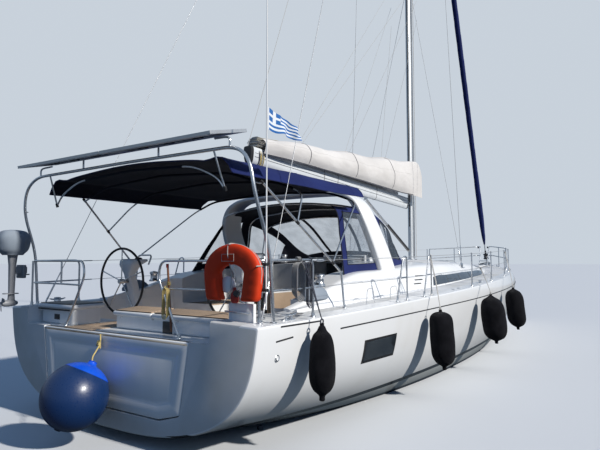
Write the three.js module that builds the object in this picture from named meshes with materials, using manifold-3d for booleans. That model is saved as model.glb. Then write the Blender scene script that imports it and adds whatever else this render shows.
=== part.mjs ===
// A 16.1 m cruising sailing yacht afloat: twin wheels and twin rudders, sprayhood, bimini, solar arch.
// Millimetres. +X is forward, +Y is port, +Z is up. The origin is on the centreline, amidships, at
// the waterline. Lengths along the boat are measured forward from the transom and turned into X by at().

import * as THREE from "three";
import { mergeVertices } from "three/addons/utils/BufferGeometryUtils.js";
import Module from "manifold-3d";

const wasm = await Module();
wasm.setup();

// Driving dimensions
const HULL_LENGTH = 15450;
const TRANSOM_X = -7700;
const SHEER_AFT = 1409;
const SHEER_RISE = 476;
const DECK_CAMBER = 45;
const STEM_RAKE = 330;
const KEEL_SOLE_Z = -2300;
const GAP = 0.4;

const WELL_SOLE_Z = 850;
const AFT_LEDGE_Z = 1200;
const AFT_LEDGE_STARBOARD = -1570;
const AFT_LEDGE_PORT = 1770;
const THWART_Z = 1330;
const WHEEL_WELL_HALF = 1640;
const WHEEL_WELL_END = 1510;
const HELM_HALF = 1500;
const FOOTWELL_HALF = 620;
const BACKREST_HALF = 1280;
const DOORWAY_HALF = 360;
const DOORWAY_SILL_Z = 1000;
const DOORWAY_END = 5420;
const OPEN_TOP = 3000;
const BRIDGE_X = 4750;

const WHEEL_X = 950;
const WHEEL_Y = 1060;
const WHEEL_Z = 1745;
const WHEEL_RADIUS = 465;
const WHEEL_RIM = 17;

const RUDDER_X = 1250;
const RUDDER_Y = 1230;
const RUDDER_CANT = THREE.MathUtils.degToRad(9);

const LOCKER_AFT = 13650;
const LOCKER_FORE = 14450;
const LOCKER_HALF = 330;

const MAST_X = 8900;
const MAST_FOOT_Z = 2072;
const MAST_TOP_Z = 20300;
const MAST_LENGTHWAYS = 115;
const MAST_SIDEWAYS = 70;
const GOOSENECK_X = 8720;
const BOOM_TOP_AFT = 3831;
const BOOM_TOP_FORE = 3600;
const BOOM_DEPTH = 277;
const BOOM_END_X = 2430;

const SHROUD_FOOT = [8300, 1450, 1960];
const TACK = [15640, 0, 2010];
const HOIST = [9060, 0, 20050];

const RAIL_TUBE = 14;
const ARCH_TUBE = 19;
const WIRE = 5;

const at = (fromTransom) => TRANSOM_X + fromTransom;
const sheer = (x) => SHEER_AFT + SHEER_RISE * Math.pow(Math.max(x, 0) / HULL_LENGTH, 1.3);
const mirrorY = ([x, y, z]) => [x, -y, z];

// Colours by material: colour, roughness, metalness
const FINISHES = {
  gelcoat: [0xe9ebea, 0.25, 0],
  antifouling: [0x17202c, 0.7, 0],
  stainless: [0xb9bcbe, 0.2, 1],
  aluminium: [0xa9adb0, 0.35, 1],
  black: [0x131416, 0.4, 0],
  teak: [0xb89b80, 0.7, 0],
  canvas: [0x141b3f, 0.9, 0],
  bag: [0xb8b4b0, 0.9, 0],
  glass: [0x1c242b, 0.1, 0],
  foam: [0xe0481e, 0.7, 0],
  fender: [0x15161a, 0.95, 0],
  ball: [0x0a3c96, 0.4, 0],
  bronze: [0x8e7a4a, 0.35, 1],
  panel: [0x1a2030, 0.2, 0],
  cowl: [0x4a5563, 0.4, 0],
  flag: [0x2a62b8, 0.9, 0],
};

// Geometry helpers

// A closed three.js geometry as a solid, whichever way its faces first point.
function solid(geometry) {
  const bare = geometry.index ? geometry.toNonIndexed() : geometry.clone();
  for (const name of Object.keys(bare.attributes)) {
    if (name !== "position") bare.deleteAttribute(name);
  }
  const merged = mergeVertices(bare, 1e-3);
  const corners = new Uint32Array(merged.index.array);
  if (signedVolume(merged.attributes.position.array, corners) < 0) {
    for (let i = 0; i < corners.length; i += 3) {
      [corners[i + 1], corners[i + 2]] = [corners[i + 2], corners[i + 1]];
    }
  }
  return new wasm.Manifold(
    new wasm.Mesh({
      numProp: 3,
      vertProperties: merged.attributes.position.array,
      triVerts: corners,
    }),
  );
}

function signedVolume(p, corners) {
  const [a, b, c] = [new THREE.Vector3(), new THREE.Vector3(), new THREE.Vector3()];
  let volume = 0;
  for (let i = 0; i < corners.length; i += 3) {
    a.fromArray(p, corners[i] * 3);
    b.fromArray(p, corners[i + 1] * 3);
    c.fromArray(p, corners[i + 2] * 3);
    volume += a.dot(b.cross(c));
  }
  return volume;
}

function geometryOf(body) {
  const mesh = body.getMesh();
  const places = new Float32Array(mesh.numVert * 3);
  for (let i = 0; i < mesh.numVert; i++) {
    places.set(mesh.vertProperties.subarray(i * mesh.numProp, i * mesh.numProp + 3), i * 3);
  }
  const geometry = new THREE.BufferGeometry();
  geometry.setAttribute("position", new THREE.BufferAttribute(places, 3));
  geometry.setIndex(new THREE.BufferAttribute(new Uint32Array(mesh.triVerts), 1));
  geometry.computeVertexNormals();
  return geometry;
}

const join = (bodies) => bodies.reduce((whole, piece) => whole.add(piece));
const moved = (body, x, y, z) => solid(geometryOf(body).translate(x, y, z));

// Cuts a piece back from what carries it, so that the two never touch.
function clearOf(body, carriers, gap = GAP) {
  const shifts = [
    [0, 0, 0],
    [gap, 0, 0],
    [-gap, 0, 0],
    [0, gap, 0],
    [0, -gap, 0],
    [0, 0, gap],
    [0, 0, -gap],
  ];
  let left = body;
  for (const carrier of carriers) {
    for (const shift of shifts) left = left.subtract(moved(carrier, ...shift));
  }
  return largest(left);
}

// The biggest of the bodies that a cut leaves.
function largest(body) {
  return body.decompose().reduce((best, piece) => (piece.volume() > best.volume() ? piece : best));
}

// A box between two corners, with lengths given from the transom.
function box(x0, x1, y0, y1, z0, z1) {
  const geometry = new THREE.BoxGeometry(x1 - x0, y1 - y0, z1 - z0);
  return solid(geometry.translate(at((x0 + x1) / 2), (y0 + y1) / 2, (z0 + z1) / 2));
}

// A closed skin over rings of equal length, each end closed by a fan.
function loft(rings) {
  const places = [];
  const faces = [];
  const count = rings[0].length;
  for (const ring of rings) for (const point of ring) places.push(...point);
  for (let r = 0; r + 1 < rings.length; r++) {
    for (let i = 0; i < count; i++) {
      const j = (i + 1) % count;
      const [a, b] = [r * count + i, r * count + j];
      faces.push(a, b, a + count, b, b + count, a + count);
    }
  }
  for (const [r, turn] of [
    [0, 1],
    [rings.length - 1, 0],
  ]) {
    const middle = places.length / 3;
    const sum = [0, 0, 0];
    for (const point of rings[r]) point.forEach((v, k) => (sum[k] += v / count));
    places.push(...sum);
    for (let i = 0; i < count; i++) {
      const pair = [r * count + i, r * count + ((i + 1) % count)];
      faces.push(middle, pair[turn], pair[1 - turn]);
    }
  }
  const geometry = new THREE.BufferGeometry();
  geometry.setAttribute("position", new THREE.Float32BufferAttribute(places, 3));
  geometry.setIndex(faces);
  return solid(geometry);
}

// A path through chosen points, met one point per step.
class Route extends THREE.Curve {
  constructor(points) {
    super();
    this.points = points.map((p) => new THREE.Vector3(...p));
  }
  getPoint(t) {
    const place = t * (this.points.length - 1);
    const i = Math.min(Math.floor(place), this.points.length - 2);
    return this.points[i].clone().lerp(this.points[i + 1], place - i);
  }
  getPointAt(t) {
    return this.getPoint(t);
  }
  getTangentAt(t) {
    const last = this.points.length - 1;
    const i = Math.round(t * last);
    const before = this.points[Math.max(i - 1, 0)];
    const after = this.points[Math.min(i + 1, last)];
    return after.clone().sub(before).normalize();
  }
}

// Rounds each inner corner of a list of points with a few steps of an arc-like curve.
function rounded(points, bend, steps = 4) {
  const out = [points[0]];
  for (let i = 1; i + 1 < points.length; i++) {
    const [p, q, r] = [i - 1, i, i + 1].map((k) => new THREE.Vector3(...points[k]));
    const start = q.clone().add(p.clone().sub(q).setLength(Math.min(bend, p.distanceTo(q) * 0.48)));
    const end = q.clone().add(r.clone().sub(q).setLength(Math.min(bend, r.distanceTo(q) * 0.48)));
    const curve = new THREE.QuadraticBezierCurve3(start, q, end);
    for (const point of curve.getPoints(steps)) out.push(point.toArray());
  }
  out.push(points[points.length - 1]);
  return out;
}

function circle(radius, sides) {
  const shape = new THREE.Shape();
  for (let i = 0; i < sides; i++) {
    const angle = (i / sides) * Math.PI * 2;
    const place = [radius * Math.cos(angle), radius * Math.sin(angle)];
    if (i) shape.lineTo(...place);
    else shape.moveTo(...place);
  }
  return shape;
}

// A tube through points whose lengths are given from the transom.
function tube(points, radius, bend = 0, sides = 6) {
  const placed = points.map(([x, y, z]) => [at(x), y, z]);
  const route = bend ? rounded(placed, bend) : placed;
  return solid(
    new THREE.ExtrudeGeometry(circle(radius, sides), {
      steps: route.length - 1,
      extrudePath: new Route(route),
      bevelEnabled: false,
    }),
  );
}

// A round body about an upright axis, from pairs of radius and height.
function turned(profile, x, y, sides = 12) {
  const points = profile.map(([r, z]) => new THREE.Vector2(r, z));
  return solid(new THREE.LatheGeometry(points, sides).rotateX(Math.PI / 2).translate(at(x), y, 0));
}

// A flat outline in the XZ plane, thickened sideways about y.
function plate(outline, y, thickness) {
  const shape = new THREE.Shape(outline.map(([x, z]) => new THREE.Vector2(at(x), z)));
  const geometry = new THREE.ExtrudeGeometry(shape, { depth: thickness, bevelEnabled: false });
  return solid(geometry.rotateX(Math.PI / 2).translate(0, y + thickness / 2, 0));
}

// An outline of Y and height, drawn out along the boat between two lengths from the transom.
function prismYZ(outline, x0, x1) {
  const shape = new THREE.Shape(outline.map(([y, z]) => new THREE.Vector2(y, z)));
  const geometry = new THREE.ExtrudeGeometry(shape, { depth: x1 - x0, bevelEnabled: false });
  geometry.rotateX(Math.PI / 2).rotateZ(Math.PI / 2);
  return solid(geometry.translate(at(x0), 0, 0));
}

const yacht = new THREE.Group();

function add(name, body, finish) {
  const [color, roughness, metalness] = FINISHES[finish];
  const material = new THREE.MeshStandardMaterial({ color, roughness, metalness });
  const mesh = new THREE.Mesh(geometryOf(body), material);
  mesh.name = name;
  yacht.add(mesh);
  return body;
}

// Hull

// Columns: from transom, half-beam at the deck, bottom of the canoe body, bilge fullness,
// depth fullness, flare, share of the stem's rake, how far the shoulder swells out below the deck edge.
const HULL_STATIONS = [
  [0, 2190, 120, 2.6, 3.4, 0.08, 0, 0],
  [800, 2238, 20, 2.6, 3.4, 0.08, 0, 0],
  [1700, 2282, -110, 2.6, 3.4, 0.08, 0, 0],
  [3000, 2330, -285, 2.6, 3.3, 0.08, 0, 0],
  [4500, 2355, -450, 2.6, 3.2, 0.08, 0, 10],
  [6000, 2352, -560, 2.5, 3.1, 0.08, 0, 25],
  [7700, 2290, -620, 2.45, 3.0, 0.09, 0, 50],
  [9400, 2140, -600, 2.3, 2.9, 0.1, 0, 90],
  [11000, 1885, -515, 2.0, 2.6, 0.11, 0, 135],
  [12470, 1550, -405, 1.75, 2.35, 0.12, 0.06, 140],
  [13620, 1165, -305, 1.6, 2.2, 0.13, 0.25, 125],
  [14560, 700, -220, 1.5, 2.1, 0.14, 0.6, 90],
  [15140, 310, -165, 1.45, 2.0, 0.14, 0.88, 45],
  [15450, 32, -120, 1.4, 2.0, 0.14, 1, 0],
];
const SECTION_STEPS = [0, 0.05, 0.13, 0.26, 0.4, 0.53, 0.64, 0.74, 0.82, 0.89, 0.945, 0.985];
const SHOULDER_SHARE = 0.15;

function hullRing([x, beam, bottom, bilge, depth, flare, rake, swell]) {
  const top = sheer(x);
  const height = top - bottom;
  const side = SECTION_STEPS.map((s) => {
    const shoulder = beam + swell * (1 - Math.pow(1 - Math.min(s / SHOULDER_SHARE, 1), 2));
    return [
      at(x) - STEM_RAKE * rake * s,
      shoulder * (1 - flare * s) * Math.pow(1 - Math.pow(s, depth), 1 / bilge),
      top - height * s,
    ];
  });
  const keelLine = [at(x) - STEM_RAKE * rake, 0, bottom];
  const crown = (DECK_CAMBER * beam) / HULL_STATIONS[5][1];
  const deck = [
    [at(x), beam * 0.5, top + crown * 0.75],
    [at(x), 0, top + crown],
  ];
  return [...side, keelLine, ...side.map(mirrorY).reverse(), mirrorY(deck[0]), deck[1], deck[0]];
}

// Drop-down bathing platform in the transom, closed. Columns: Y, height.
const PLATFORM_OUTLINE = [
  [-1278, 1190],
  [-1150, 435],
  [-830, 350],
  [920, 350],
  [1240, 435],
  [1368, 1190],
];
const RECESS_OUTLINE = [
  [-1286, OPEN_TOP],
  [-1286, 1190],
  [-1160, 430],
  [-834, 334],
  [924, 334],
  [1250, 430],
  [1376, 1190],
  [1376, OPEN_TOP],
];

function hullBody() {
  const whole = loft(HULL_STATIONS.map(hullRing));
  const wells = [
    box(-200, 860, AFT_LEDGE_STARBOARD, AFT_LEDGE_PORT, AFT_LEDGE_Z, OPEN_TOP),
    box(850, WHEEL_WELL_END, -WHEEL_WELL_HALF, WHEEL_WELL_HALF, WELL_SOLE_Z, OPEN_TOP),
    box(1500, 2310, -HELM_HALF, HELM_HALF, WELL_SOLE_Z, OPEN_TOP),
    box(2300, BRIDGE_X, -FOOTWELL_HALF, FOOTWELL_HALF, WELL_SOLE_Z, OPEN_TOP),
    box(2300, BRIDGE_X, -BACKREST_HALF, BACKREST_HALF, THWART_Z, OPEN_TOP),
    box(BRIDGE_X - 10, DOORWAY_END, -DOORWAY_HALF, DOORWAY_HALF, DOORWAY_SILL_Z, OPEN_TOP),
    prismYZ(RECESS_OUTLINE, -100, 80),
    box(LOCKER_AFT, LOCKER_FORE, -LOCKER_HALF, LOCKER_HALF, 1500, OPEN_TOP),
  ];
  return wells.reduce((left, well) => left.subtract(well), whole);
}
const hull = add("hull", hullBody(), "gelcoat");

function platformBody() {
  const panel = prismYZ(PLATFORM_OUTLINE, 2, 60);
  return panel.add(box(2, 62, -1278, 1368, 1146, 1190));
}
add("transom_platform", platformBody(), "gelcoat");

// Coachroof and coamings

// Winches: two by the wheels, two beside the companionway.
// Columns: name, from transom, Y, height of the foot.
const WINCHES = [
  ["winch_quarter_starboard", 2000, -1605, 1695],
  ["winch_quarter_port", 2000, 1605, 1695],
  ["winch_roof_starboard", 5000, -1150, 2002],
  ["winch_roof_port", 5000, 1150, 2002],
];

// Columns: from transom, half-width at the foot, half-width at the top, height at the side, at the middle.
const ROOF_STATIONS = [
  [1150, 1840, 1720, 1480, 1480],
  [1900, 1850, 1700, 1640, 1640],
  [2700, 1850, 1670, 1835, 1835],
  [4000, 1850, 1640, 1895, 1925],
  [5200, 1820, 1590, 1960, 2030],
  [7000, 1730, 1460, 1985, 2065],
  [8900, 1560, 1230, 1985, 2065],
  [10600, 1290, 940, 1950, 2020],
  [11900, 960, 600, 1880, 1935],
  [12700, 700, 330, 1805, 1835],
];

function roofRing([x, foot, top, sideZ, middleZ]) {
  const under = sheer(x) - 60;
  const half = [
    [at(x), foot, under],
    [at(x), foot - 12, under + 110],
    [at(x), top + (foot - top) * 0.3, sideZ - 40],
    [at(x), top, sideZ],
    [at(x), top * 0.5, sideZ + (middleZ - sideZ) * 0.75],
  ];
  return [...half, [at(x), 0, middleZ], ...half.map(mirrorY).reverse()];
}

function coachroofBody() {
  const whole = loft(ROOF_STATIONS.map(roofRing));
  const wells = [
    box(800, WHEEL_WELL_END, -WHEEL_WELL_HALF, WHEEL_WELL_HALF, 1000, OPEN_TOP),
    box(1500, 2310, -HELM_HALF, HELM_HALF, 1000, OPEN_TOP),
    box(2300, BRIDGE_X, -BACKREST_HALF, BACKREST_HALF, 1000, OPEN_TOP),
    box(BRIDGE_X - 10, DOORWAY_END, -DOORWAY_HALF, DOORWAY_HALF, 1000, OPEN_TOP),
  ];
  const cut = wells.reduce((left, well) => left.subtract(well), whole);
  const raised = [
    box(6890, 7510, -310, 310, 1950, 2072),
    box(10740, 11360, -300, 300, 1850, 2020),
    box(4760, 6280, 382, 412, 1950, 2066),
    box(4760, 6280, -412, -382, 1950, 2066),
  ];
  for (const [, x, y, z] of WINCHES) raised.push(box(x - 100, x + 100, y - 85, y + 85, z - 140, z));
  return clearOf(join([cut, ...raised]), [hull]);
}
const coachroof = add("coachroof", coachroofBody(), "gelcoat");

// Appendages below the water

// A symmetrical foil section: chord from x, half-thickness in Y.
function foilRing(leading, chord, half, z, y = 0) {
  const share = [0, 0.04, 0.14, 0.32, 0.6, 0.85, 1];
  const width = [0, 0.5, 0.85, 1, 0.72, 0.3, 0.06];
  const sideOf = (turn) => share.map((s, i) => [at(leading - chord * s), y + turn * half * width[i], z]);
  return [...sideOf(1), ...sideOf(-1).slice(1).reverse()];
}

function keelBody() {
  const fin = loft([
    foilRing(8500, 2250, 170, -400),
    foilRing(8420, 2150, 160, -700),
    foilRing(8150, 1750, 130, -2100),
  ]);
  // Columns: from transom, half-width, bottom height, top height.
  const bulbStations = [
    [5850, 30, -2120, -2080],
    [6200, 130, -2290, -2030],
    [7000, 215, KEEL_SOLE_Z, -1980],
    [7900, 230, KEEL_SOLE_Z, -1960],
    [8500, 150, -2270, -2020],
    [8780, 40, -2180, -2110],
  ];
  const bulb = loft(
    bulbStations.map(([x, half, low, high]) => {
      const mid = (low + high) / 2;
      return [
        [at(x), half * 0.5, low],
        [at(x), half, mid],
        [at(x), half * 0.5, high],
        [at(x), -half * 0.5, high],
        [at(x), -half, mid],
        [at(x), -half * 0.5, low],
      ];
    }),
  );
  return clearOf(fin.add(bulb), [hull]);
}
const keel = add("keel", keelBody(), "antifouling");

function rudderBody(side) {
  const blade = loft([
    foilRing(RUDDER_X + 110, 500, 42, -60),
    foilRing(RUDDER_X + 100, 480, 40, -700),
    foilRing(RUDDER_X + 50, 330, 26, -1640),
  ]);
  const stock = tube([[RUDDER_X, 0, -300], [RUDDER_X, 0, 50]], 34, 0, 10);
  const leaning = geometryOf(blade.add(stock));
  leaning.rotateX(side * RUDDER_CANT);
  return solid(leaning.translate(0, side * RUDDER_Y, 0));
}
add("rudder_starboard", rudderBody(-1), "antifouling");
add("rudder_port", rudderBody(1), "antifouling");

const PROP_X = 4180;
const PROP_Z = -930;

function saildriveBody() {
  const leg = loft([
    foilRing(4640, 330, 70, -300),
    foilRing(4600, 290, 60, -800),
    foilRing(4570, 260, 45, -1120),
  ]);
  const pod = tube([[4660, 0, PROP_Z], [4600, 0, PROP_Z], [4290, 0, PROP_Z]], 62, 0, 12);
  return clearOf(leg.add(pod), [hull]);
}
add("saildrive_leg", saildriveBody(), "antifouling");

function propellerBody() {
  const hub = tube([[4282, 0, PROP_Z], [4200, 0, PROP_Z], [4090, 0, PROP_Z]], 48, 0, 12);
  const blades = [0, 1, 2].map((i) => {
    const shape = new THREE.Shape();
    shape.moveTo(-26, 20);
    shape.quadraticCurveTo(-115, 120, -70, 225);
    shape.quadraticCurveTo(0, 275, 60, 215);
    shape.quadraticCurveTo(85, 110, 26, 20);
    const blade = new THREE.ExtrudeGeometry(shape, { depth: 12, bevelEnabled: false, curveSegments: 4 });
    blade.translate(0, 0, -6).rotateY(THREE.MathUtils.degToRad(62));
    blade.rotateX((i * 2 * Math.PI) / 3);
    return solid(blade.translate(at(PROP_X), 0, PROP_Z));
  });
  return join([hub, ...blades]);
}
add("propeller", propellerBody(), "bronze");

// Cockpit

function aftBenchBody() {
  const front = box(320, 640, -1545, 330, AFT_LEDGE_Z + GAP, 1380);
  const rim = box(290, 680, -1557, 360, 1364, 1420);
  return front.add(rim);
}
const aftBench = add("aft_bench", aftBenchBody(), "gelcoat");

function helmSeatBody() {
  const base = box(170, 600, 1010, 1720, AFT_LEDGE_Z + GAP, 1410);
  const top = box(130, 640, 980, 1755, 1400, 1460);
  return base.add(top);
}
const helmSeat = add("helm_seat", helmSeatBody(), "gelcoat");

function wheelBody(side) {
  const ring = new THREE.TorusGeometry(WHEEL_RADIUS, WHEEL_RIM, 6, 28);
  const rim = solid(ring.rotateY(Math.PI / 2).translate(at(WHEEL_X), side * WHEEL_Y, WHEEL_Z));
  const hubEnd = (x) => [WHEEL_X + x, side * WHEEL_Y, WHEEL_Z];
  const hub = tube([hubEnd(-45), hubEnd(60)], 34, 0, 12);
  const spokes = [0, 1, 2, 3, 4].map((i) => {
    const angle = (i / 5) * Math.PI * 2 + Math.PI / 2;
    const across = side * WHEEL_Y + WHEEL_RADIUS * Math.cos(angle);
    const reach = [WHEEL_X, across, WHEEL_Z + WHEEL_RADIUS * Math.sin(angle)];
    return tube([[WHEEL_X, side * WHEEL_Y, WHEEL_Z], reach], 8);
  });
  return join([rim, hub, ...spokes]);
}

function pedestalBody(side) {
  const y = side * WHEEL_Y;
  // Columns: from transom at the aft and fore face, half-width, height.
  const levels = [
    [1300, 1480, 85, WELL_SOLE_Z + GAP],
    [1160, 1300, 68, 1400],
    [1020, 1155, 66, 1850],
    [990, 1200, 150, 1975],
    [1000, 1320, 168, 2030],
    [1020, 1310, 160, 2055],
  ];
  return loft(
    levels.map(([aft, fore, half, z]) => [
      [at(aft), y - half, z],
      [at(fore), y - half, z],
      [at(fore), y + half, z],
      [at(aft), y + half, z],
    ]),
  );
}

for (const [name, side] of [
  ["starboard", -1],
  ["port", 1],
]) {
  add("wheel_" + name, wheelBody(side), "black");
  add("pedestal_" + name, pedestalBody(side), "gelcoat");
}

const TABLE_TOP_Z = 1560;
const TABLE_HALF = 150;
const LEAF_TOP_Z = 1522;

function tableBody() {
  const foot = box(3000, 3900, -90, 90, WELL_SOLE_Z + GAP, 1460);
  const top = box(2750, 4100, -TABLE_HALF, TABLE_HALF, 1450, TABLE_TOP_Z);
  return foot.add(top);
}
add("cockpit_table", tableBody(), "gelcoat");
add("table_leaf_starboard", box(2750, 4100, -184, -156, 1160, LEAF_TOP_Z), "teak");
add("table_leaf_port", box(2750, 4100, 156, 184, 1160, LEAF_TOP_Z), "teak");

// Companionway and deck hatches

add("washboard", box(5360, 5395, -355, 355, 1003, 1990), "glass");

function garageBody() {
  const outside = box(5440, 6330, -480, 480, 1950, 2150);
  const inside = box(5300, 6290, -445, 445, 1900, 2120);
  return clearOf(outside.subtract(inside), [coachroof]);
}
const garage = add("hatch_garage", garageBody(), "gelcoat");
add("companion_hatch", box(4780, 5570, -420, 420, 2072, 2104), "glass");

add("saloon_hatch", box(6900, 7500, -300, 300, 2078, 2106), "glass");
add("fore_hatch", box(10750, 11350, -290, 290, 2026, 2052), "glass");

function lockerLidBody() {
  const edge = (x) => {
    const under = sheer(x) + 32;
    return [
      [at(x), -LOCKER_HALF - 10, under],
      [at(x), LOCKER_HALF + 10, under],
      [at(x), LOCKER_HALF + 10, under + 24],
      [at(x), -LOCKER_HALF - 10, under + 24],
    ];
  };
  return loft([edge(LOCKER_AFT - 10), edge(LOCKER_FORE + 10)]);
}
add("anchor_locker_lid", lockerLidBody(), "gelcoat");

// Winches
const WINCH_PROFILE = [
  [0, 8],
  [75, 8],
  [78, 25],
  [52, 60],
  [50, 110],
  [66, 135],
  [66, 165],
  [0, 172],
];
for (const [name, x, y, z] of WINCHES) {
  add(name, turned(WINCH_PROFILE.map(([r, h]) => [r, h + z]), x, y, 14), "stainless");
}

// Arch over the fore part of the cockpit

// Columns: from transom at the aft and fore edge, outer Y, inner Y, height.
const ARCH_LEVELS = [
  [3920, 4450, 1600, 1450, 1850],
  [3700, 4215, 1580, 1440, 2220],
  [3490, 3950, 1510, 1380, 2650],
  [3440, 3845, 1390, 1270, 2940],
  [3445, 3800, 1190, 1110, 3095],
  [3450, 3790, 850, 830, 3165],
  [3450, 3790, 0, 0, 3190],
];
const ARCH_THICKNESS = 75;

function archBody() {
  const half = ARCH_LEVELS.map(([aft, fore, outer, inner, z], i) => {
    const flat = i / (ARCH_LEVELS.length - 1);
    const drop = ARCH_THICKNESS * flat;
    return [
      [at(aft), outer, z],
      [at(fore), outer, z],
      [at(fore), inner, z - drop],
      [at(aft), inner, z - drop],
    ];
  });
  const other = half.slice(0, -1).map((ring) => ring.map(mirrorY)).reverse();
  return clearOf(loft([...half, ...other]), [coachroof]);
}
const arch = add("arch", archBody(), "gelcoat");

// Sprayhood: a hollow hood over the companionway, open aft

// Columns: from transom, half-width at the foot, half-width at the shoulder, foot, shoulder and top height.
const HOOD_STATIONS = [
  [2720, 1560, 1380, 1830, 2820, 2960],
  [3400, 1540, 1370, 1850, 2830, 3010],
  [4250, 1480, 1300, 1880, 2800, 2960],
  [4900, 1400, 1200, 1930, 2560, 2720],
  [5430, 1300, 1000, 1965, 2180, 2300],
  [5620, 1200, 850, 1975, 2080, 2120],
];
const HOOD_SKIN = 22;
// Aft of the arch the hood is only its two side wings.
const WING_FORE = 3400;
const WING_INNER = 1335;

function hoodRing([x, foot, shoulder, footZ, shoulderZ, topZ], skin) {
  const half = [
    [at(x), foot - skin, footZ - skin * 4],
    [at(x), foot - skin - (foot - shoulder) * 0.35, footZ + (shoulderZ - footZ) * 0.55],
    [at(x), shoulder - skin, shoulderZ - skin],
    [at(x), shoulder * 0.55, topZ - (topZ - shoulderZ) * 0.25 - skin],
  ];
  return [...half, [at(x), 0, topZ - skin], ...half.map(mirrorY).reverse()];
}

function sprayhoodBody() {
  const outside = loft(HOOD_STATIONS.map((station) => hoodRing(station, 0)));
  const inner = HOOD_STATIONS.map((station) => hoodRing(station, HOOD_SKIN));
  inner[0] = inner[0].map(([x, y, z]) => [x - 60, y, z]);
  inner[inner.length - 1] = inner[inner.length - 1].map(([x, y, z]) => [x - HOOD_SKIN, y, z]);
  const shell = outside.subtract(loft(inner));
  const roofless = box(2600, WING_FORE, -WING_INNER, WING_INNER, 0, 4000);
  return clearOf(shell.subtract(roofless), [coachroof, garage, arch], 6);
}
add("sprayhood", sprayhoodBody(), "canvas");

// Bimini: canopy and hoops

const CANOPY_AFT = 200;
const CANOPY_FORE = 3400;
const CANOPY_HALF = 1680;
const CANOPY_SKIN = 26;
const HEM_DEPTH = 45;
const CORNER_SWEEP = 300;
// Columns: from transom, height at the side, height at the middle.
const CANOPY_STATIONS = [
  [CANOPY_AFT, 2995, 3190],
  [900, 3000, 3200],
  [1700, 3005, 3205],
  [2500, 3010, 3200],
  [CANOPY_FORE, 3020, 3170],
];

// The arched section of the canopy, closed by its chord. A skin above zero gives the hollow under it.
function canopyRing([x, sideZ, middleZ], skin) {
  const rise = middleZ - sideZ;
  const half = [
    [CANOPY_HALF - skin, sideZ - HEM_DEPTH - skin],
    [CANOPY_HALF * 0.97 - skin, sideZ + rise * 0.2 - skin],
    [CANOPY_HALF * 0.75, sideZ + rise * 0.62 - skin],
    [CANOPY_HALF * 0.4, sideZ + rise * 0.9 - skin],
  ].map(([y, z]) => [at(x) - (x === CANOPY_FORE ? CORNER_SWEEP * Math.pow(y / CANOPY_HALF, 3) : 0), y, z]);
  return [...half, [at(x), 0, middleZ - skin], ...half.map(mirrorY).reverse()];
}

function canopyBody() {
  const outside = loft(CANOPY_STATIONS.map((station) => canopyRing(station, 0)));
  const hollow = CANOPY_STATIONS.map((station) => canopyRing(station, CANOPY_SKIN));
  const [first, last] = [0, hollow.length - 1];
  hollow[first] = hollow[first].map(([x, y, z]) => [x - CANOPY_SKIN, y, z]);
  hollow[last] = hollow[last].map(([x, y, z]) => [x + CANOPY_SKIN, y, z]);
  return largest(outside.subtract(loft(hollow)));
}
const canopy = add("bimini_canopy", canopyBody(), "canvas");

// The long side struts carry the hoops. Each point is on the port side.
const STRUT_FOOT = [1930, 2010, 1440];
const STRUT_BEND = [1950, 1960, 1890];
const STRUT_TOP = [720, 1650, 2920];
const HOOP_CROWN_Z = 3130;

// Columns: from transom at the top of the hoop, share of the long strut's length at the hoop's foot.
const HOOPS = [
  [720, 1],
  [1560, 0.58],
  [2940, 0.12],
];

const bothSides = (half) => [...half, ...half.slice(0, -1).map(mirrorY).reverse()];

function biminiFrameBody() {
  const [bend, top] = [new THREE.Vector3(...STRUT_BEND), new THREE.Vector3(...STRUT_TOP)];
  const tubes = HOOPS.map(([x, share]) => {
    const foot = bend.clone().lerp(top, share).toArray();
    return tube(bothSides([foot, [x, 1640, 2895], [x, 1180, 3060], [x, 0, HOOP_CROWN_Z]]), 12, 160);
  });
  for (const side of [-1, 1]) {
    const strut = [STRUT_FOOT, STRUT_BEND, STRUT_TOP].map(([x, y, z]) => [x, side * y, z]);
    tubes.push(tube(strut, 14, 60));
  }
  return clearOf(join(tubes), [hull, coachroof, canopy]);
}
const biminiFrame = add("bimini_frame", biminiFrameBody(), "stainless");

// Solar arch of bent tube. It also holds up the canopy's aft hoop.
const AFT_HOOP_X = 235;
const AFT_HOOP = [
  [AFT_HOOP_X, 1545, 2790],
  [AFT_HOOP_X, 1430, 2930],
  [AFT_HOOP_X, 1060, 3085],
  [AFT_HOOP_X, 0, HOOP_CROWN_Z],
];
const HANGER_HEAD = [95, 1505, 3192];
const PANEL_ARM_Y = 1500;
const PANEL_POST_Y = 700;

function solarArchBody() {
  const half = [
    [330, 2120, 1390],
    [270, 2110, 2150],
    [70, 2080, 2700],
    [60, 2030, 3020],
    [95, 1830, 3190],
    [95, 0, 3200],
  ];
  const pieces = [tube(bothSides(half), ARCH_TUBE, 200, 8), tube(bothSides(AFT_HOOP), 12, 160)];
  const arm = [
    [95, PANEL_ARM_Y, 3200],
    [60, PANEL_ARM_Y, 3285],
    [160, PANEL_ARM_Y, 3322],
    [330, PANEL_ARM_Y, 3362],
  ];
  const post = [[60, PANEL_POST_Y, 3195], [60, PANEL_POST_Y, 3310]];
  for (const turn of [(point) => point, mirrorY]) {
    pieces.push(tube(arm.map(turn), 12, 50));
    pieces.push(tube(post.map(turn), 12));
    pieces.push(tube([HANGER_HEAD, AFT_HOOP[0]].map(turn), 11));
  }
  return clearOf(join(pieces), [hull, canopy, biminiFrame]);
}
const solarArch = add("solar_arch", solarArchBody(), "stainless");

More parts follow.
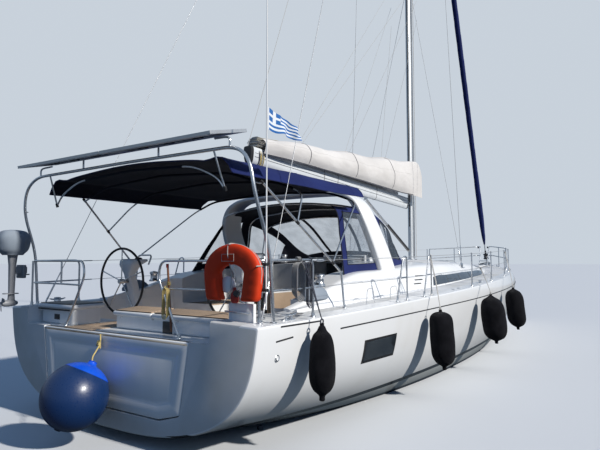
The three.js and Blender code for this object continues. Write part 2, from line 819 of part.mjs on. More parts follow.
const [PANEL_STARBOARD, PANEL_PORT] = [-1700, 1860];
function solarPanelBody() {
  const [aft, fore] = [[-160, 3278], [405, 3412]];
  const thickness = 38;
  const outline = [aft, fore, [fore[0], fore[1] + thickness], [aft[0], aft[1] + thickness]];
  const middle = (PANEL_STARBOARD + PANEL_PORT) / 2;
  return clearOf(plate(outline, middle, PANEL_PORT - PANEL_STARBOARD), [solarArch]);
}
add("solar_panel", solarPanelBody(), "panel");

// Rails round the deck

const RAIL_TOP = 625;

// A point on the rail line, inboard of the deck edge.
function railPoint(x, height, inset = 70) {
  const after = HULL_STATIONS.findIndex(([station]) => station >= x);
  const [a, b] = [HULL_STATIONS[Math.max(after - 1, 0)], HULL_STATIONS[after]];
  const share = a === b ? 0 : (x - a[0]) / (b[0] - a[0]);
  return [x, a[1] + (b[1] - a[1]) * share - inset, sheer(x) + height];
}

const PUSHPIT_END = 1000;

function pushpitBody(side) {
  const face = ([x, y, z]) => [x, side * y, z];
  const top = [
    railPoint(PUSHPIT_END, 0, 100),
    railPoint(PUSHPIT_END, RAIL_TOP, 100),
    railPoint(700, RAIL_TOP, 100),
    [200, 2040, SHEER_AFT + RAIL_TOP],
    [200, 1340, SHEER_AFT + RAIL_TOP],
    [105, 720, SHEER_AFT + RAIL_TOP],
    [105, 680, 1850],
    [95, 1040, AFT_LEDGE_Z],
  ];
  const middle = [
    railPoint(PUSHPIT_END, 320, 100),
    railPoint(700, 320, 100),
    [200, 2040, SHEER_AFT + 320],
    [200, 1340, SHEER_AFT + 320],
    [105, 745, SHEER_AFT + 320],
  ];
  const posts = [
    [[200, 2040, 1380], [200, 2040, SHEER_AFT + RAIL_TOP]],
  ];
  const tubes = [top, middle].map((points) => tube(points.map(face), RAIL_TUBE, 90));
  for (const points of posts) tubes.push(tube(points.map(face), RAIL_TUBE));
  return clearOf(join(tubes), [hull, coachroof, aftBench, helmSeat, biminiFrame, solarArch]);
}

// Columns: from transom. Each stanchion carries two lifelines.
const STANCHIONS = [6340, 7940, 9880, 11700, 13200];
// Gate posts, each an upright with a leaning leg aft of it.
// Columns: from transom at the leg's foot, from transom at the upright.
const GATE_POSTS = [
  [2965, 3285],
  [3900, 4200],
];

function guardrailBody(side) {
  const face = ([x, y, z]) => [x, side * y, z];
  const posts = STANCHIONS.map((x) => tube([face(railPoint(x, -20)), face(railPoint(x, RAIL_TOP))], 13));
  for (const [leg, upright] of GATE_POSTS) {
    const bow = [
      railPoint(leg, -20),
      railPoint(leg + 210, RAIL_TOP),
      railPoint(upright, RAIL_TOP),
      railPoint(upright, -20),
    ];
    posts.push(tube(bow.map(face), 13, 70));
  }
  const lines = [RAIL_TOP - 12, 320].map((height) => {
    const start = railPoint(PUSHPIT_END + RAIL_TUBE + 8, height, 100);
    return tube([start, ...[3100, ...STANCHIONS].map((x) => railPoint(x, height))].map(face), WIRE);
  });
  return clearOf(join([...posts, ...lines]), [hull, coachroof, biminiFrame]);
}

for (const [name, side] of [
  ["starboard", -1],
  ["port", 1],
]) {
  add("pushpit_" + name, pushpitBody(side), "stainless");
  add("guardrail_" + name, guardrailBody(side), "stainless");
}

// The pulpit's two pairs of posts on the side decks, its nose and its low rail, from the transom or above the deck.
const PULPIT_AFT_POST = 13310;
const PULPIT_FORE_POST = 14380;
const PULPIT_FORE_INSET = 64;
const PULPIT_NOSE = 15150;
const LOW_RAIL = 320;

function pulpitBody() {
  const noseZ = sheer(PULPIT_NOSE) + 40;
  const rail = (height) => [
    railPoint(PULPIT_AFT_POST, height, 70),
    railPoint(PULPIT_FORE_POST, height + 15, PULPIT_FORE_INSET),
    [15350, 260, noseZ + height],
    [15440, 150, noseZ + height],
  ];
  const both = (points) => [points, points.map(mirrorY)];
  const tubes = [];
  for (const height of [RAIL_TOP, LOW_RAIL]) {
    for (const points of both(rail(height))) tubes.push(tube(points, RAIL_TUBE, 120));
  }
  const posts = [
    [railPoint(PULPIT_AFT_POST, -20), railPoint(PULPIT_AFT_POST, RAIL_TOP)],
    [
      railPoint(PULPIT_FORE_POST, -26, PULPIT_FORE_INSET),
      railPoint(PULPIT_FORE_POST, RAIL_TOP + 15, PULPIT_FORE_INSET),
    ],
    [[15200, 136, 1850], [15425, 152, noseZ + RAIL_TOP + 2]],
  ];
  for (const post of posts) for (const points of both(post)) tubes.push(tube(points, RAIL_TUBE));
  const step = tube([[15252, 143, 2040], [15252, -143, 2040]], RAIL_TUBE);
  return clearOf(join([...tubes, step]), [hull]);
}
add("pulpit", pulpitBody(), "stainless");

// Mast, spreaders and standing rigging

// Columns: height, length of each spreader sideways, sweep aft at the tip.
const SPREADERS = [
  [9200, 1160, 640],
  [14900, 900, 500],
];

function mastBody() {
  const ring = (z, share) => {
    const sides = 14;
    return Array.from({ length: sides }, (_, i) => {
      const angle = (i / sides) * Math.PI * 2;
      const along = MAST_LENGTHWAYS * share * Math.cos(angle);
      return [at(MAST_X) + along, MAST_SIDEWAYS * share * Math.sin(angle), z];
    });
  };
  const pole = loft([ring(MAST_FOOT_Z, 1), ring(17500, 1), ring(MAST_TOP_Z, 0.75)]);
  const pieces = [pole];
  for (const [z, reach, sweep] of SPREADERS) {
    for (const side of [-1, 1]) {
      const shape = (x, y, half, thick) => [
        [at(x + half), y, z],
        [at(x), y, z + thick],
        [at(x - half), y, z],
        [at(x), y, z - thick],
      ];
      pieces.push(loft([shape(MAST_X, 0, 60, 18), shape(MAST_X - sweep, side * reach, 35, 11)]));
    }
  }
  pieces.push(box(MAST_X - 150, MAST_X + 190, -45, 45, MAST_TOP_Z - 60, MAST_TOP_Z + 20));
  pieces.push(tube([[MAST_X - 120, 0, MAST_TOP_Z], [MAST_X - 120, 0, MAST_TOP_Z + 620]], 6));
  const foot = box(MAST_X - 190, MAST_X + 190, -120, 120, MAST_FOOT_Z - 60, MAST_FOOT_Z + 25);
  pieces.push(foot);
  return clearOf(join(pieces), [coachroof]);
}
const mast = add("mast", mastBody(), "aluminium");

function shroudsBody(side) {
  const face = ([x, y, z]) => [x, side * y, z];
  const foot = face(SHROUD_FOOT);
  const tips = SPREADERS.map(([z, reach, sweep]) => face([MAST_X - sweep, reach + 2 * WIRE + 6, z]));
  const masthead = face([MAST_X - 60, MAST_SIDEWAYS + 10, 19300]);
  const wires = [
    tube([foot, tips[0]], WIRE + 1),
    tube([tips[0], tips[1]], WIRE + 1),
    tube([tips[1], masthead], WIRE),
    tube([foot, face([MAST_X - 10, MAST_SIDEWAYS + 10, 9050])], WIRE),
    tube([tips[0], face([MAST_X - 10, MAST_SIDEWAYS + 10, 14750])], WIRE),
  ];
  const plateFoot = tube([face([8320, 1460, 1880]), foot], 16);
  const screw = tube([foot, face([8296, 1441, 2240])], 13);
  return clearOf(join([...wires, plateFoot, screw]), [coachroof, mast]);
}

const BACKSTAY_FOOT = [330, 1960, 1400];
function backstayBody(side) {
  const [x, y, z] = BACKSTAY_FOOT;
  const foot = [x, side * y, z - 20];
  const low = [x + 40, side * (y - 9), z + 400];
  const head = [MAST_X - 140, side * 22, MAST_TOP_Z - 90];
  const wire = tube([low, head], WIRE);
  const screw = tube([foot, low], 13);
  return clearOf(join([wire, screw]), [hull, mast]);
}

for (const [name, side] of [
  ["starboard", -1],
  ["port", 1],
]) {
  add("shrouds_" + name, shroudsBody(side), "stainless");
  add("backstay_" + name, backstayBody(side), "stainless");
}

// Furled headsail on its foil, with the drum at its foot
function alongStay(share) {
  const [low, high] = [new THREE.Vector3(...TACK), new THREE.Vector3(...HOIST)];
  const point = low.clone().lerp(high, share);
  return point.toArray();
}

function genoaBody() {
  // Columns: share of the stay's length, radius.
  const profile = [
    [0.006, 95],
    [0.016, 95],
    [0.0165, 30],
    [0.03, 34],
    [0.05, 72],
    [0.35, 88],
    [0.7, 72],
    [0.95, 36],
    [0.985, 20],
  ];
  const low = new THREE.Vector3(...TACK);
  const span = new THREE.Vector3(...HOIST).sub(low);
  const points = profile.map(([s, r]) => new THREE.Vector2(r, s * span.length()));
  points.unshift(new THREE.Vector2(0, points[0].y));
  points.push(new THREE.Vector2(0, points[points.length - 1].y));
  const up = new THREE.Vector3(0, 1, 0);
  const turn = new THREE.Quaternion().setFromUnitVectors(up, span.clone().normalize());
  const geometry = new THREE.LatheGeometry(points, 12).applyQuaternion(turn);
  return solid(geometry.translate(at(low.x), low.y, low.z));
}
add("furled_genoa", genoaBody(), "canvas");

function stemFittingBody() {
  const cheeks = [-1, 1].map((side) =>
    plate([[14900, 1890], [15930, 1915], [15970, 1970], [15770, 2000], [14900, 1940]], side * 70, 12),
  );
  const roller = tube([[15880, -76, 1950], [15880, 76, 1950]], 32, 0, 10);
  const floor = box(14920, 15820, -76, 76, 1900, 1914);
  const eye = tube([alongStay(-0.004), alongStay(0.0045)], 14, 0, 8);
  const post = box(15580, 15700, -76, 76, 1912, 1950);
  return clearOf(join([...cheeks, roller, floor, post, eye]), [hull]);
}
const stemFitting = add("stem_fitting", stemFittingBody(), "stainless");

function anchorBody() {
  const shank = tube([[15760, 0, 2004], [15840, 0, 2002], [16010, 0, 1900], [16030, 0, 1690]], 18, 60, 6);
  const fluke = loft([
    [[at(15820), -30, 1560], [at(15820), 30, 1560], [at(15840), 30, 1600], [at(15840), -30, 1600]],
    [[at(15990), -170, 1690], [at(15990), 170, 1690], [at(16000), 170, 1720], [at(16000), -170, 1720]],
    [[at(16090), -90, 1860], [at(16090), 90, 1860], [at(16095), 90, 1885], [at(16095), -90, 1885]],
  ]);
  return clearOf(join([shank, fluke]), [stemFitting, hull], 1);
}
add("anchor", anchorBody(), "stainless");

// Boom, sail bag and vang swing about the gooseneck

const BOOM_SLOPE = (BOOM_TOP_FORE - BOOM_TOP_AFT) / (GOOSENECK_X - BOOM_END_X);
const boomTop = (x) => BOOM_TOP_AFT + BOOM_SLOPE * (x - BOOM_END_X);

function boomBody() {
  const ring = (x) => {
    const top = boomTop(x);
    return [
      [75, 0],
      [82, -60],
      [70, -200],
      [40, -BOOM_DEPTH],
      [-40, -BOOM_DEPTH],
      [-70, -200],
      [-82, -60],
      [-75, 0],
    ].map(([y, z]) => [at(x), y, top + z]);
  };
  return loft([ring(BOOM_END_X), ring(8600)]).add(
    tube([[8560, 0, boomTop(8600) - 120], [8772, 0, boomTop(8600) - 120]], 26, 0, 8),
  );
}
const boom = add("boom", boomBody(), "aluminium");

// Columns: from transom, half-width low, half-width high, height above the boom's top.
const BAG_STATIONS = [
  [2700, 150, 60, 200],
  [3100, 200, 90, 260],
  [4500, 230, 100, 420],
  [6200, 260, 110, 620],
  [7800, 290, 130, 830],
  [8500, 318, 170, 930],
  [8835, 318, 170, 930],
];

function bagBody() {
  const rings = BAG_STATIONS.map(([x, low, high, rise]) => {
    const base = boomTop(x) + 6;
    return [
      [low * 0.7, 0],
      [low, rise * 0.28],
      [high + (low - high) * 0.55, rise * 0.65],
      [high, rise * 0.93],
      [0, rise],
    ].map(([y, z]) => [at(x), y, base + z]);
  });
  const whole = loft(rings.map((half) => [...half, ...half.slice(0, -1).map(mirrorY).reverse()]));
  const cavity = new THREE.CylinderGeometry(305, 305, 3000, 24).rotateX(Math.PI / 2);
  return whole.subtract(solid(cavity.translate(at(GOOSENECK_X), 0, 4000)));
}
add("sail_bag", bagBody(), "bag");

function vangBody() {
  const low = [8735, 0, 2290];
  const high = [6420, 0, boomTop(6420) - BOOM_DEPTH - 30];
  const middle = [7500, 0, low[2] + ((high[2] - low[2]) * (low[0] - 7500)) / (low[0] - high[0])];
  const pieces = [tube([low, high], 20, 0, 8), tube([low, middle], 32, 0, 8)];
  pieces.push(box(6360, 6480, -16, 16, high[2] - 20, high[2] + 90));
  return clearOf(join(pieces), [boom, mast]);
}
add("vang", vangBody(), "black");

// Things hung on the rails

function lifebuoyBody() {
  const [x, y, z] = [125, -1760, 1905];
  const points = [];
  for (let i = 0; i <= 10; i++) {
    const angle = (i / 10) * Math.PI;
    points.push([x, y + 268 * Math.cos(angle), z + 195 * Math.sin(angle)]);
  }
  const legs = [[x, y + 225, z - 255], ...points, [x, y - 225, z - 255]];
  const shape = new THREE.Shape();
  const [across, deep] = [107, 60];
  for (let i = 0; i < 8; i++) {
    const angle = ((i + 0.5) / 8) * Math.PI * 2;
    const place = [deep * Math.cos(angle), across * Math.sin(angle)];
    if (i) shape.lineTo(...place);
    else shape.moveTo(...place);
  }
  const route = new Route(legs.map(([a, b, c]) => [at(a), b, c]));
  const settings = { steps: legs.length - 1, extrudePath: route, bevelEnabled: false };
  const ring = solid(new THREE.ExtrudeGeometry(shape, settings));
  return ring;
}
add("lifebuoy", lifebuoyBody(), "foam");

// Columns: from transom, Y, top and bottom height, radius.
const FENDERS = [
  [800, -2390, 1395, 600, 138],
  [3850, -2548, 1320, 423, 182],
  [6340, -2612, 1430, 520, 226],
  [8540, -2505, 1460, 540, 198],
];
FENDERS.forEach(([x, y, top, bottom, radius], i) => {
  const profile = [
    [0, bottom],
    [radius * 0.55, bottom + 30],
    [radius * 0.95, bottom + 130],
    [radius, bottom + 240],
    [radius * 0.96, top - 260],
    [radius * 0.6, top - 110],
    [22, top - 50],
    [22, top],
    [0, top],
  ];
  add("fender_" + (i + 1), turned(profile, x, y, 14), "fender");
});

const BALL = [-415, 30, 555, 355];
function ballBody() {
  const [x, y, z, radius] = BALL;
  const round = [0, 0.15, 0.3, 0.5, 0.7, 0.86, 0.95].map((share) => {
    const angle = share * Math.PI;
    return [radius * Math.sin(angle), z - radius * Math.cos(angle)];
  });
  return turned([...round, [46, z + radius + 30], [0, z + radius + 34]], x, y, 16);
}
add("ball_fender", ballBody(), "ball");

function outboardBody() {
  const y = 1930;
  const cowl = loft(
    [
      [2115, 90, 120],
      [2180, 150, 190],
      [2330, 165, 215],
      [2420, 130, 170],
      [2450, 60, 90],
    ].map(([z, wide, long]) =>
      [0, 1, 2, 3, 4, 5, 6, 7].map((i) => {
        const angle = ((i + 0.5) / 8) * Math.PI * 2;
        return [at(-150 + long * Math.cos(angle)), y + wide * Math.sin(angle), z];
      }),
    ),
  );
  const leg = box(-190, -110, y - 45, y + 45, 1480, 2160);
  const fin = box(-260, -60, y - 60, y + 60, 1590, 1604);
  const torpedo = tube([[-290, y, 1470], [-60, y, 1470]], 48, 0, 8);
  const clamp = box(-120, 60, y - 60, y + 60, 1860, 1960);
  return clearOf(join([cowl, leg, fin, torpedo, clamp]), [hull]);
}
add("outboard", outboardBody(), "cowl");

const STAFF = [165, -2152];
// Columns: radius, height.
const STAFF_PROFILE = [
  [0, 1560],
  [9, 1560],
  [7, 3200],
  [5, 4950],
  [0, 4950],
];
add("flag_staff", turned(STAFF_PROFILE, STAFF[0], STAFF[1], 6), "gelcoat");
add("flag", box(STAFF[0] + 22, STAFF[0] + 560, STAFF[1] - 8, STAFF[1] + 8, 3380, 3610), "flag");

export default yacht;
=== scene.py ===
import math

import bmesh
import bpy
import numpy as np
from mathutils import Matrix, Quaternion, Vector, noise


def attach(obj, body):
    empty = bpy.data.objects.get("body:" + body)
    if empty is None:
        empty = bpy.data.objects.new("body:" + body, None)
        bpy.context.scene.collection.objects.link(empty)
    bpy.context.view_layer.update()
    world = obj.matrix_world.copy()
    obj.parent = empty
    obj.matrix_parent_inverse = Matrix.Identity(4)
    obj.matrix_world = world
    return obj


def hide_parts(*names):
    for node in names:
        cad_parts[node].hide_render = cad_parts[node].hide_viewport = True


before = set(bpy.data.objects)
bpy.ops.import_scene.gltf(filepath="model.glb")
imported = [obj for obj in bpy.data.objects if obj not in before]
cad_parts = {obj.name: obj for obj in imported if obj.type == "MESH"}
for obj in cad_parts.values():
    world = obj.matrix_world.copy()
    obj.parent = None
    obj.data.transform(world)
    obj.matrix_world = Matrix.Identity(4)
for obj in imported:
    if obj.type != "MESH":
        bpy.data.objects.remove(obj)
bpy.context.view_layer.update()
# Where the transom stands in the frame, and the two sides of the boat.
TRANSOM = -7.7
SIDES = (("starboard", -1), ("port", 1))

# %% [markdown]
# The camera comes first, because everything else is judged through it. It stands on the shore,
# astern and to starboard, about as high as the deck. A 32 mm lens gives that wide view of a long boat.
# %% Camera
CAMERA_PLACE = (-11.69, -5.39, 2.03)
CAMERA_YAW = math.radians(34.36)
CAMERA_PITCH = math.radians(3.83)
bpy.context.scene.view_settings.view_transform = "Standard"
camera_data = bpy.data.cameras.new("shore_camera")
camera_data.sensor_width = 36.0
camera_data.lens = 32.43
camera = bpy.data.objects.new("shore_camera", camera_data)
bpy.context.scene.collection.objects.link(camera)
camera.location = CAMERA_PLACE
camera.rotation_euler = (math.radians(90) + CAMERA_PITCH, 0, CAMERA_YAW - math.radians(90))
bpy.context.scene.camera = camera
print("camera at", CAMERA_PLACE)

# %% [markdown]
# Sunlight falls from ahead and from starboard, so the topsides shine and the transom lies in blue shade.
# A real sky would do this with clouds and glare. A studio does it with one sun lamp of some width, for
# edges that are soft but clear, and with a plain cool world that fills the shade.
# %% Floor and light
FLOOR_HALF = 400
SUN_FROM = Vector((0.0, -0.82, 0.55))
floor_data = bpy.data.meshes.new("floor")
corners = [(-1, -1), (1, -1), (1, 1), (-1, 1)]
floor_data.from_pydata([(FLOOR_HALF * x, FLOOR_HALF * y, 0) for x, y in corners], [], [(0, 1, 2, 3)])
floor = bpy.data.objects.new("floor", floor_data)
bpy.context.scene.collection.objects.link(floor)


def seen_and_cast(tree, seen, cast, mirrored_in=None):
    """One colour where the eye looks, one in the light that is thrown on, and one in reflections."""
    ray = tree.nodes.new("ShaderNodeLightPath")
    shown = (*cast, 1)
    for kind, color in (("Is Glossy Ray", mirrored_in or cast), ("Is Camera Ray", seen)):
        mix = tree.nodes.new("ShaderNodeMix")
        mix.data_type = "RGBA"
        tree.links.new(ray.outputs[kind], mix.inputs[0])
        if isinstance(shown, tuple):
            mix.inputs[6].default_value = shown
        else:
            tree.links.new(shown, mix.inputs[6])
        mix.inputs[7].default_value = (*color, 1)
        shown = mix.outputs[2]
    return shown


floor_paint = bpy.data.materials.new("floor_paint")
floor_paint.use_nodes = True
floor_shader = floor_paint.node_tree.nodes["Principled BSDF"]
floor_shader.inputs["Roughness"].default_value = 0.9
floor_tone = seen_and_cast(floor_paint.node_tree, (0.62, 0.64, 0.66), (0.05, 0.07, 0.09))
floor_paint.node_tree.links.new(floor_tone, floor_shader.inputs["Base Color"])
floor_data.materials.append(floor_paint)

world = bpy.data.worlds.new("studio")
bpy.context.scene.world = world
world.use_nodes = True
sky = world.node_tree.nodes["Background"]
sky_tone = seen_and_cast(world.node_tree, (0.58, 0.64, 0.71), (0.1, 0.18, 0.33), (0.26, 0.34, 0.45))
world.node_tree.links.new(sky_tone, sky.inputs["Color"])
sky.inputs["Strength"].default_value = 1.0
sun_data = bpy.data.lights.new("key", "SUN")
sun_data.energy = 4.4
sun_data.angle = math.radians(2.5)
sun_data.color = (1.0, 0.96, 0.9)
sun = bpy.data.objects.new("key", sun_data)
bpy.context.scene.collection.objects.link(sun)
sun.rotation_euler = (-SUN_FROM).to_track_quat("-Z", "Y").to_euler()
print("sun height", round(math.degrees(math.asin(SUN_FROM.normalized().z))), "degrees")

# %% [markdown]
# ## Tools for materials
# A material here is a small network of nodes. Two helpers keep each one short: one places a node and feeds
# its sockets, with a number or with another node's output, and one starts a material with its main values.
# %% Node helpers


def node(tree, kind, feeds=None, **settings):
    made = tree.nodes.new("ShaderNode" + kind)
    for key, value in settings.items():
        setattr(made, key, value)
    for key, value in (feeds or {}).items():
        if isinstance(value, bpy.types.NodeSocket):
            tree.links.new(value, made.inputs[key])
        else:
            made.inputs[key].default_value = value
    return made


def maths(tree, operation, *values):
    return node(tree, "Math", dict(enumerate(values)), operation=operation).outputs[0]


def mixed(tree, share, first, second):
    return node(tree, "Mix", {0: share, 6: first, 7: second}, data_type="RGBA").outputs[2]


def spread(tree, value, low, high, out_low=0.0, out_high=1.0):
    feeds = {"Value": value, "From Min": low, "From Max": high, "To Min": out_low, "To Max": out_high}
    return node(tree, "MapRange", feeds).outputs[0]


def group(name, inputs, outputs):
    tree = bpy.data.node_groups.new(name, "ShaderNodeTree")
    for label, value in inputs.items():
        kind = "NodeSocketFloat" if isinstance(value, float) else "NodeSocketColor"
        tree.interface.new_socket(label, in_out="INPUT", socket_type=kind).default_value = value
    for label, kind in outputs.items():
        tree.interface.new_socket(label, in_out="OUTPUT", socket_type="NodeSocket" + kind)
    return tree, tree.nodes.new("NodeGroupInput").outputs, tree.nodes.new("NodeGroupOutput").inputs


def use(tree, shared, **feeds):
    placed = node(tree, "Group", node_tree=shared)
    for key, value in feeds.items():
        placed.inputs[key.replace("_", " ").capitalize()].default_value = value
    return placed.outputs


def finish(name, color, roughness, metallic=0.0, **sockets):
    made = bpy.data.materials.new(name)
    made.use_nodes = True
    shader = made.node_tree.nodes["Principled BSDF"]
    shader.inputs["Base Color"].default_value = (*color, 1)
    shader.inputs["Roughness"].default_value = roughness
    shader.inputs["Metallic"].default_value = metallic
    for key, value in sockets.items():
        shader.inputs[key.replace("_", " ").title().replace("Ior", "IOR")].default_value = value
    return made, made.node_tree, shader


def feed(tree, shader, **sockets):
    for key, value in sockets.items():
        tree.links.new(value, shader.inputs[key.replace("_", " ").title()])


def bump(tree, shader, height, strength, distance):
    made = node(tree, "Bump", {"Strength": strength, "Distance": distance, "Height": height})
    tree.links.new(made.outputs["Normal"], shader.inputs["Normal"])


# %% [markdown]
# ## Effects that many materials share
# Salt, dust and handling leave the same kinds of trace on every finish, and cloth of every colour is woven
# in the same way. Each of these is a group, built once, which a material then places with its own values.
# %% Weathering, weave, braid and planks


def weathering_group():
    """Cloudy stains, streaks that run down, and a fine grain."""
    tree, given, put = group(
        "weathering",
        {"Cloud size": 1.2, "Streak size": 5.0, "Grain size": 90.0},
        {"Stain": "Float", "Streak": "Float", "Grain": "Float"},
    )
    place = node(tree, "TexCoord").outputs["Object"]
    cloud = node(tree, "TexNoise", {"Vector": place, "Scale": given["Cloud size"], "Detail": 4.0})
    down = node(tree, "Mapping", {"Vector": place, "Scale": (1.0, 1.0, 0.08)}).outputs[0]
    streak = node(tree, "TexNoise", {"Vector": down, "Scale": given["Streak size"], "Detail": 3.0})
    grain = node(tree, "TexNoise", {"Vector": place, "Scale": given["Grain size"], "Detail": 2.0})
    tree.links.new(spread(tree, cloud.outputs[0], 0.38, 0.7), put["Stain"])
    tree.links.new(spread(tree, streak.outputs[0], 0.52, 0.8), put["Streak"])
    tree.links.new(grain.outputs[0], put["Grain"])
    return tree


def weave_group():
    """Threads that cross over and under, and the fade of sun on cloth."""
    tree, given, put = group(
        "weave", {"Threads": 260.0, "Fade size": 1.6}, {"Height": "Float", "Fade": "Float"},
    )
    place = node(tree, "TexCoord").outputs["Object"]
    feeds = {"Vector": place, "Scale": given["Threads"], "Distortion": 0.6}
    warp = node(tree, "TexWave", feeds, bands_direction="DIAGONAL")
    weft = node(tree, "TexWave", feeds, bands_direction="Z")
    fade = node(tree, "TexNoise", {"Vector": place, "Scale": given["Fade size"], "Detail": 5.0})
    tree.links.new(maths(tree, "MULTIPLY", warp.outputs[1], weft.outputs[1]), put["Height"])
    tree.links.new(spread(tree, fade.outputs[0], 0.35, 0.68), put["Fade"])
    return tree


def planks_group():
    """Long planks with dark caulking between them, each plank a little lighter or darker."""
    tree, given, put = group(
        "planks",
        {"Width": 0.05, "Turn": 0.0},
        {"Caulk": "Float", "Tone": "Float", "Grain": "Float"},
    )
    place = node(tree, "TexCoord").outputs["Object"]
    axes = node(tree, "SeparateXYZ", {0: place}).outputs
    across = node(tree, "Mix", {0: given["Turn"], 2: axes["Y"], 3: axes["X"]}, data_type="FLOAT").outputs[0]
    steps = maths(tree, "DIVIDE", across, given["Width"])
    inside = maths(tree, "FRACT", steps)
    number = maths(tree, "FLOOR", steps)
    tone = node(tree, "TexWhiteNoise", {"W": number}, noise_dimensions="1D").outputs[0]
    long_way = node(tree, "Mapping", {"Vector": place, "Scale": (3.0, 3.0, 3.0)}).outputs[0]
    grain = node(
        tree, "TexNoise", {"Vector": long_way, "Scale": 14.0, "Detail": 6.0, "Distortion": 1.2},
    ).outputs[0]
    edge = maths(tree, "ABSOLUTE", maths(tree, "SUBTRACT", inside, 0.5))
    tree.links.new(spread(tree, edge, 0.44, 0.46), put["Caulk"])
    tree.links.new(tone, put["Tone"])
    tree.links.new(grain, put["Grain"])
    return tree


def braid_group():
    """The slanting strands of a braided or knitted cover."""
    tree, given, put = group("braid", {"Strands": 120.0}, {"Height": "Float"})
    place = node(tree, "TexCoord").outputs["Object"]
    feeds = {"Vector": place, "Scale": given["Strands"], "Distortion": 1.0}
    one = node(tree, "TexWave", feeds, bands_direction="DIAGONAL")
    turned_place = node(tree, "Mapping", {"Vector": place, "Scale": (-1.0, -1.0, 1.0)}).outputs[0]
    other = node(tree, "TexWave", {**feeds, "Vector": turned_place}, bands_direction="DIAGONAL")
    tree.links.new(maths(tree, "MAXIMUM", one.outputs[1], other.outputs[1]), put["Height"])
    return tree


weathering, weave, planks, braid = weathering_group(), weave_group(), planks_group(), braid_group()
print("groups", [tree.name for tree in (weathering, weave, planks, braid)])

# %% [markdown]
# ## Gelcoat and paint
# Gelcoat is a thick glossy resin, nearly white, which chalks a little and carries rain streaks. A coat over
# a slightly rough base gives its gloss. The hull adds bands by height: a boot stripe, a greenish band of
# painted water reflection below it, and the bottom paint.
# %% Gelcoat, deck and hull
WHITE = (0.8, 0.81, 0.815)
GELCOAT_ROUGH, DIRT = 0.28, 0.16
# The boot stripe's edges above the waterline, and how fast it climbs towards the bow.
STRIPE_LOW, STRIPE_TOP, STRIPE_CLIMB = 0.25, 0.32, 0.0066
# Half the height over which one band of paint gives way to the next.
BAND_EDGE = 0.003


def gelcoat_finish():
    made, tree, shader = finish("gelcoat", WHITE, GELCOAT_ROUGH, coat_weight=0.35, coat_roughness=0.12)
    worn = use(tree, weathering)
    dull = tuple(c * k for c, k in zip(WHITE, (0.86, 0.85, 0.8)))
    stained = mixed(tree, maths(tree, "MULTIPLY", worn["Stain"], DIRT), (*WHITE, 1), (*dull, 1))
    streaky = mixed(tree, maths(tree, "MULTIPLY", worn["Streak"], DIRT), stained, (0.52, 0.5, 0.45, 1))
    rough = spread(tree, worn["Stain"], 0, 1, GELCOAT_ROUGH, GELCOAT_ROUGH + 0.14)
    feed(tree, shader, base_color=streaky, roughness=rough)
    bump(tree, shader, worn["Stain"], 0.06, 0.02)
    return made


def below(tree, level, height):
    """A mask that is 1 below a height."""
    return spread(tree, level, height + BAND_EDGE, height - BAND_EDGE)


def hull_finish():
    """Gelcoat above; below it a boot stripe, a greenish band that is painted reflection of water, and bottom
    paint. The stripe climbs slightly towards the bow.
    """
    made, tree, shader = finish("hull_gelcoat", WHITE, 0.2, coat_weight=0.5, coat_roughness=0.06)
    worn = use(tree, weathering, cloud_size=0.7, streak_size=3.0)
    axes = node(tree, "SeparateXYZ", {0: node(tree, "TexCoord").outputs["Object"]}).outputs
    level = maths(tree, "SUBTRACT", axes["Z"], maths(tree, "MULTIPLY", axes["X"], STRIPE_CLIMB))
    clean = mixed(tree, maths(tree, "MULTIPLY", worn["Streak"], 0.14), (*WHITE, 1), (0.6, 0.57, 0.49, 1))
    low_dirt = spread(tree, level, STRIPE_LOW + 0.45, STRIPE_LOW, 0.0, 0.22)
    grubby = mixed(tree, maths(tree, "MULTIPLY", low_dirt, worn["Stain"]), clean, (0.45, 0.43, 0.34, 1))
    striped = mixed(tree, below(tree, level, STRIPE_TOP), grubby, (0.012, 0.013, 0.016, 1))
    # Under the stripe, a greenish grey band: painted reflection of the water on the lowest strip of the
    # topsides.
    band = mixed(tree, below(tree, level, STRIPE_LOW), striped, (0.6, 0.62, 0.6, 1))
    wet = spread(
        tree, maths(tree, "ADD", axes["Z"], maths(tree, "MULTIPLY", worn["Grain"], 0.02)), 0.1, 0.07,
    )
    painted = mixed(tree, wet, band, (0.02, 0.03, 0.055, 1))
    feed(tree, shader, base_color=painted, roughness=spread(tree, wet, 0, 1, 0.2, 0.75))
    bump(tree, shader, worn["Stain"], 0.05, 0.03)
    return made


def nonskid_finish():
    """A fine pattern of raised points, moulded in the deck to grip a shoe."""
    made, tree, shader = finish("nonskid", (0.62, 0.63, 0.63), 0.62)
    worn = use(tree, weathering, cloud_size=1.6)
    points = node(tree, "TexVoronoi", {"Vector": node(tree, "TexCoord").outputs["Object"], "Scale": 190.0})
    feed(tree, shader, base_color=mixed(tree, worn["Stain"], (0.64, 0.65, 0.66, 1), (0.54, 0.54, 0.52, 1)))
    bump(tree, shader, points.outputs["Distance"], 0.5, 0.002)
    return made


gelcoat = gelcoat_finish()
hull_paint = hull_finish()
nonskid = nonskid_finish()


def bottom_paint_finish(name, color):
    made, tree, shader = finish(name, color, 0.7)
    worn = use(tree, weathering, cloud_size=4.0, grain_size=40.0)
    feed(tree, shader, base_color=mixed(tree, worn["Stain"], (*color, 1), (0.07, 0.085, 0.07, 1)))
    bump(tree, shader, worn["Grain"], 0.3, 0.004)
    return made


antifouling = bottom_paint_finish("antifouling", (0.02, 0.03, 0.055))
keel_paint = bottom_paint_finish("keel_paint", (0.022, 0.03, 0.048))
print("stripe between", STRIPE_LOW, "and", STRIPE_TOP, "above the waterline")

# %% [markdown]
# ## Metals
# Stainless tube is polished and picks up fine scratches along with tea-coloured freckles of salt. Anodised
# spars are softer and greyer. Both keep a plain metallic value, and only their roughness and tint change.
# %% Steel, aluminium and bronze


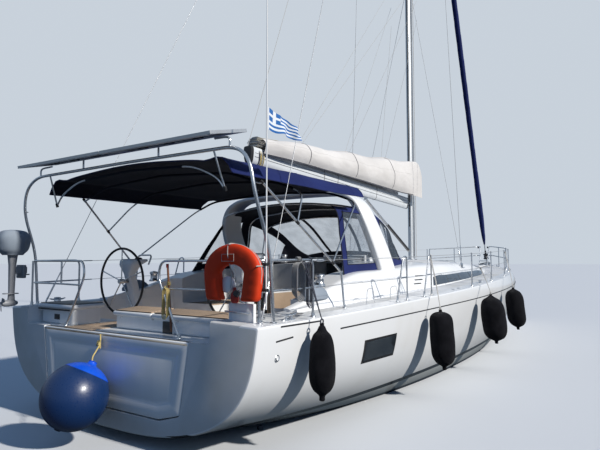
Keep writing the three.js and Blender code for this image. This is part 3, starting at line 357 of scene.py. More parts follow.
def metal_finish(name, color, roughness, tint, scratch=0.25):
    made, tree, shader = finish(name, color, roughness, 1.0)
    worn = use(tree, weathering, cloud_size=6.0, grain_size=240.0)
    freckles = maths(tree, "MULTIPLY", worn["Streak"], 0.5)
    feed(tree, shader, base_color=mixed(tree, freckles, (*color, 1), (*tint, 1)))
    feed(tree, shader, roughness=spread(tree, worn["Grain"], 0.3, 0.7, roughness * 0.7, roughness * 1.5))
    bump(tree, shader, worn["Grain"], scratch, 0.0006)
    return made


steel = metal_finish("stainless", (0.7, 0.71, 0.73), 0.24, (0.4, 0.34, 0.27))
wire_steel = metal_finish("wire", (0.42, 0.43, 0.45), 0.6, (0.36, 0.33, 0.3))
spar_metal = metal_finish("anodised_spar", (0.66, 0.68, 0.7), 0.42, (0.36, 0.37, 0.38), 0.1)
bronze = metal_finish("bronze", (0.4, 0.31, 0.16), 0.38, (0.12, 0.2, 0.15))


def painted_finish(name, color, roughness, wear=(0.2, 0.2, 0.2)):
    """Paint or moulded plastic, scuffed here and there."""
    made, tree, shader = finish(name, color, roughness)
    worn = use(tree, weathering, cloud_size=9.0, grain_size=160.0)
    scuffs = maths(tree, "MULTIPLY", worn["Streak"], 0.35)
    feed(tree, shader, base_color=mixed(tree, scuffs, (*color, 1), (*wear, 1)))
    feed(tree, shader, roughness=spread(tree, worn["Grain"], 0.3, 0.7, roughness - 0.06, roughness + 0.12))
    bump(tree, shader, worn["Grain"], 0.12, 0.0008)
    return made


black_plastic = painted_finish("black_plastic", (0.014, 0.014, 0.016), 0.42, (0.07, 0.07, 0.07))
grey_plastic = painted_finish("grey_plastic", (0.24, 0.25, 0.27), 0.45, (0.12, 0.12, 0.12))
boom_paint = painted_finish("anodised_boom", (0.66, 0.69, 0.71), 0.42, (0.5, 0.53, 0.55))
white_plastic = painted_finish("white_plastic", (0.74, 0.75, 0.76), 0.38, (0.5, 0.48, 0.44))
red_plastic = painted_finish("red_plastic", (0.36, 0.02, 0.012), 0.5, (0.2, 0.03, 0.02))
leather = painted_finish("wheel_leather", (0.018, 0.018, 0.02), 0.55, (0.06, 0.055, 0.05))
varnish = painted_finish("varnished_pole", (0.2, 0.075, 0.03), 0.35, (0.1, 0.05, 0.03))
print("metals and plastics ready")

# %% [markdown]
# ## Cloth, vinyl, rope and wood
# Marine canvas is a dull dye with a faint sheen where light grazes it. The weave is finer than a pixel from
# the shore, but it shows in close views. Clear vinyl bends light a little and carries faint ripples.
# %% Soft finishes


def cloth_finish(name, color, pale, roughness=0.85, threads=260.0, sheen=0.06):
    made, tree, shader = finish(name, color, roughness, sheen_weight=sheen, sheen_roughness=0.5)
    shader.inputs["Specular IOR Level"].default_value = 0.2
    threads_out = use(tree, weave, threads=threads)
    feed(tree, shader, base_color=mixed(tree, threads_out["Fade"], (*color, 1), (*pale, 1)))
    bump(tree, shader, threads_out["Height"], 0.35, 0.0012)
    return made


canvas = cloth_finish("canvas", (0.005, 0.0115, 0.078), (0.009, 0.018, 0.108))
# Near-black cloth: real black binding at the sprayhood's seams, and painted shade on the inner side of the
# sprayhood and bimini and on the hoop sleeves.
black_binding_and_painted_shade = cloth_finish("canvas_lining", (0.004, 0.005, 0.012), (0.007, 0.009, 0.02), sheen=0.05)
sail_cloth = cloth_finish("bag_cloth", (0.66, 0.64, 0.62), (0.56, 0.54, 0.52), 0.8, 220.0)
sail_fold = cloth_finish("folded_sail", (0.56, 0.55, 0.5), (0.4, 0.38, 0.33), 0.7, 300.0)
strap_cloth = cloth_finish("strap_web", (0.16, 0.16, 0.17), (0.1, 0.1, 0.11), 0.8, 420.0)
cowl_cloth = cloth_finish("engine_cover", (0.2, 0.24, 0.29), (0.26, 0.3, 0.35), 0.75, 240.0)


def vinyl_finish():
    """Clear sheet that one looks through, with a shine and a slight haze."""
    made, tree, shader = finish("clear_vinyl", (0.2, 0.25, 0.31), 0.08, alpha=0.25, coat_weight=0.3)
    ripple = node(
        tree, "TexNoise", {"Vector": node(tree, "TexCoord").outputs["Object"], "Scale": 5.0, "Detail": 1.0},
    )
    bump(tree, shader, ripple.outputs[0], 0.35, 0.02)
    feed(
        tree, shader,
        base_color=mixed(tree, ripple.outputs[0], (0.22, 0.27, 0.33, 1), (0.15, 0.19, 0.25, 1)),
    )
    feed(tree, shader, alpha=spread(tree, ripple.outputs[0], 0.35, 0.65, 0.12, 0.2))
    return made


def rope_finish(name, color, fleck):
    made, tree, shader = finish(name, color, 0.8, sheen_weight=0.15)
    strands = use(tree, braid, strands=150.0)["Height"]
    feed(tree, shader, base_color=mixed(tree, strands, (*fleck, 1), (*color, 1)))
    bump(tree, shader, strands, 0.6, 0.002)
    return made


def teak_finish(name, width, turn):
    made, tree, shader = finish(name, (0.4, 0.28, 0.18), 0.68)
    laid = use(tree, planks, width=width, turn=turn)
    wood = mixed(tree, laid["Grain"], (0.36, 0.25, 0.165, 1), (0.56, 0.43, 0.31, 1))
    toned = mixed(tree, maths(tree, "MULTIPLY", laid["Tone"], 0.45), wood, (0.3, 0.22, 0.16, 1))
    feed(tree, shader, base_color=mixed(tree, laid["Caulk"], toned, (0.02, 0.018, 0.016, 1)))
    deep = maths(tree, "SUBTRACT", laid["Grain"], laid["Caulk"])
    bump(tree, shader, deep, 0.35, 0.002)
    return made


clear_vinyl = vinyl_finish()
white_rope = rope_finish("white_rope", (0.5, 0.49, 0.46), (0.3, 0.29, 0.27))
grey_rope = rope_finish("grey_rope", (0.27, 0.27, 0.27), (0.1, 0.1, 0.11))
yellow_rope = rope_finish("yellow_rope", (0.6, 0.47, 0.17), (0.4, 0.28, 0.08))
dark_rope = rope_finish("dark_rope", (0.04, 0.045, 0.07), (0.015, 0.015, 0.02))
teak_across = teak_finish("teak_across", 0.052, 1.0)
teak_along = teak_finish("teak_along", 0.048, 0.0)


def acrylic_finish():
    made, tree, shader = finish(
        "smoked_acrylic", (0.02, 0.026, 0.032), 0.06, coat_weight=0.6, coat_roughness=0.03,
    )
    worn = use(tree, weathering, cloud_size=3.0, grain_size=300.0)
    feed(
        tree, shader,
        base_color=mixed(tree, worn["Stain"], (0.016, 0.021, 0.027, 1), (0.035, 0.042, 0.048, 1)),
    )
    feed(tree, shader, roughness=spread(tree, worn["Grain"], 0.3, 0.7, 0.04, 0.12))
    return made


def knit_finish():
    made, tree, shader = finish("fender_knit", (0.006, 0.006, 0.008), 0.95, sheen_weight=0.03)
    shader.inputs["Specular IOR Level"].default_value = 0.12
    strands = use(tree, braid, strands=55.0)["Height"]
    worn = use(tree, weathering, cloud_size=7.0)
    feed(
        tree, shader,
        base_color=mixed(tree, worn["Stain"], (0.004, 0.004, 0.006, 1), (0.01, 0.01, 0.013, 1)),
    )
    bump(tree, shader, strands, 0.7, 0.006)
    return made


def ball_finish(name, color, pale):
    made, tree, shader = finish(name, color, 0.34, coat_weight=0.25, coat_roughness=0.2)
    worn = use(tree, weathering, cloud_size=5.0, streak_size=8.0, grain_size=70.0)
    feed(
        tree, shader,
        base_color=mixed(tree, maths(tree, "MULTIPLY", worn["Streak"], 0.5), (*color, 1), (*pale, 1)),
    )
    feed(tree, shader, roughness=spread(tree, worn["Grain"], 0.3, 0.7, 0.25, 0.5))
    bump(tree, shader, worn["Grain"], 0.15, 0.003)
    return made


def foam_cover_finish():
    made, tree, shader = finish("lifebuoy_cover", (0.62, 0.035, 0.006), 0.6)
    shader.inputs["Specular IOR Level"].default_value = 0.25
    threads_out = use(tree, weave, threads=180.0, fade_size=4.0)
    feed(
        tree, shader,
        base_color=mixed(tree, threads_out["Fade"], (0.6, 0.034, 0.005, 1), (0.68, 0.05, 0.009, 1)),
    )
    bump(tree, shader, threads_out["Height"], 0.2, 0.0015)
    return made


smoked_acrylic = acrylic_finish()
knit = knit_finish()
ball_vinyl = ball_finish("ball_vinyl", (0.004, 0.024, 0.095), (0.02, 0.05, 0.14))
# The cap's bright blue is painted sunlight on the ball's top.
painted_sunlit_cap = ball_finish("ball_cap_vinyl", (0.003, 0.08, 0.62), (0.02, 0.13, 0.62))
foam_cover = foam_cover_finish()
print("materials", len(bpy.data.materials))

# %% [markdown]
# ## Tools for shapes
# Every shape is built from points in metres, with X measured forward from the transom as a boatbuilder
# does. A Shape collects tubes, skins and blocks, each with a number for its finish, and becomes one piece.
# %% Curves through points


def smooth_row(rows, x):
    """Reads a table of stations at x, along smooth curves through its rows."""
    table = np.array(rows, float)
    xs = table[:, 0]
    i = int(np.clip(np.searchsorted(xs, x) - 1, 0, len(xs) - 2))
    slopes = np.gradient(table, xs, axis=0)
    step = xs[i + 1] - xs[i]
    t = (x - xs[i]) / step
    start = (2 * t**3 - 3 * t**2 + 1) * table[i] + (t**3 - 2 * t**2 + t) * step * slopes[i]
    return start + (3 * t**2 - 2 * t**3) * table[i + 1] + (t**3 - t**2) * step * slopes[i + 1]


def flowing(points, count):
    """A smooth line through given points, with evenly shared steps."""
    table = [(i, *p) for i, p in enumerate(points)]
    return [tuple(smooth_row(table, t)[1:]) for t in np.linspace(0, len(points) - 1, count)]


def rounded(points, bend, steps=5):
    """Rounds each inner corner of a list of points."""
    points = [Vector(p) for p in points]
    if bend <= 0:
        return points
    out = [points[0]]
    for before, corner, after in zip(points, points[1:], points[2:]):
        back, on = before - corner, after - corner
        start = corner + back.normalized() * min(bend, back.length * 0.48)
        end = corner + on.normalized() * min(bend, on.length * 0.48)
        for i in range(steps + 1):
            t = i / steps
            out.append(start * (1 - t) ** 2 + corner * 2 * t * (1 - t) + end * t**2)
    return [*out, points[-1]]


def mirrored(points):
    return [(x, -y, z) for x, y, z in points]


def both_ways(half):
    """A line from port to the middle, carried on to starboard."""
    return [*half, *mirrored(half[-2::-1])]


def facing(points, side):
    """Points of the port side, on the side asked for."""
    return [(x, side * y, z) for x, y, z in points]


def circle(count):
    return [2 * math.pi * k / count for k in range(count)]


def hoop(middle, one, two, count):
    """A closed line of points about a middle, reaching out by two vectors."""
    one, two = Vector(one), Vector(two)
    return [
        Vector(middle) + one * math.cos(a) + two * math.sin(a) for a in np.linspace(0, 2 * math.pi, count)
    ]


def soft_box_ring(middle, half_a, half_b, power=4.5, count=28):
    """A ring like a rectangle with soft corners, about a middle point, along two half-edges."""
    ring = []
    for a in circle(count):
        u = math.copysign(abs(math.cos(a)) ** (2 / power), math.cos(a))
        v = math.copysign(abs(math.sin(a)) ** (2 / power), math.sin(a))
        ring.append(Vector(middle) + Vector(half_a) * u + Vector(half_b) * v)
    return ring


def level_ring(middle, long, wide, power=4.5, count=28):
    """The same, lying level, from its half-length and half-width."""
    return soft_box_ring(middle, (long, 0, 0), (0, wide, 0), power, count)


def headings(path):
    """The way a line runs at each of its points, from the point before to the point after."""
    path = [Vector(p) for p in path]
    return [b - a for a, b in zip([path[0], *path], [*path[1:], path[-1]])]


# %% Shape
class Shape:
    """Collects points and faces in metres from the transom."""

    def __init__(self):
        self.points, self.faces, self.marks = [], [], []

    def add(self, points, faces, mark=0):
        start = len(self.points)
        self.points.extend(tuple(p) for p in points)
        self.faces.extend(tuple(start + i for i in face) for face in faces)
        self.marks.extend(mark if isinstance(mark, list) else [mark] * len(faces))
        return self

    def skin(self, rings, mark=0, loop=True, ends=True):
        """A skin over rings of equal length. A list of marks gives each strip its own finish."""
        count = len(rings[0])
        faces = []
        for r in range(len(rings) - 1):
            for i in range(count if loop else count - 1):
                a, b = r * count + i, r * count + (i + 1) % count
                faces.append((a, b, b + count, a + count))
        if ends:
            last = (len(rings) - 1) * count
            faces += [tuple(range(count))[::-1], tuple(range(last, last + count))]
        if isinstance(mark, list):
            mark = mark * (len(rings) - 1) + [mark[-1]] * (2 if ends else 0)
        return self.add([p for ring in rings for p in ring], faces, mark)

    def pipe(self, points, radius, mark=0, sides=10, bend=0.0, squash=1.0, steps=5):
        """A round bar along a line. The radius may be one number or one for each point."""
        path = rounded(points, bend, steps)
        radii = [radius] * len(path) if isinstance(radius, (int, float)) else radius
        ahead = [way.normalized() for way in headings(path)]
        side = ahead[0].orthogonal().normalized()
        if abs(ahead[0].z) < 0.9:
            side = ahead[0].cross(Vector((0, 0, 1))).normalized()
        rings = []
        for place, way, r in zip(path, ahead, radii):
            side = (side - way * side.dot(way)).normalized()
            up = way.cross(side)
            rings.append(
                [place + side * r * math.cos(a) + up * r * squash * math.sin(a) for a in circle(sides)]
            )
        return self.skin(rings, mark)

    def block(self, low, high, mark=0, edge=0.008, steps=2, turn=None):
        """A box between two corners, with rounded edges. A turn is a matrix about its middle."""
        mesh = bmesh.new()
        bmesh.ops.create_cube(mesh, size=1.0)
        size, middle = Vector(high) - Vector(low), (Vector(high) + Vector(low)) / 2
        for vertex in mesh.verts:
            vertex.co = Vector(c * s for c, s in zip(vertex.co, size))
        edge = min(edge, min(size) * 0.45)
        bmesh.ops.bevel(mesh, geom=mesh.edges[:], offset=edge, segments=steps, affect="EDGES", profile=0.5)
        mesh.verts.index_update()
        turn = turn or Matrix.Identity(3)
        self.add(
            [turn @ v.co + middle for v in mesh.verts], [[v.index for v in f.verts] for f in mesh.faces],
            mark,
        )
        mesh.free()
        return self

    def turned(self, profile, foot, mark=0, sides=24, way=(0, 0, 1)):
        """A round body about a line from foot, from pairs of radius and distance along the line."""
        turn = Vector((0, 0, 1)).rotation_difference(Vector(way))
        rings = []
        for r, h in profile:
            ring = [Vector((r * math.cos(a), r * math.sin(a), h)) for a in circle(sides)]
            rings.append([Vector(foot) + turn @ p for p in ring])
        return self.skin(rings, mark)

    def blocks(self, *rows):
        """Several boxes, each as the values of a block."""
        for row in rows:
            self.block(*row)
        return self

    def slab(self, outline, thickness, mark, edge, axis):
        """A flat plate from an outline in metres, thickened along one axis, with its edges eased."""
        points = [Vector(p) for p in outline]
        middle = sum(points, Vector()) / len(points)
        lift = Vector([thickness if k == axis else 0 for k in range(3)])
        inner = [p + (middle - p).normalized() * edge for p in points]
        ease = lift * (edge / thickness)
        low, high = [p + ease for p in points], [p + lift - ease for p in points]
        return self.skin([inner, low, high, [p + lift for p in inner]], mark)


def piece_mesh(name, shape, finishes):
    """Makes a Shape a Blender object, with its marks as places in a list of finishes."""
    mesh = bpy.data.meshes.new(name)
    mesh.from_pydata([(x + TRANSOM, y, z) for x, y, z in shape.points], [], shape.faces)
    mesh.polygons.foreach_set("material_index", shape.marks)
    tidy = bmesh.new()
    tidy.from_mesh(mesh)
    bmesh.ops.remove_doubles(tidy, verts=tidy.verts, dist=1e-5)
    bmesh.ops.recalc_face_normals(tidy, faces=tidy.faces)
    tidy.to_mesh(mesh)
    tidy.free()
    for one in finishes:
        mesh.materials.append(one)
    made = bpy.data.objects.new(name, mesh)
    bpy.context.scene.collection.objects.link(made)
    return made


def dressed(made, body, replaces=(), crease=38):
    made.data.shade_smooth()
    made.data.set_sharp_from_angle(angle=math.radians(crease))
    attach(made, body)
    if replaces:
        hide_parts(*replaces)
    print(made.name, len(made.data.polygons), "faces")
    return made


def piece(name, shape, body, finishes, replaces=(), crease=38):
    """A Shape as a finished piece, which rides on a body and takes its finish from a slot."""
    return dressed(piece_mesh(name, shape, finishes), body, replaces, crease)


# %% [markdown]
# ## Hull
# The hull is one moulding of glass cloth in resin, and the deck with its cockpit is another, glued on top.
# Both could be sculpted, but a hull is drawn by its lines. So each section comes from one formula of
# beam, depth and fullness, with values that flow from station to station, and the wells are cut out after.
# %% Lines
SHEER_AFT, SHEER_RISE, HULL_LENGTH, SHEER_POWER = 1.409, 0.476, 15.45, 1.3
DECK_CAMBER = 0.045
STEM_RAKE = 0.33
EDGE = 0.028
FULL_BEAM = 2.352
# Columns: from transom, half-beam, bottom, bilge, depth, flare, rake share, swell.
HULL_STATIONS = [
    (0.0, 2.19, 0.12, 2.6, 3.4, 0.08, 0, 0),
    (0.8, 2.238, 0.02, 2.6, 3.4, 0.08, 0, 0),
    (1.7, 2.282, -0.11, 2.6, 3.4, 0.08, 0, 0),
    (3.0, 2.33, -0.285, 2.6, 3.3, 0.08, 0, 0),
    (4.5, 2.355, -0.45, 2.6, 3.2, 0.08, 0, 0.01),
    (6.0, 2.352, -0.56, 2.5, 3.1, 0.08, 0, 0.025),
    (7.7, 2.29, -0.62, 2.45, 3.0, 0.09, 0, 0.05),
    (9.4, 2.14, -0.6, 2.3, 2.9, 0.1, 0, 0.09),
    (11.0, 1.885, -0.515, 2.0, 2.6, 0.11, 0, 0.135),
    (12.47, 1.55, -0.405, 1.75, 2.35, 0.12, 0.06, 0.14),
    (13.62, 1.165, -0.305, 1.6, 2.2, 0.13, 0.25, 0.125),
    (14.56, 0.7, -0.22, 1.5, 2.1, 0.14, 0.6, 0.09),
    (15.14, 0.31, -0.165, 1.45, 2.0, 0.14, 0.88, 0.045),
    (15.45, 0.032, -0.12, 1.4, 2.0, 0.14, 1, 0),
]


def sheer(x):
    return SHEER_AFT + SHEER_RISE * (max(x, 0) / HULL_LENGTH) ** SHEER_POWER


def half_beam(x):
    return smooth_row(HULL_STATIONS, x)[1]


def deck(x, share=1.0):
    """Height of the deck at a share of the half-beam from the middle."""
    return sheer(x) + DECK_CAMBER * half_beam(x) / FULL_BEAM * (1 - share**2)


def side_point(x, share):
    """A point of the hull's side, at a share of its depth below the deck."""
    _, beam, bottom, bilge, depth, flare, rake, swell = smooth_row(HULL_STATIONS, x)
    out = beam + swell * (1 - (1 - min(share / 0.15, 1)) ** 2)
    y = out * (1 - flare * share) * max(1 - share**depth, 0) ** (1 / bilge)
    return x - STEM_RAKE * rake * share, y, sheer(x) - (sheer(x) - bottom) * share


def hull_at(x, z, off=0.0):
    """The port point of the hull's side at a place along it and a height, a little way off it."""
    row = smooth_row(HULL_STATIONS, x)
    share = (sheer(x) - z) / (sheer(x) - row[2])
    station = x + STEM_RAKE * row[6] * share
    return x, side_point(station, share)[1] + off, z


def hull_ring(x, inset=0.0):
    beam, bottom = smooth_row(HULL_STATIONS, x)[1:3]
    edge = min(EDGE, beam * 0.4)
    start = edge / (sheer(x) - bottom)
    half = [(x, beam * k, deck(x, k)) for k in (0, 0.25, 0.5, 0.72, 0.9)]
    half.append((x, beam - 2.6 * edge, deck(x, 1 - 2.6 * edge / beam)))
    inner, corner = Vector((x, beam - edge, sheer(x))), Vector((x, beam, sheer(x)))
    outer = Vector(side_point(x, start))
    for t in (0, 0.25, 0.5, 0.75):
        half.append(tuple(inner * (1 - t) ** 2 + corner * 2 * t * (1 - t) + outer * t**2))
    shares = 1 - (1 - start) * (1 - np.linspace(0, 1, 27)) ** 2.2
    half += [side_point(x, share) for share in shares]
    ring = half + mirrored(half[-2:0:-1])
    if not inset:
        return ring
    middle, high = (sheer(x) + bottom) / 2, (sheer(x) - bottom) / 2
    narrow, low = 1 - inset / beam, 1 - inset / high
    return [(px, y * narrow, middle + (z - middle) * low) for px, y, z in ring]


print("sheer at the bow", round(sheer(HULL_LENGTH), 3))

# %% [markdown]
# Wells are cut with rounded blocks, because a moulding can't have a sharp inside corner: the mould has to
# let go of it. The cut surfaces keep the block's finish, so the cockpit stays smooth while decks are gritty.
# %% Cutting tool


def carved(made, cutters):
    """Cuts shapes out of a piece, one after another, and keeps the result as its mesh."""
    tools = [piece_mesh(f"cut_{i}", cut, made.data.materials) for i, cut in enumerate(cutters)]
    for tool in tools:
        step = made.modifiers.new(tool.name, "BOOLEAN")
        step.operation, step.solver, step.object = "DIFFERENCE", "EXACT", tool
    settle(made)
    for tool in tools:
        bpy.data.objects.remove(tool)


def well_cutter(low, high, edge):
    return Shape().block(low, high, 1, edge, 3)


def settle(made):
    """Applies the modifiers of a piece."""
    view = bpy.context.evaluated_depsgraph_get()
    mesh = bpy.data.meshes.new_from_object(made.evaluated_get(view))
    made.modifiers.clear()
    made.data = mesh


SOLE, OPEN_TOP = 0.85, 3.0
# Columns: low corner, high corner, edge.
WELLS = [
    ((-0.2, -1.57, 1.2), (0.86, 1.77, OPEN_TOP), 0.035),
    ((0.85, -1.64, SOLE), (1.51, 1.64, OPEN_TOP), 0.06),
    ((1.5, -1.5, SOLE), (2.31, 1.5, OPEN_TOP), 0.06),
    ((2.3, -1.28, 1.33), (4.75, 1.28, OPEN_TOP), 0.05),
    ((2.3, -0.62, SOLE), (4.75, 0.62, OPEN_TOP), 0.05),
    ((4.74, -0.36, 1.0), (5.42, 0.36, OPEN_TOP), 0.03),
]
LOCKER_WELL = ((13.65, -0.33, 1.5), (14.45, 0.33, OPEN_TOP), 0.03)
print("wells", len(WELLS) + 1)

# %% Hull shell
hull_xs = [0.006, 0.022, *np.linspace(0.12, 15.3, 74), HULL_LENGTH]
rings = [hull_ring(0.0, 0.024), *[hull_ring(x, 0.008 if x < 0.01 else 0.0) for x in hull_xs]]
deck_strips = [2, 2, 2, 2, 1, 1] + [0] * 30
hull_shape = Shape().skin(rings, (deck_strips + deck_strips[::-1])[: len(rings[0])])
hull = piece_mesh("hull_shell", hull_shape, [hull_paint, gelcoat, nonskid])
carved(hull, [well_cutter(*well) for well in (*WELLS, LOCKER_WELL)])

# Columns: sideways, height of the recess that the platform folds into, from port foot to starboard top.
RECESS = [
    (-1.286, 3.0), (-1.286, 1.19), (-1.16, 0.43), (-0.834, 0.334), (0.924, 0.334), (1.25, 0.43),
    (1.376, 1.19), (1.376, 3.0),
]
recess_points = [p.yz for p in rounded([(0, y, z) for y, z in RECESS], 0.035, 3)]
carved(hull, [Shape().skin([[(x, *p) for p in recess_points] for x in (-0.1, 0.08)], 1)])
dressed(hull, "root", ["hull"], 30)

# %% [markdown]
# ## Transom platform
# The middle of the transom is a door that folds down into a bathing platform. A black ring fills the gap
# round it as painted shade, its face has a shallow pressed border, and its top edge is a broad lip that the
# sun picks out.
# %% Platform
PLATFORM = [(-1.278, 1.19), (-1.15, 0.435), (-0.83, 0.35), (0.92, 0.35), (1.24, 0.435), (1.368, 1.19)]


def scaled(outline, inset):
    """The outline moved in by a distance all round."""
    points = [Vector(p) for p in outline]
    moved = []
    for before, p, after in zip(points[-1:] + points[:-1], points, points[1:] + points[:1]):
        one, two = (p - before).normalized(), (after - p).normalized()
        normal = (Vector((-one.y, one.x)) + Vector((-two.y, two.x))).normalized()
        moved.append(p + normal * inset / max(normal.dot(Vector((-one.y, one.x))), 0.4))
    return [tuple(p) for p in moved]


def plate_ring(inset, x):
    """The platform's outline at an inset, upright at a place along the boat, with its corners rounded."""
    loop = [(x, y, z) for y, z in scaled(PLATFORM, inset)]
    middle = tuple((np.array(loop[0]) + np.array(loop[-1])) / 2)
    return rounded([middle, *loop, middle], 0.03, 3)


platform = Shape()
steps_in = [
    (0.0, 0.06), (0.0, 0.012), (0.004, 0.004), (0.012, 0.0), (0.13, 0.0), (0.14, 0.004), (0.19, 0.004),
    (0.2, 0.0015),
]
platform.skin([plate_ring(inset, x + 0.001) for inset, x in steps_in], 0)
platform.block((0.001, -1.275, 1.146), (0.064, 1.365, 1.192), 0, 0.012, 3)
for y in (-0.95, 1.03):
    platform.block((0.06, y - 0.07, 0.37), (0.075, y + 0.07, 0.44), 1, 0.004)
piece("platform_panel", platform, "platform", [gelcoat, steel], ["transom_platform"], 30)
# A black ring in the gap round the door: painted shade of the gap.
gap_shade_rings = [plate_ring(*step) for step in ((-0.007, 0.03), (-0.007, 0.05), (0.01, 0.05), (0.01, 0.03))]
gap_shade = Shape().skin([*gap_shade_rings, gap_shade_rings[0]], 0, ends=False)
piece("platform_gasket", gap_shade, "root", [black_plastic])

# %% [markdown]
# ## Hull windows and trim
# Each hull window is dark acrylic glued over an opening, in a thin black surround that leans with the
# stem. These lie on the hull's curve, so their outlines are laid on it point by point.
# %% Windows and lines on the topsides


def on_hull(shape, outline, off, side, mark):
    """A thin plate that follows the topsides, from an outline of places along and heights."""
    loop = []
    for (x0, z0), (x1, z1) in zip(outline, outline[1:] + outline[:1]):
        loop += [(x0 + (x1 - x0) * k / 6, z0 + (z1 - z0) * k / 6) for k in range(6)]
    middle = np.mean(loop, axis=0)
    rings = []
    for inset, out in ((0.0, -0.01), (0.0, off * 0.7), (0.003, off)):
        moved = [np.array(p) + (middle - p) / np.linalg.norm(middle - p) * inset for p in loop]
        rings.append(facing([hull_at(p[0], p[1], out) for p in moved], side))
    centre = hull_at(*middle, off)
    start = len(shape.points)
    shape.skin(rings, mark, ends=False)
    last = start + 2 * len(loop)
    fan = [(last + i, last + (i + 1) % len(loop), start + 3 * len(loop)) for i in range(len(loop))]
    shape.points.append((centre[0], side * centre[1], centre[2]))
    shape.faces.extend(fan)
    shape.marks.extend([mark] * len(fan))


HULL_WINDOW = [(2.03, 1.055), (2.905, 1.055), (2.915, 0.75), (2.055, 0.756)]
WINDOW_GLASS = [(2.068, 1.025), (2.87, 1.025), (2.878, 0.782), (2.09, 0.787)]
# Columns: from transom, height, of the dark line under the deck edge.
STYLING_LINE = [
    (1.425, 1.263), (4.0, 1.3), (6.67, 1.337), (9.35, 1.395), (10.98, 1.435), (12.6, 1.482), (13.7, 1.52),
]
VENTS = [((0.334, 1.386), (1.013, 1.386)), ((0.285, 1.243), (0.547, 1.263))]
# Further windows forward, where a cabin lies behind the topsides. Columns: low aft corner, length, height.
MORE_WINDOWS = [(7.2, 0.9, 1.25, 0.2), (10.2, 0.98, 0.85, 0.18)]
trim = Shape()
for side in (-1, 1):
    on_hull(trim, HULL_WINDOW, 0.005, side, 0)
    on_hull(trim, WINDOW_GLASS, 0.0065, side, 1)
    for x, z, wide, high in MORE_WINDOWS:
        on_hull(
            trim, [(x, z), (x - 0.05, z + high), (x + wide - 0.05, z + high), (x + wide, z)], 0.005, side,
            0,
        )
    line = flowing([(x, 0, z) for x, z in STYLING_LINE], 50)
    trim.pipe(facing([hull_at(x, z, -0.003) for x, _, z in line], side), 0.0095, 0, 6)
    for (x0, z0), (x1, z1) in VENTS:
        points = [hull_at(x0 + (x1 - x0) * k / 4, z0 + (z1 - z0) * k / 4, -0.002) for k in range(5)]
        trim.pipe(facing(points, side), 0.009, 0, 6)
    x, y, z = hull_at(0.337, 1.079)
    trim.turned(
        [(0.036, -0.02), (0.036, 0.004), (0.03, 0.008), (0.022, 0.006), (0.02, -0.01)], (x, side * y, z), 2,
        20, (0, side, 0.06),
    )
piece("hull_trim", trim, "root", [black_plastic, smoked_acrylic, steel], crease=30)

# %% [markdown]
# ## Coachroof
# The coachroof and the cockpit coamings are one moulding that grows out of the deck in soft bends. Its
# sections are rounded at each corner and flow along the boat, and long windows lie flush in its sides.
# %% Roof
# Columns: from transom, half-width at the foot, half-width at the top, height at the side, at the middle.
ROOF_STATIONS = [
    (1.15, 1.84, 1.72, 1.48, 1.48),
    (1.9, 1.85, 1.7, 1.64, 1.64),
    (2.7, 1.85, 1.67, 1.835, 1.835),
    (4.0, 1.85, 1.64, 1.895, 1.925),
    (5.2, 1.82, 1.59, 1.96, 2.03),
    (7.0, 1.73, 1.46, 1.985, 2.065),
    (8.9, 1.56, 1.23, 1.985, 2.065),
    (10.6, 1.29, 0.94, 1.95, 2.02),
    (11.9, 0.96, 0.6, 1.88, 1.935),
    (12.7, 0.7, 0.33, 1.805, 1.835),
]


def roof_side(x):
    """The lower and the upper edge of the roof's flat side, as distances from the middle and heights."""
    _, foot, top, side, _ = smooth_row(ROOF_STATIONS, x)
    return (foot - 0.014, sheer(x) + 0.06), (top + 0.3 * (foot - top), side - 0.04)


def roof_ring(x):
    _, foot, top, side, middle = smooth_row(ROOF_STATIONS, x)
    low, high = roof_side(x)
    half = [
        (x, foot + 0.012, sheer(x) - 0.06),
        (x, foot, sheer(x) + 0.02),
        (x, *low),
        (x, *high),
        (x, top, side),
        (x, top * 0.5, side + 0.75 * (middle - side)),
        (x, 0, middle),
    ]
    return both_ways([tuple(p) for p in rounded(half, 0.045, 3)])


def roof_at(x, z, off=0.0):
    """The port point of the roof's side at a height."""
    (low_y, low_z), (high_y, high_z) = roof_side(x)
    share = (z - low_z) / (high_z - low_z)
    return x, low_y + (high_y - low_y) * share + off, z


def roof_height(x, y):
    """Height of the roof at a distance from the middle."""
    _, foot, top, side, middle = smooth_row(ROOF_STATIONS, x)
    out = abs(y) / top
    return float(np.interp(out, [0, 0.5, 1], [middle, side + 0.75 * (middle - side), side]))


roof_xs = [1.15, 1.16, 1.19, *np.linspace(1.3, 12.6, 66), 12.66, 12.7]
roof_shape = Shape().skin([roof_ring(x) for x in roof_xs], 0)
roof = piece_mesh("coachroof_moulding", roof_shape, [gelcoat, gelcoat, nonskid])
# Slightly wider than in the hull, so that no two faces lie in one plane.
WIDER = 0.004
ROOF_WELL_AFT, ROOF_WELL_LOW = 0.8, 1.0
roof_cutters = []
for low, high, edge in WELLS:
    low = (max(low[0], ROOF_WELL_AFT) - WIDER, low[1] - WIDER, ROOF_WELL_LOW)
    roof_cutters.append(well_cutter(low, (high[0] + WIDER, high[1] + WIDER, OPEN_TOP), edge))
carved(roof, roof_cutters)
dressed(roof, "root", ["coachroof"], 32)

# %% Roof windows, grooves and pads
# Columns: from transom, lower edge, upper edge of the long window in the roof's side.
ROOF_WINDOW = [
    (5.6, 1.585, 1.59),
    (5.68, 1.587, 1.66),
    (5.77, 1.59, 1.735),
    (5.9, 1.594, 1.75),
    (6.63, 1.612, 1.762),
    (7.9, 1.645, 1.785),
    (8.9, 1.675, 1.795),
    (10.1, 1.72, 1.8),
    (10.55, 1.77, 1.785),
]
WINDOW_BARS = (6.55, 7.45, 8.45)
# The sliding hatch clears its rails, so they stop short of its underside.
HATCH_RAIL_TOP = 2.05
VENT_SLOTS = ((4.9, 5.28, 1.772), (4.8, 5.16, 1.708), (4.7, 5.02, 1.645))


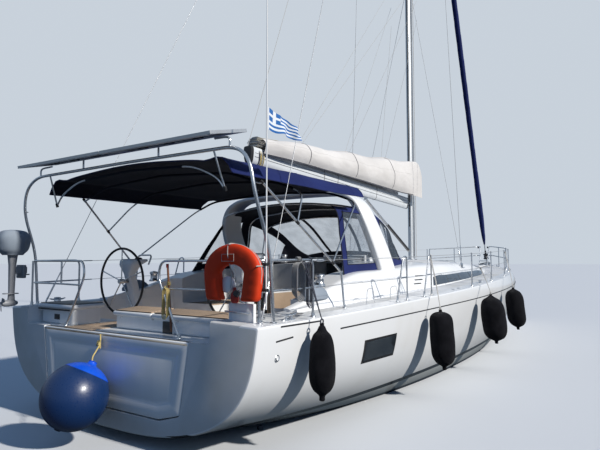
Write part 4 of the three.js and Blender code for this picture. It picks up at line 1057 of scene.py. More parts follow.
def on_roof(shape, rows, off, side, mark):
    """A thin band that follows the roof's side, from a table of lower and upper edges."""
    rings = []
    for x in np.linspace(rows[0][0], rows[-1][0], 30):
        _, low, high = smooth_row(rows, x)
        low, high = min(low, high - 0.004), max(high, low + 0.004)
        points = [roof_at(x, low, -0.02), roof_at(x, low, off * 0.6), roof_at(x, low + 0.004, off)]
        points += [roof_at(x, (low + high) / 2, off), roof_at(x, high - 0.004, off)]
        points += [roof_at(x, high, off * 0.6), roof_at(x, high, -0.02)]
        rings.append(facing(points, side))
    shape.skin(rings, mark)


roof_trim = Shape()
for side in (-1, 1):
    on_roof(roof_trim, ROOF_WINDOW, 0.006, side, 0)
    for x in WINDOW_BARS:
        _, low, high = smooth_row(ROOF_WINDOW, x)
        bar = [roof_at(x + 0.2 * (z - low), z, 0.005) for z in np.linspace(low + 0.006, high - 0.006, 5)]
        roof_trim.pipe(facing(bar, side), 0.012, 3, 6, squash=0.3)
    for x0, x1, z in VENT_SLOTS:
        slot = [roof_at(x, z, -0.002) for x in np.linspace(x0, x1, 6)]
        roof_trim.pipe(facing(slot, side), 0.011, 3, 8)
    for share, low_x in ((0.72, 1.9), (0.42, 2.6)):
        line = []
        for x in np.linspace(low_x, 5.9, 20):
            (_, foot_z), (_, top_z) = roof_side(x)
            line.append(roof_at(x, foot_z + (top_z - foot_z) * share, -0.003))
        roof_trim.pipe(facing(line, side), 0.006, 1, 6)
    rail_xs = [x for x, *_ in flowing([(4.76, 0, 0), (5.5, 0, 0), (6.28, 0, 0)], 12)]
    for inner in (0.385, 0.409):
        rail = [(x, side * inner, min(roof_height(x, inner) + 0.022, HATCH_RAIL_TOP)) for x in rail_xs]
        roof_trim.pipe(rail, 0.011, 2, 6, squash=0.8)
    roof_trim.block((4.76, side * 0.397 - 0.02, 1.97), (6.28, side * 0.397 + 0.02, 2.02), 1, 0.006)
piece(
    "roof_trim", roof_trim, "root",
    [smoked_acrylic, white_plastic, spar_metal, black_plastic], crease=30,
)


def roof_pad(shape, x0, x1, y0, y1, mark, steps=14):
    """A gritty patch laid on the roof between two distances from the middle."""
    rings = []
    for x in np.linspace(x0, x1, steps):
        top = smooth_row(ROOF_STATIONS, x)[2]
        low, high = y0, min(y1, top - 0.12)
        line = [(x, y, roof_height(x, y) + 0.004) for y in np.linspace(low, max(high, low + 0.02), 6)]
        rings.append([(x, line[0][1], line[0][2] - 0.03), *line, (x, line[-1][1], line[-1][2] - 0.03)])
    shape.skin(rings, mark)
    shape.skin([mirrored(ring) for ring in rings], mark)


pads = Shape()
roof_pad(pads, 6.35, 8.3, 0.46, 1.3, 0)
roof_pad(pads, 9.3, 12.1, 0.38, 1.0, 0)
roof_pad(pads, 7.7, 8.4, 0.02, 0.42, 0, 6)
piece("roof_pads", pads, "root", [nonskid])


# %% [markdown]
# ## Cockpit
# Benches, helm seat and pedestals are small mouldings with generous corners. Teak is laid where a crew
# sits and stands: it grips when wet. Laid planks are real strips here only in the material, because the
# caulking between them is flush.
# %% Benches and cockpit teak
bench = Shape()
bench.block((0.32, -1.545, 1.2), (0.64, 0.33, 1.39), 0, 0.025, 3)
tilt = Matrix.Rotation(math.radians(-4), 3, "Y")
for low_y, high_y in ((-1.557, -0.352), (-0.348, 0.36)):
    bench.block((0.29, low_y, 1.372), (0.68, high_y, 1.428), 0, 0.02, 3, tilt)
for low_y, high_y in ((-1.53, -0.38), (-0.325, 0.33)):
    bench.block((0.315, low_y, 1.43), (0.668, high_y, 1.441), 1, 0.004, 2, tilt)
for y in (0.219, -0.354, -0.775, -1.3):
    bench.turned(
        [(0.0, -0.012), (0.011, -0.012), (0.014, 0.0), (0.009, 0.01), (0.0, 0.012)], (0.316, y, 1.348), 2,
        12, (-1, 0, 0),
    )
bench.block((0.312, -0.697, 1.205), (0.33, -0.526, 1.34), 3, 0.006)
bench.block((0.306, -0.712, 1.202), (0.321, -0.7, 1.35), 0, 0.004)
piece(
    "aft_bench_moulding", bench, "root", [gelcoat, teak_across, steel, black_plastic],
    ["aft_bench"],
)

helm = Shape().blocks(
    ((0.17, 1.01, 1.2), (0.6, 1.72, 1.42), 0, 0.03, 3),
    ((0.13, 0.98, 1.405), (0.64, 1.755, 1.462), 0, 0.022, 3),
    ((0.15, 1.02, 1.458), (0.625, 1.73, 1.472), 1, 0.006),
    # A black patch on the seat's aft face: painted shade of a recess.
    ((0.164, 1.3, 1.26), (0.175, 1.42, 1.33), 1, 0.004),
    ((0.12, 1.0, 1.385), (0.14, 1.74, 1.403), 1, 0.003, 1),
)
piece("helm_seat_moulding", helm, "root", [gelcoat, black_plastic], ["helm_seat"])

TEAK_LOW, TEAK_TOP = SOLE - 0.004, SOLE + 0.008
soles = Shape().blocks(
    ((0.02, 0.4, 1.196), (0.84, 0.96, 1.206), 0, 0.003, 1),
    ((1.0, -1.55, TEAK_LOW), (2.24, -0.7, TEAK_TOP), 0, 0.004, 1),
    ((1.0, 0.7, TEAK_LOW), (2.24, 1.55, TEAK_TOP), 0, 0.004, 1),
    ((0.95, -0.6, TEAK_LOW), (4.7, 0.6, TEAK_TOP), 1, 0.004, 1),
)
for side in (-1, 1):
    low, high = sorted((side * 0.66, side * 1.24))
    soles.block((2.36, low, 1.326), (4.68, high, 1.342), 1, 0.006, 1)
piece("cockpit_teak", soles, "root", [teak_across, teak_along])

# %% [markdown]
# Each pedestal leans with its wheel. It carries a hooded panel for the instruments, with the engine lever
# on one side. The wheel is a steel ring laced in black leather, on five thin spokes.
# %% Pedestals and wheels
WHEEL_X, WHEEL_Y, WHEEL_Z, WHEEL_RADIUS, RIM = 0.95, 1.06, 1.745, 0.465, 0.0165
# Columns: aft face, fore face, half-width, height.
PEDESTAL = [
    (1.3, 1.48, 0.085, 0.85),
    (1.16, 1.3, 0.068, 1.4),
    (1.02, 1.155, 0.066, 1.85),
    (0.99, 1.2, 0.15, 1.975),
    (1.0, 1.32, 0.168, 2.03),
    (1.02, 1.31, 0.16, 2.055),
]


def pedestal(side):
    shape, y = Shape(), side * WHEEL_Y
    rings = []
    for aft, fore, half, z in PEDESTAL:
        rings.append(level_ring(((aft + fore) / 2, y, z), (fore - aft) / 2, half))
    shape.skin(rings, 0)
    shape.block((1.035, y - 0.13, 2.05), (1.17, y + 0.13, 2.062), 1, 0.005)
    shape.turned(
        [(0.0, 0.0), (0.055, 0.0), (0.055, 0.02), (0.035, 0.034), (0.0, 0.036)], (1.24, y, 2.05), 1, 20,
    )
    for x in (0.985, 1.01):
        shape.turned(
            [(0.0, 0.0), (0.03, 0.0), (0.03, 0.09), (0.0, 0.09)], (x, y, WHEEL_Z), 2, 18, (1, 0, 0),
        )
    grab = [(1.3, y - 0.15, 1.98), (1.36, y - 0.15, 2.12), (1.36, y + 0.15, 2.12), (1.3, y + 0.15, 1.98)]
    shape.pipe(grab, 0.0125, 2, 10, 0.06)
    if side < 0:
        shape.block((1.1, y - 0.09, 1.78), (1.16, y - 0.066, 1.84), 2, 0.008)
        shape.pipe([(1.13, y - 0.085, 1.81), (1.1, y - 0.1, 1.95)], 0.009, 2, 8)
    return shape


def wheel(side):
    shape = Shape()
    centre = Vector((WHEEL_X, side * WHEEL_Y, WHEEL_Z))
    rings = []
    for a in circle(64):
        out = Vector((0, math.cos(a), math.sin(a)))
        bulge = [
            (out * (WHEEL_RADIUS + RIM * math.cos(t)), Vector((RIM * math.sin(t), 0, 0)))
            for t in circle(12)
        ]
        rings.append([centre + away + over for away, over in bulge])
    shape.skin([*rings, rings[0]], 0, ends=False)
    for k in range(5):
        a = math.pi / 2 + 2 * math.pi * k / 5
        out = Vector((0, math.cos(a), math.sin(a)))
        shape.pipe([centre + out * 0.02, centre + out * (WHEEL_RADIUS - 0.01)], 0.0085, 1, 10)
    hub = [(0.0, -0.045), (0.03, -0.045), (0.036, -0.03), (0.036, 0.03), (0.028, 0.055), (0.0, 0.058)]
    shape.turned(hub, centre, 1, 24, (1, 0, 0))
    return shape


for name, side in SIDES:
    finishes = [gelcoat, black_plastic, steel]
    piece(f"pedestal_moulding_{name}", pedestal(side), "root", finishes, [f"pedestal_{name}"])
    body = f"steering_wheel_{name}"
    piece(f"laced_wheel_{name}", wheel(side), body, [leather, steel], [f"wheel_{name}"])

# %% Winches, table and hatches
# Columns: name, from transom, sideways, height of the foot.
WINCHES = [
    ("quarter_starboard", 2.0, -1.605, 1.695),
    ("quarter_port", 2.0, 1.605, 1.695),
    ("roof_starboard", 5.0, -1.15, 2.002),
    ("roof_port", 5.0, 1.15, 2.002),
]
DRUM = [
    (0.0, 0.006), (0.074, 0.008), (0.078, 0.022), (0.07, 0.034), (0.055, 0.05), (0.05, 0.08),
    (0.052, 0.112),
]
DRUM += [
    (0.066, 0.13), (0.068, 0.142), (0.064, 0.15), (0.066, 0.158), (0.06, 0.166), (0.03, 0.171),
    (0.0, 0.172),
]
for name, x, y, z in WINCHES:
    shape = Shape().turned(DRUM, (x, y, z), 0, 40)
    for a in circle(28):
        out = Vector((math.cos(a), math.sin(a), 0))
        shape.pipe(
            [Vector((x, y, z + 0.055)) + out * 0.053, Vector((x, y, z + 0.108)) + out * 0.0505], 0.003, 0,
            4,
        )
    shape.turned([(0.0, 0.0), (0.024, 0.0), (0.022, 0.006), (0.0, 0.006)], (x, y, z + 0.169), 1, 16)
    piece(
        f"drum_{name}_turned", shape, f"drum_{name}", [steel, black_plastic],
        [f"winch_{name}"],
    )

table = Shape().blocks(
    ((3.0, -0.09, 0.856), (3.9, 0.09, 1.46), 0, 0.03, 3),
    ((2.75, -0.15, 1.452), (4.1, 0.15, 1.545), 0, 0.02, 3),
    ((2.79, -0.125, 1.54), (4.06, 0.125, 1.558), 1, 0.004),
    ((2.98, -0.075, 1.06), (3.0, 0.075, 1.34), 2, 0.004),
)
piece("table_moulding", table, "root", [gelcoat, teak_along, black_plastic], ["cockpit_table"])
for label, low, high in (("starboard", -0.184, -0.156), ("port", 0.156, 0.184)):
    leaf = Shape().block((2.75, low, 1.16), (4.1, high, 1.522), 0, 0.009, 3)
    piece(f"teak_leaf_{label}", leaf, f"leaf_{label}", [teak_along], [f"table_leaf_{label}"])


def hatch(low, high):
    """A flush deck hatch: a metal frame round a smoked pane, with two hinges."""
    (x0, y0, z0), (x1, y1, z1) = low, high
    shape = Shape().block(low, (x1, y1, z1 - 0.004), 1, 0.008)
    shape.block(
        (x0 + HATCH_RIM, y0 + HATCH_RIM, z1 - 0.012), (x1 - HATCH_RIM, y1 - HATCH_RIM, z1), 0, 0.006,
    )
    for y in (y0 * 0.6, y1 * 0.6):
        shape.block((x0 - 0.01, y - 0.03, z0 + 0.004), (x0 + 0.03, y + 0.03, z1), 1, 0.004)
    return shape


HATCH_RIM = 0.035
# Columns: node, body, low corner, high corner.
HATCHES = [
    ("companion_hatch", "sliding_hatch", (4.79, -0.42, 2.072), (5.57, 0.42, 2.104)),
    ("saloon_hatch", "hatch_saloon", (6.91, -0.3, 2.078), (7.5, 0.3, 2.106)),
    ("fore_hatch", "hatch_fore", (10.76, -0.29, 2.026), (11.35, 0.29, 2.052)),
]
for name, body, low, high in HATCHES:
    piece(f"{name}_pane", hatch(low, high), body, [smoked_acrylic, spar_metal], [name])
boards = Shape().block((5.36, -0.355, 1.003), (5.395, 0.355, 1.99), 0, 0.006)
boards.block((5.352, -0.355, 1.5), (5.36, 0.355, 1.512), 1, 0.002, 1)
piece("washboard_pane", boards, "root", [smoked_acrylic, black_plastic], ["washboard"])
# Columns: low corner, high corner.
GARAGE = [
    ((5.44, -0.48, 1.99), (5.6, -0.444, 2.135)),
    ((5.44, 0.444, 1.99), (5.6, 0.48, 2.135)),
    ((5.44, -0.48, 2.121), (6.33, 0.48, 2.15)),
    ((5.58, -0.48, 1.99), (6.33, -0.446, 2.146)),
    ((5.58, 0.446, 1.99), (6.33, 0.48, 2.146)),
    ((6.294, -0.48, 1.99), (6.33, 0.48, 2.146)),
]
garage = Shape().blocks(*[(low, high, 0, 0.014, 3) for low, high in GARAGE])
piece("garage_moulding", garage, "root", [gelcoat], ["hatch_garage"])

# %% [markdown]
# ## Arch
# A fixed arch spans the cockpit and carries the sprayhood. It is hollow glassfibre with soft edges, and
# it leans forward from the bend above the helms. One loft runs up one leg, across and down the other.
# %% Arch
# Columns: aft edge, fore edge, outer face, inner face, height.
ARCH_LEVELS = [
    (3.92, 4.45, 1.6, 1.45, 1.85),
    (3.7, 4.215, 1.58, 1.44, 2.22),
    (3.49, 3.95, 1.51, 1.38, 2.65),
    (3.44, 3.845, 1.39, 1.27, 2.94),
    (3.445, 3.8, 1.19, 1.11, 3.095),
    (3.45, 3.79, 0.85, 0.83, 3.165),
    (3.45, 3.79, 0.0, 0.0, 3.19),
]
ARCH_THICKNESS = 0.075
top_level = len(ARCH_LEVELS) - 1
arch_table = [(i, *row, row[4] - ARCH_THICKNESS * i / top_level) for i, row in enumerate(ARCH_LEVELS)]
past_top = arch_table[-2]
arch_table.append((top_level + 1, *past_top[1:3], -past_top[3], -past_top[4], *past_top[5:]))
arch_rings = []
for t in np.linspace(0, top_level, 43):
    _, aft, fore, outer, inner, high, low = smooth_row(arch_table, t)
    middle = ((aft + fore) / 2, (outer + inner) / 2, (high + low) / 2)
    arch_rings.append(
        soft_box_ring(middle, ((fore - aft) / 2, 0, 0), (0, (outer - inner) / 2, (high - low) / 2), 5.5, 36)
    )
arch = Shape().skin(arch_rings + [mirrored(ring) for ring in arch_rings[-2::-1]], 0)
for side in (-1, 1):
    pads = ((1.8, 0), (1.88, 0), (1.9, 0.02))
    arch.skin([level_ring((4.185, side * 1.525, z), 0.29 - off, 0.1 - off) for z, off in pads], 0)
piece("arch_moulding", arch, "root", [gelcoat], ["arch"], 30)

# %% [markdown]
# ## Sprayhood
# A sprayhood is canvas stretched over steel bows, with windows of clear vinyl sewn in. It is one curved
# surface: stations give its sections, and cells between named limits become windows. The cloth then gets
# its thickness, blue outside and near-black inside, where the near-black is painted shade.
# %% Sprayhood
# The wings' aft edge, the roof's aft edge and the fore edge.
HOOD_AFT, HOOD_ROOF_AFT, HOOD_FORE = 2.72, 3.4, 5.62
# Columns: from transom, half-width at the foot, at the shoulder, height of foot, shoulder and top.
HOOD_STATIONS = [
    (HOOD_AFT, 1.56, 1.38, 1.83, 2.82, 2.96),
    (HOOD_ROOF_AFT, 1.54, 1.37, 1.85, 2.83, 3.01),
    (4.25, 1.48, 1.3, 1.88, 2.8, 2.96),
    (4.9, 1.4, 1.2, 1.93, 2.56, 2.72),
    (5.43, 1.3, 1.0, 1.965, 2.18, 2.3),
    (HOOD_FORE, 1.2, 0.85, 1.975, 2.08, 2.12),
]
CLOTH = 0.005
# Columns: aft and fore end, lower and upper limit as steps from the middle (4 is the foot, 2 the shoulder).
SIDE_WINDOWS = [(2.86, 3.97, 2.2, 3.74), (4.22, 5.12, 2.25, 3.6)]
FRONT_WINDOWS = [(4.64, 5.5, -1.86, -0.68), (4.64, 5.5, -0.6, 0.6), (4.64, 5.5, 0.68, 1.86)]
hood_windows = FRONT_WINDOWS + [(a, b, -d, -c) for a, b, c, d in SIDE_WINDOWS] + SIDE_WINDOWS
WING_LIMIT, WING_FORE = 1.95, 3.97


def hood_form(x, step):
    _, foot, shoulder, foot_z, shoulder_z, top_z = smooth_row(HOOD_STATIONS, x)
    section = [
        (0, 0.0, top_z),
        (1, 0.55 * shoulder, top_z - 0.25 * (top_z - shoulder_z)),
        (2, shoulder, shoulder_z),
        (3, foot - 0.35 * (foot - shoulder), foot_z + 0.55 * (shoulder_z - foot_z)),
        (4, foot, foot_z),
    ]
    section = [(-1, -section[1][1], section[1][2]), *section]
    _, y, z = smooth_row(section, abs(step))
    return x, math.copysign(y, step), z


def hood_point(x, step):
    """A point of the sheet. The port wing is cut at a slant, so its places lie closer together there."""
    if step < 1 or x >= WING_FORE:
        return hood_form(x, step)
    if step < WING_LIMIT:
        start, moved = HOOD_ROOF_AFT, HOOD_ROOF_AFT + 0.24 * (step - 1) / (WING_LIMIT - 1)
    else:
        start, moved = HOOD_AFT, 2.8 + 0.84 * (4 - step) / (4 - WING_LIMIT)
    return hood_form(moved + (x - start) * (WING_FORE - moved) / (WING_FORE - start), step)


def filled(limits, gap):
    """The limits, with even steps between them that are no longer than a gap."""
    limits = sorted(set(limits))
    out = []
    for a, b in zip(limits, limits[1:]):
        out += list(np.linspace(a, b, max(2, math.ceil((b - a) / gap) + 1))[:-1])
    return [*out, limits[-1]]


def cloth_grid(xs, steps, point, mark, keep=lambda x, s: True):
    """A single sheet over two lists of limits, whose cells may differ in finish or be left out."""
    shape = Shape()
    places = [point(x, s) for x in xs for s in steps]
    faces, marks = [], []
    for i in range(len(xs) - 1):
        for j in range(len(steps) - 1):
            middle = (xs[i] + xs[i + 1]) / 2, (steps[j] + steps[j + 1]) / 2
            if keep(*middle):
                a = i * len(steps) + j
                faces.append((a, a + len(steps), a + len(steps) + 1, a + 1))
                marks.append(mark(*middle))
    return shape.add(places, faces, marks)


def walked(points):
    """The length of a line of points."""
    return sum(math.dist(a, b) for a, b in zip(points, points[1:]))


def thickened(made, thickness, lining):
    """Gives a sheet its thickness. The inner side takes the finish that many places further on."""
    step = made.modifiers.new("cloth", "SOLIDIFY")
    step.thickness, step.offset, step.material_offset = thickness, 0.0, lining
    step.use_even_offset = True
    settle(made)


def without_loose(made):
    tidy = bmesh.new()
    tidy.from_mesh(made.data)
    bmesh.ops.delete(tidy, geom=[v for v in tidy.verts if not v.link_faces], context="VERTS")
    tidy.to_mesh(made.data)
    tidy.free()


def in_hood(x, step):
    return x > HOOD_ROOF_AFT or abs(step) > WING_LIMIT


def in_window(x, step):
    return int(any(a < x < b and c < step < d for a, b, c, d in hood_windows))


hood_xs = filled([HOOD_AFT, HOOD_ROOF_AFT, HOOD_FORE, *[v for w in hood_windows for v in w[:2]]], 0.1)
hood_steps = filled([-4, -WING_LIMIT, WING_LIMIT, 4, *[v for w in hood_windows for v in w[2:]]], 0.16)
hood_shape = cloth_grid(hood_xs, hood_steps, hood_point, in_window, in_hood)
hood = piece_mesh("sprayhood_cloth", hood_shape, [canvas, clear_vinyl, black_binding_and_painted_shade, clear_vinyl])
without_loose(hood)
thickened(hood, CLOTH, 2)
dressed(hood, "root", ["sprayhood"], 50)

# %% Sprayhood seams and bows
hood_trim = Shape()


def hood_seam(points, radius=0.009):
    hood_trim.pipe(points, radius, 0, 6, squash=0.5)


for a, b, c, d in hood_windows:
    for step in (c, d):
        hood_seam([hood_point(x, step) for x in np.linspace(a, b, 12)])
    for x in (a, b):
        hood_seam([hood_point(x, s) for s in np.linspace(c, d, 12)])
for x, reach in ((HOOD_ROOF_AFT, 2), (4.15, 4), (4.58, 4)):
    bow = [hood_form(x, s) for s in np.linspace(-reach, reach, 49)]
    hood_trim.pipe([(px, y * 0.985, z - 0.02) for px, y, z in bow], 0.0125, 1, 8)
for side in (-1, 1):
    hood_seam([hood_point(HOOD_AFT, side * s) for s in np.linspace(WING_LIMIT, 4, 14)], 0.014)
hood_seam([hood_point(HOOD_FORE, s) for s in np.linspace(-4, 4, 40)], 0.014)
piece("sprayhood_seams", hood_trim, "root", [black_binding_and_painted_shade, steel])

# %% [markdown]
# ## Bimini
# The bimini is one long sheet over three hoops, sewn from panels, with a rolled hem. Cloth between hoops
# dips a little, so the sheet here dips too. Its underside is near-black cloth: painted shade.
# %% Bimini canopy
CANOPY_AFT, CANOPY_FORE, CANOPY_HALF, CANOPY_SWEEP, HEM = 0.2, 3.4, 1.68, 0.3, 0.045
# Columns: from transom, height at the side, height in the middle.
CANOPY_STATIONS = [
    (0.2, 2.995, 3.19), (0.9, 3.0, 3.2), (1.7, 3.005, 3.205), (2.5, 3.01, 3.2), (3.4, 3.02, 3.17),
]
HOOPS = (0.235, 0.72, 1.56, 2.94, 3.36)
# The share of the half-width at which the sheet turns down into its hem.
HEM_FROM = 0.97


def canopy_point(x, share):
    _, side, middle = smooth_row(CANOPY_STATIONS, x)
    rise = middle - side
    section = [(-0.4, side + 0.9 * rise), (0, middle), (0.4, side + 0.9 * rise), (0.75, side + 0.62 * rise)]
    section += [(HEM_FROM, side + 0.2 * rise), (1.0, side - HEM)]
    if abs(share) < HEM_FROM:
        z = smooth_row(section, abs(share))[1]
    else:
        t = (abs(share) - HEM_FROM) / 0.03
        z = side + 0.2 * rise * (1 - t) ** 2 - HEM * t**1.5
    out = CANOPY_HALF * abs(share)
    gap = min(abs(x - hoop) for hoop in HOOPS)
    dip = 0.016 * min(gap / 0.3, 1) ** 1.5 * (1 - abs(share) ** 3)
    sway = 0.004 * math.sin(9 * x + 5 * share) * (1 - share**2)
    drawn = -0.018 * min(gap / 0.4, 1) * max(abs(share) - 0.8, 0) / 0.2
    y = math.copysign(out + drawn, share)
    sweep = CANOPY_SWEEP * abs(share) ** 3 * max((x - 2.5) / 0.9, 0) ** 1.5
    return x - sweep, y, z - dip + sway


canopy_xs = filled([CANOPY_AFT, *HOOPS, CANOPY_FORE], 0.09)
canopy_shares = [-1, -0.99, -0.98, *filled([-HEM_FROM, HEM_FROM], 0.055), 0.98, 0.99, 1]
canopy_shape = cloth_grid(canopy_xs, canopy_shares, canopy_point, lambda x, s: 0)
canopy = piece_mesh("bimini_cloth", canopy_shape, [canvas, black_binding_and_painted_shade])
canopy_width = walked([canopy_point(1.7, s) for s in canopy_shares])
thickened(canopy, CLOTH, 1)
dressed(canopy, "root", ["bimini_canopy"], 60)

seams = Shape()
proud = Vector((0, 0, 0.003))
for x in HOOPS:
    seams.pipe([Vector(canopy_point(x, s)) + proud for s in canopy_shares], 0.006, 0, 6, squash=0.5)
for share in (-0.5, 0.5):
    seams.pipe([Vector(canopy_point(x, share)) + proud for x in canopy_xs], 0.005, 0, 6, squash=0.5)
for share in (-1, 1):
    seams.pipe([canopy_point(x, share) for x in canopy_xs], 0.007, 0, 6)
for x in (CANOPY_AFT, CANOPY_FORE):
    seams.pipe([canopy_point(x, s) for s in canopy_shares], 0.008, 0, 6)
piece("bimini_seams", seams, "root", [canvas])

# %% [markdown]
# ## Solar panel
# Two panels of dark cells share a frame of aluminium channel above the arch of tube. From below one sees
# the pale back sheet between the frame's rails, and the junction boxes that gather the cables.
# %% Solar panel
PANEL_STARBOARD, PANEL_PORT, PANEL_THICKNESS = -1.7, 1.86, 0.036
PANEL_AFT, PANEL_FORE = Vector((-0.158, 0, 3.279)), Vector((0.403, 0, 3.411))
panel_slope = (PANEL_FORE - PANEL_AFT).normalized()
panel_up = Vector((-panel_slope.z, 0, panel_slope.x))
panel_wide = (PANEL_FORE - PANEL_AFT).length
panel_turn = Matrix.Rotation(-math.atan2(panel_slope.z, panel_slope.x), 3, "Y")


def cell_finish():
    """Dark cells in a pale grid, under glass."""
    made, tree, shader = finish(
        "solar_cells", (0.01, 0.014, 0.03), 0.12, coat_weight=0.8, coat_roughness=0.03,
    )
    place = node(tree, "TexCoord").outputs["Object"]
    axes = node(tree, "SeparateXYZ", {0: place}).outputs

    def off_middle(axis, size):
        """How far a place lies from the middle of its cell, in cells."""
        share = maths(tree, "FRACT", maths(tree, "DIVIDE", axes[axis], size))
        return maths(tree, "ABSOLUTE", maths(tree, "SUBTRACT", share, 0.5))

    lines = [spread(tree, off_middle(*cell), 0.482, 0.488) for cell in (("X", 0.128), ("Y", 0.16))]
    fingers = spread(tree, off_middle("Y", 0.04), 0.475, 0.485)
    cells = mixed(tree, fingers, (0.008, 0.012, 0.03, 1), (0.05, 0.055, 0.07, 1))
    grid = mixed(tree, maths(tree, "MAXIMUM", *lines), cells, (0.3, 0.31, 0.33, 1))
    feed(tree, shader, base_color=grid)
    return made


solar_cells = cell_finish()


def panel_block(shape, along, across, up, mark, edge=0.002):
    """A block in the panel's own directions: sideways, up the slope and out of the sheet."""
    middle = PANEL_AFT + panel_slope * (sum(across) / 2) + panel_up * (sum(up) / 2) + Vector(
        (0, sum(along) / 2, 0)
    )
    half = Vector(((across[1] - across[0]) / 2, (along[1] - along[0]) / 2, (up[1] - up[0]) / 2))
    shape.block(middle - half, middle + half, mark, edge, 1, panel_turn)


panel = Shape()
gap_y = (PANEL_STARBOARD + PANEL_PORT) / 2
for low, high in ((PANEL_STARBOARD, gap_y - 0.004), (gap_y + 0.004, PANEL_PORT)):
    panel_block(panel, (low + 0.004, high - 0.004), (0.004, panel_wide - 0.004), (0.026, 0.0325), 1)
    panel_block(panel, (low + 0.01, high - 0.01), (0.01, panel_wide - 0.01), (0.02, 0.026), 2)
    # Each side of the channel has a flange that lies flat and a wall that stands.
    for wide, tall in ((0.03, 0.003), (0.004, PANEL_THICKNESS)):
        for across in ((0, wide), (panel_wide - wide, panel_wide)):
            panel_block(panel, (low, high), across, (0, tall), 0)
        for end in ((low, low + wide), (high - wide, high)):
            panel_block(panel, end, (0, panel_wide), (0, tall), 0)
    for share in (0.25, 0.5, 0.75):
        y = low + (high - low) * share
        panel_block(panel, (y - 0.055, y + 0.055), (0.24, 0.32), (-0.006, 0.02), 3, 0.005)
for across in (0.1, 0.46):
    panel_block(
        panel, (PANEL_STARBOARD + 0.02, PANEL_PORT - 0.02), (across, across + 0.04), (0, 0.018), 0, 0.003,
    )
back_sheet = painted_finish("back_sheet", (0.34, 0.36, 0.38), 0.5)
frame_metal = metal_finish("panel_frame", (0.72, 0.73, 0.74), 0.42, (0.6, 0.6, 0.6), 0.1)
piece(
    "solar_panel_built", panel, "root",
    [frame_metal, solar_cells, back_sheet, black_plastic], ["solar_panel"],
)

# %% [markdown]
# ## Fenders
# A knitted sleeve over an inflated cylinder gives each fender its soft matt black. The ends draw in to an
# eye, and a lanyard runs from it to the guard rail. Each is turned from one profile, then eased out of
# round with a little noise, because it presses on the hull.
# %% Fenders
# Columns: from transom, sideways, top, bottom, radius, lean, depth of the drawn-in top, lanyard's tie.
FENDERS = [
    (0.8, -2.39, 1.395, 0.6, 0.138, 0.0, 0.22, (0.84, -2.13, 2.04)),
    (3.85, -2.548, 1.32, 0.44, 0.176, 0.05, 0.12, (4.2, -2.27, 2.12)),
    (6.34, -2.612, 1.43, 0.52, 0.218, 0.09, 0.2, (7.05, -2.24, 1.88)),
    (8.54, -2.505, 1.46, 0.54, 0.192, 0.09, 0.17, (9.88, -2.03, 2.25)),
]
LANYARD = 0.0055
for i, (x, y, top, bottom, radius, lean, cap, tie) in enumerate(FENDERS, 1):
    outline = [
        (0.0, bottom), (0.028, bottom + 0.005), (0.031, bottom + 0.045), (0.34 * radius, bottom + 0.068),
    ]
    outline += [
        (0.68 * radius, bottom + 0.11), (0.9 * radius, bottom + 0.18), (0.985 * radius, bottom + 0.27),
    ]
    outline += [(radius, (top + bottom) / 2), (0.98 * radius, top - cap - 0.1), (0.9 * radius, top - cap)]
    outline += [(0.7 * radius, top - 0.6 * cap), (0.4 * radius, top - 0.38 * cap)]
    outline += [(0.034, top - 0.04), (0.022, top - 0.025), (0.024, top - 0.008), (0.0, top)]
    fine = flowing([(r, 0, z) for r, z in outline], 70)
    shape = Shape().turned([(max(r, 0), z) for r, _, z in fine], (x, y, 0), 0, 40)
    pressed = []
    for p in map(Vector, shape.points):
        bulge = (p - Vector((x, y, p.z))) * 0.06 * noise.noise(p * 5 + Vector((i - 1, 0, 0)))
        pressed.append(tuple(p + bulge + Vector((0, -lean * ((top - p.z) / (top - bottom)), 0))))
    shape.points = pressed
    shape.pipe(hoop((x, y, top + 0.012), (0.026, 0, 0), (0, 0, 0.026), 14), 0.008, 1, 8)
    start, tie = Vector((x, y, top + 0.03)), Vector(tie)
    for off in (-0.012, 0.012):
        lanyard = [start, start.lerp(tie, 0.5) + Vector((off, -0.01, 0)), tie + Vector((off * 2, 0, 0))]
        shape.pipe(lanyard, LANYARD, 1, 6)
        shape.pipe(hoop(tie + Vector((off, 0, 0)), (0, 0.016, 0), (0, 0, 0.016), 10), LANYARD, 1, 6)
    shape.pipe(hoop(tie, (0, 0.016, 0), (0, 0, 0.016), 10), LANYARD, 1, 6)
    finishes = [knit, dark_rope if i == 1 else white_rope]
    piece(f"fender_sleeve_{i}", shape, "root", finishes, [f"fender_{i}"], 60)

# %% [markdown]
# The ball fender is a moulded sphere, with a thick cap round the rope eye, coloured a brighter blue as
# painted sunlight on its top. It hangs tilted, since its rope pulls forward to the platform's lip.
# %% Ball fender
BALL, BALL_RADIUS, CAP_ANGLE = Vector((-0.415, 0.03, 0.555)), 0.353, math.radians(45)
BALL_AXIS = Vector((0.5, -0.06, 0.86)).normalized()
BALL_STRETCH = 1.035
ball = Shape()
body_arc = [
    (BALL_RADIUS * math.sin(a), -BALL_RADIUS * math.cos(a))
    for a in np.linspace(0, math.pi - CAP_ANGLE + 0.04, 34)
]
ball.turned([*body_arc, (0.0, BALL_RADIUS * 0.6)], BALL, 0, 64, BALL_AXIS)
CAP_RADIUS = BALL_RADIUS + 0.004
cap_arc = [(CAP_RADIUS * math.sin(a), CAP_RADIUS * math.cos(a)) for a in np.linspace(CAP_ANGLE, 0.17, 16)]
NECK = [(0.05, 0.012), (0.043, 0.03), (0.046, 0.036), (0.03, 0.042), (0.0, 0.044)]
neck = [(r, BALL_RADIUS + h) for r, h in NECK]
ball.turned([(0.0, 0.2), (BALL_RADIUS * 0.69, 0.22), *cap_arc, *neck], BALL, 1, 64, BALL_AXIS)
plug_at = BALL - BALL_AXIS * (BALL_RADIUS + 0.002)
ball.turned([(0.03, -0.012), (0.034, 0.0), (0.03, 0.006), (0.0, 0.008)], plug_at, 2, 20, -BALL_AXIS)
eye_at = BALL + BALL_AXIS * (BALL_RADIUS + 0.046)
knot_at = Vector((-0.035, 0.14, 1.06))
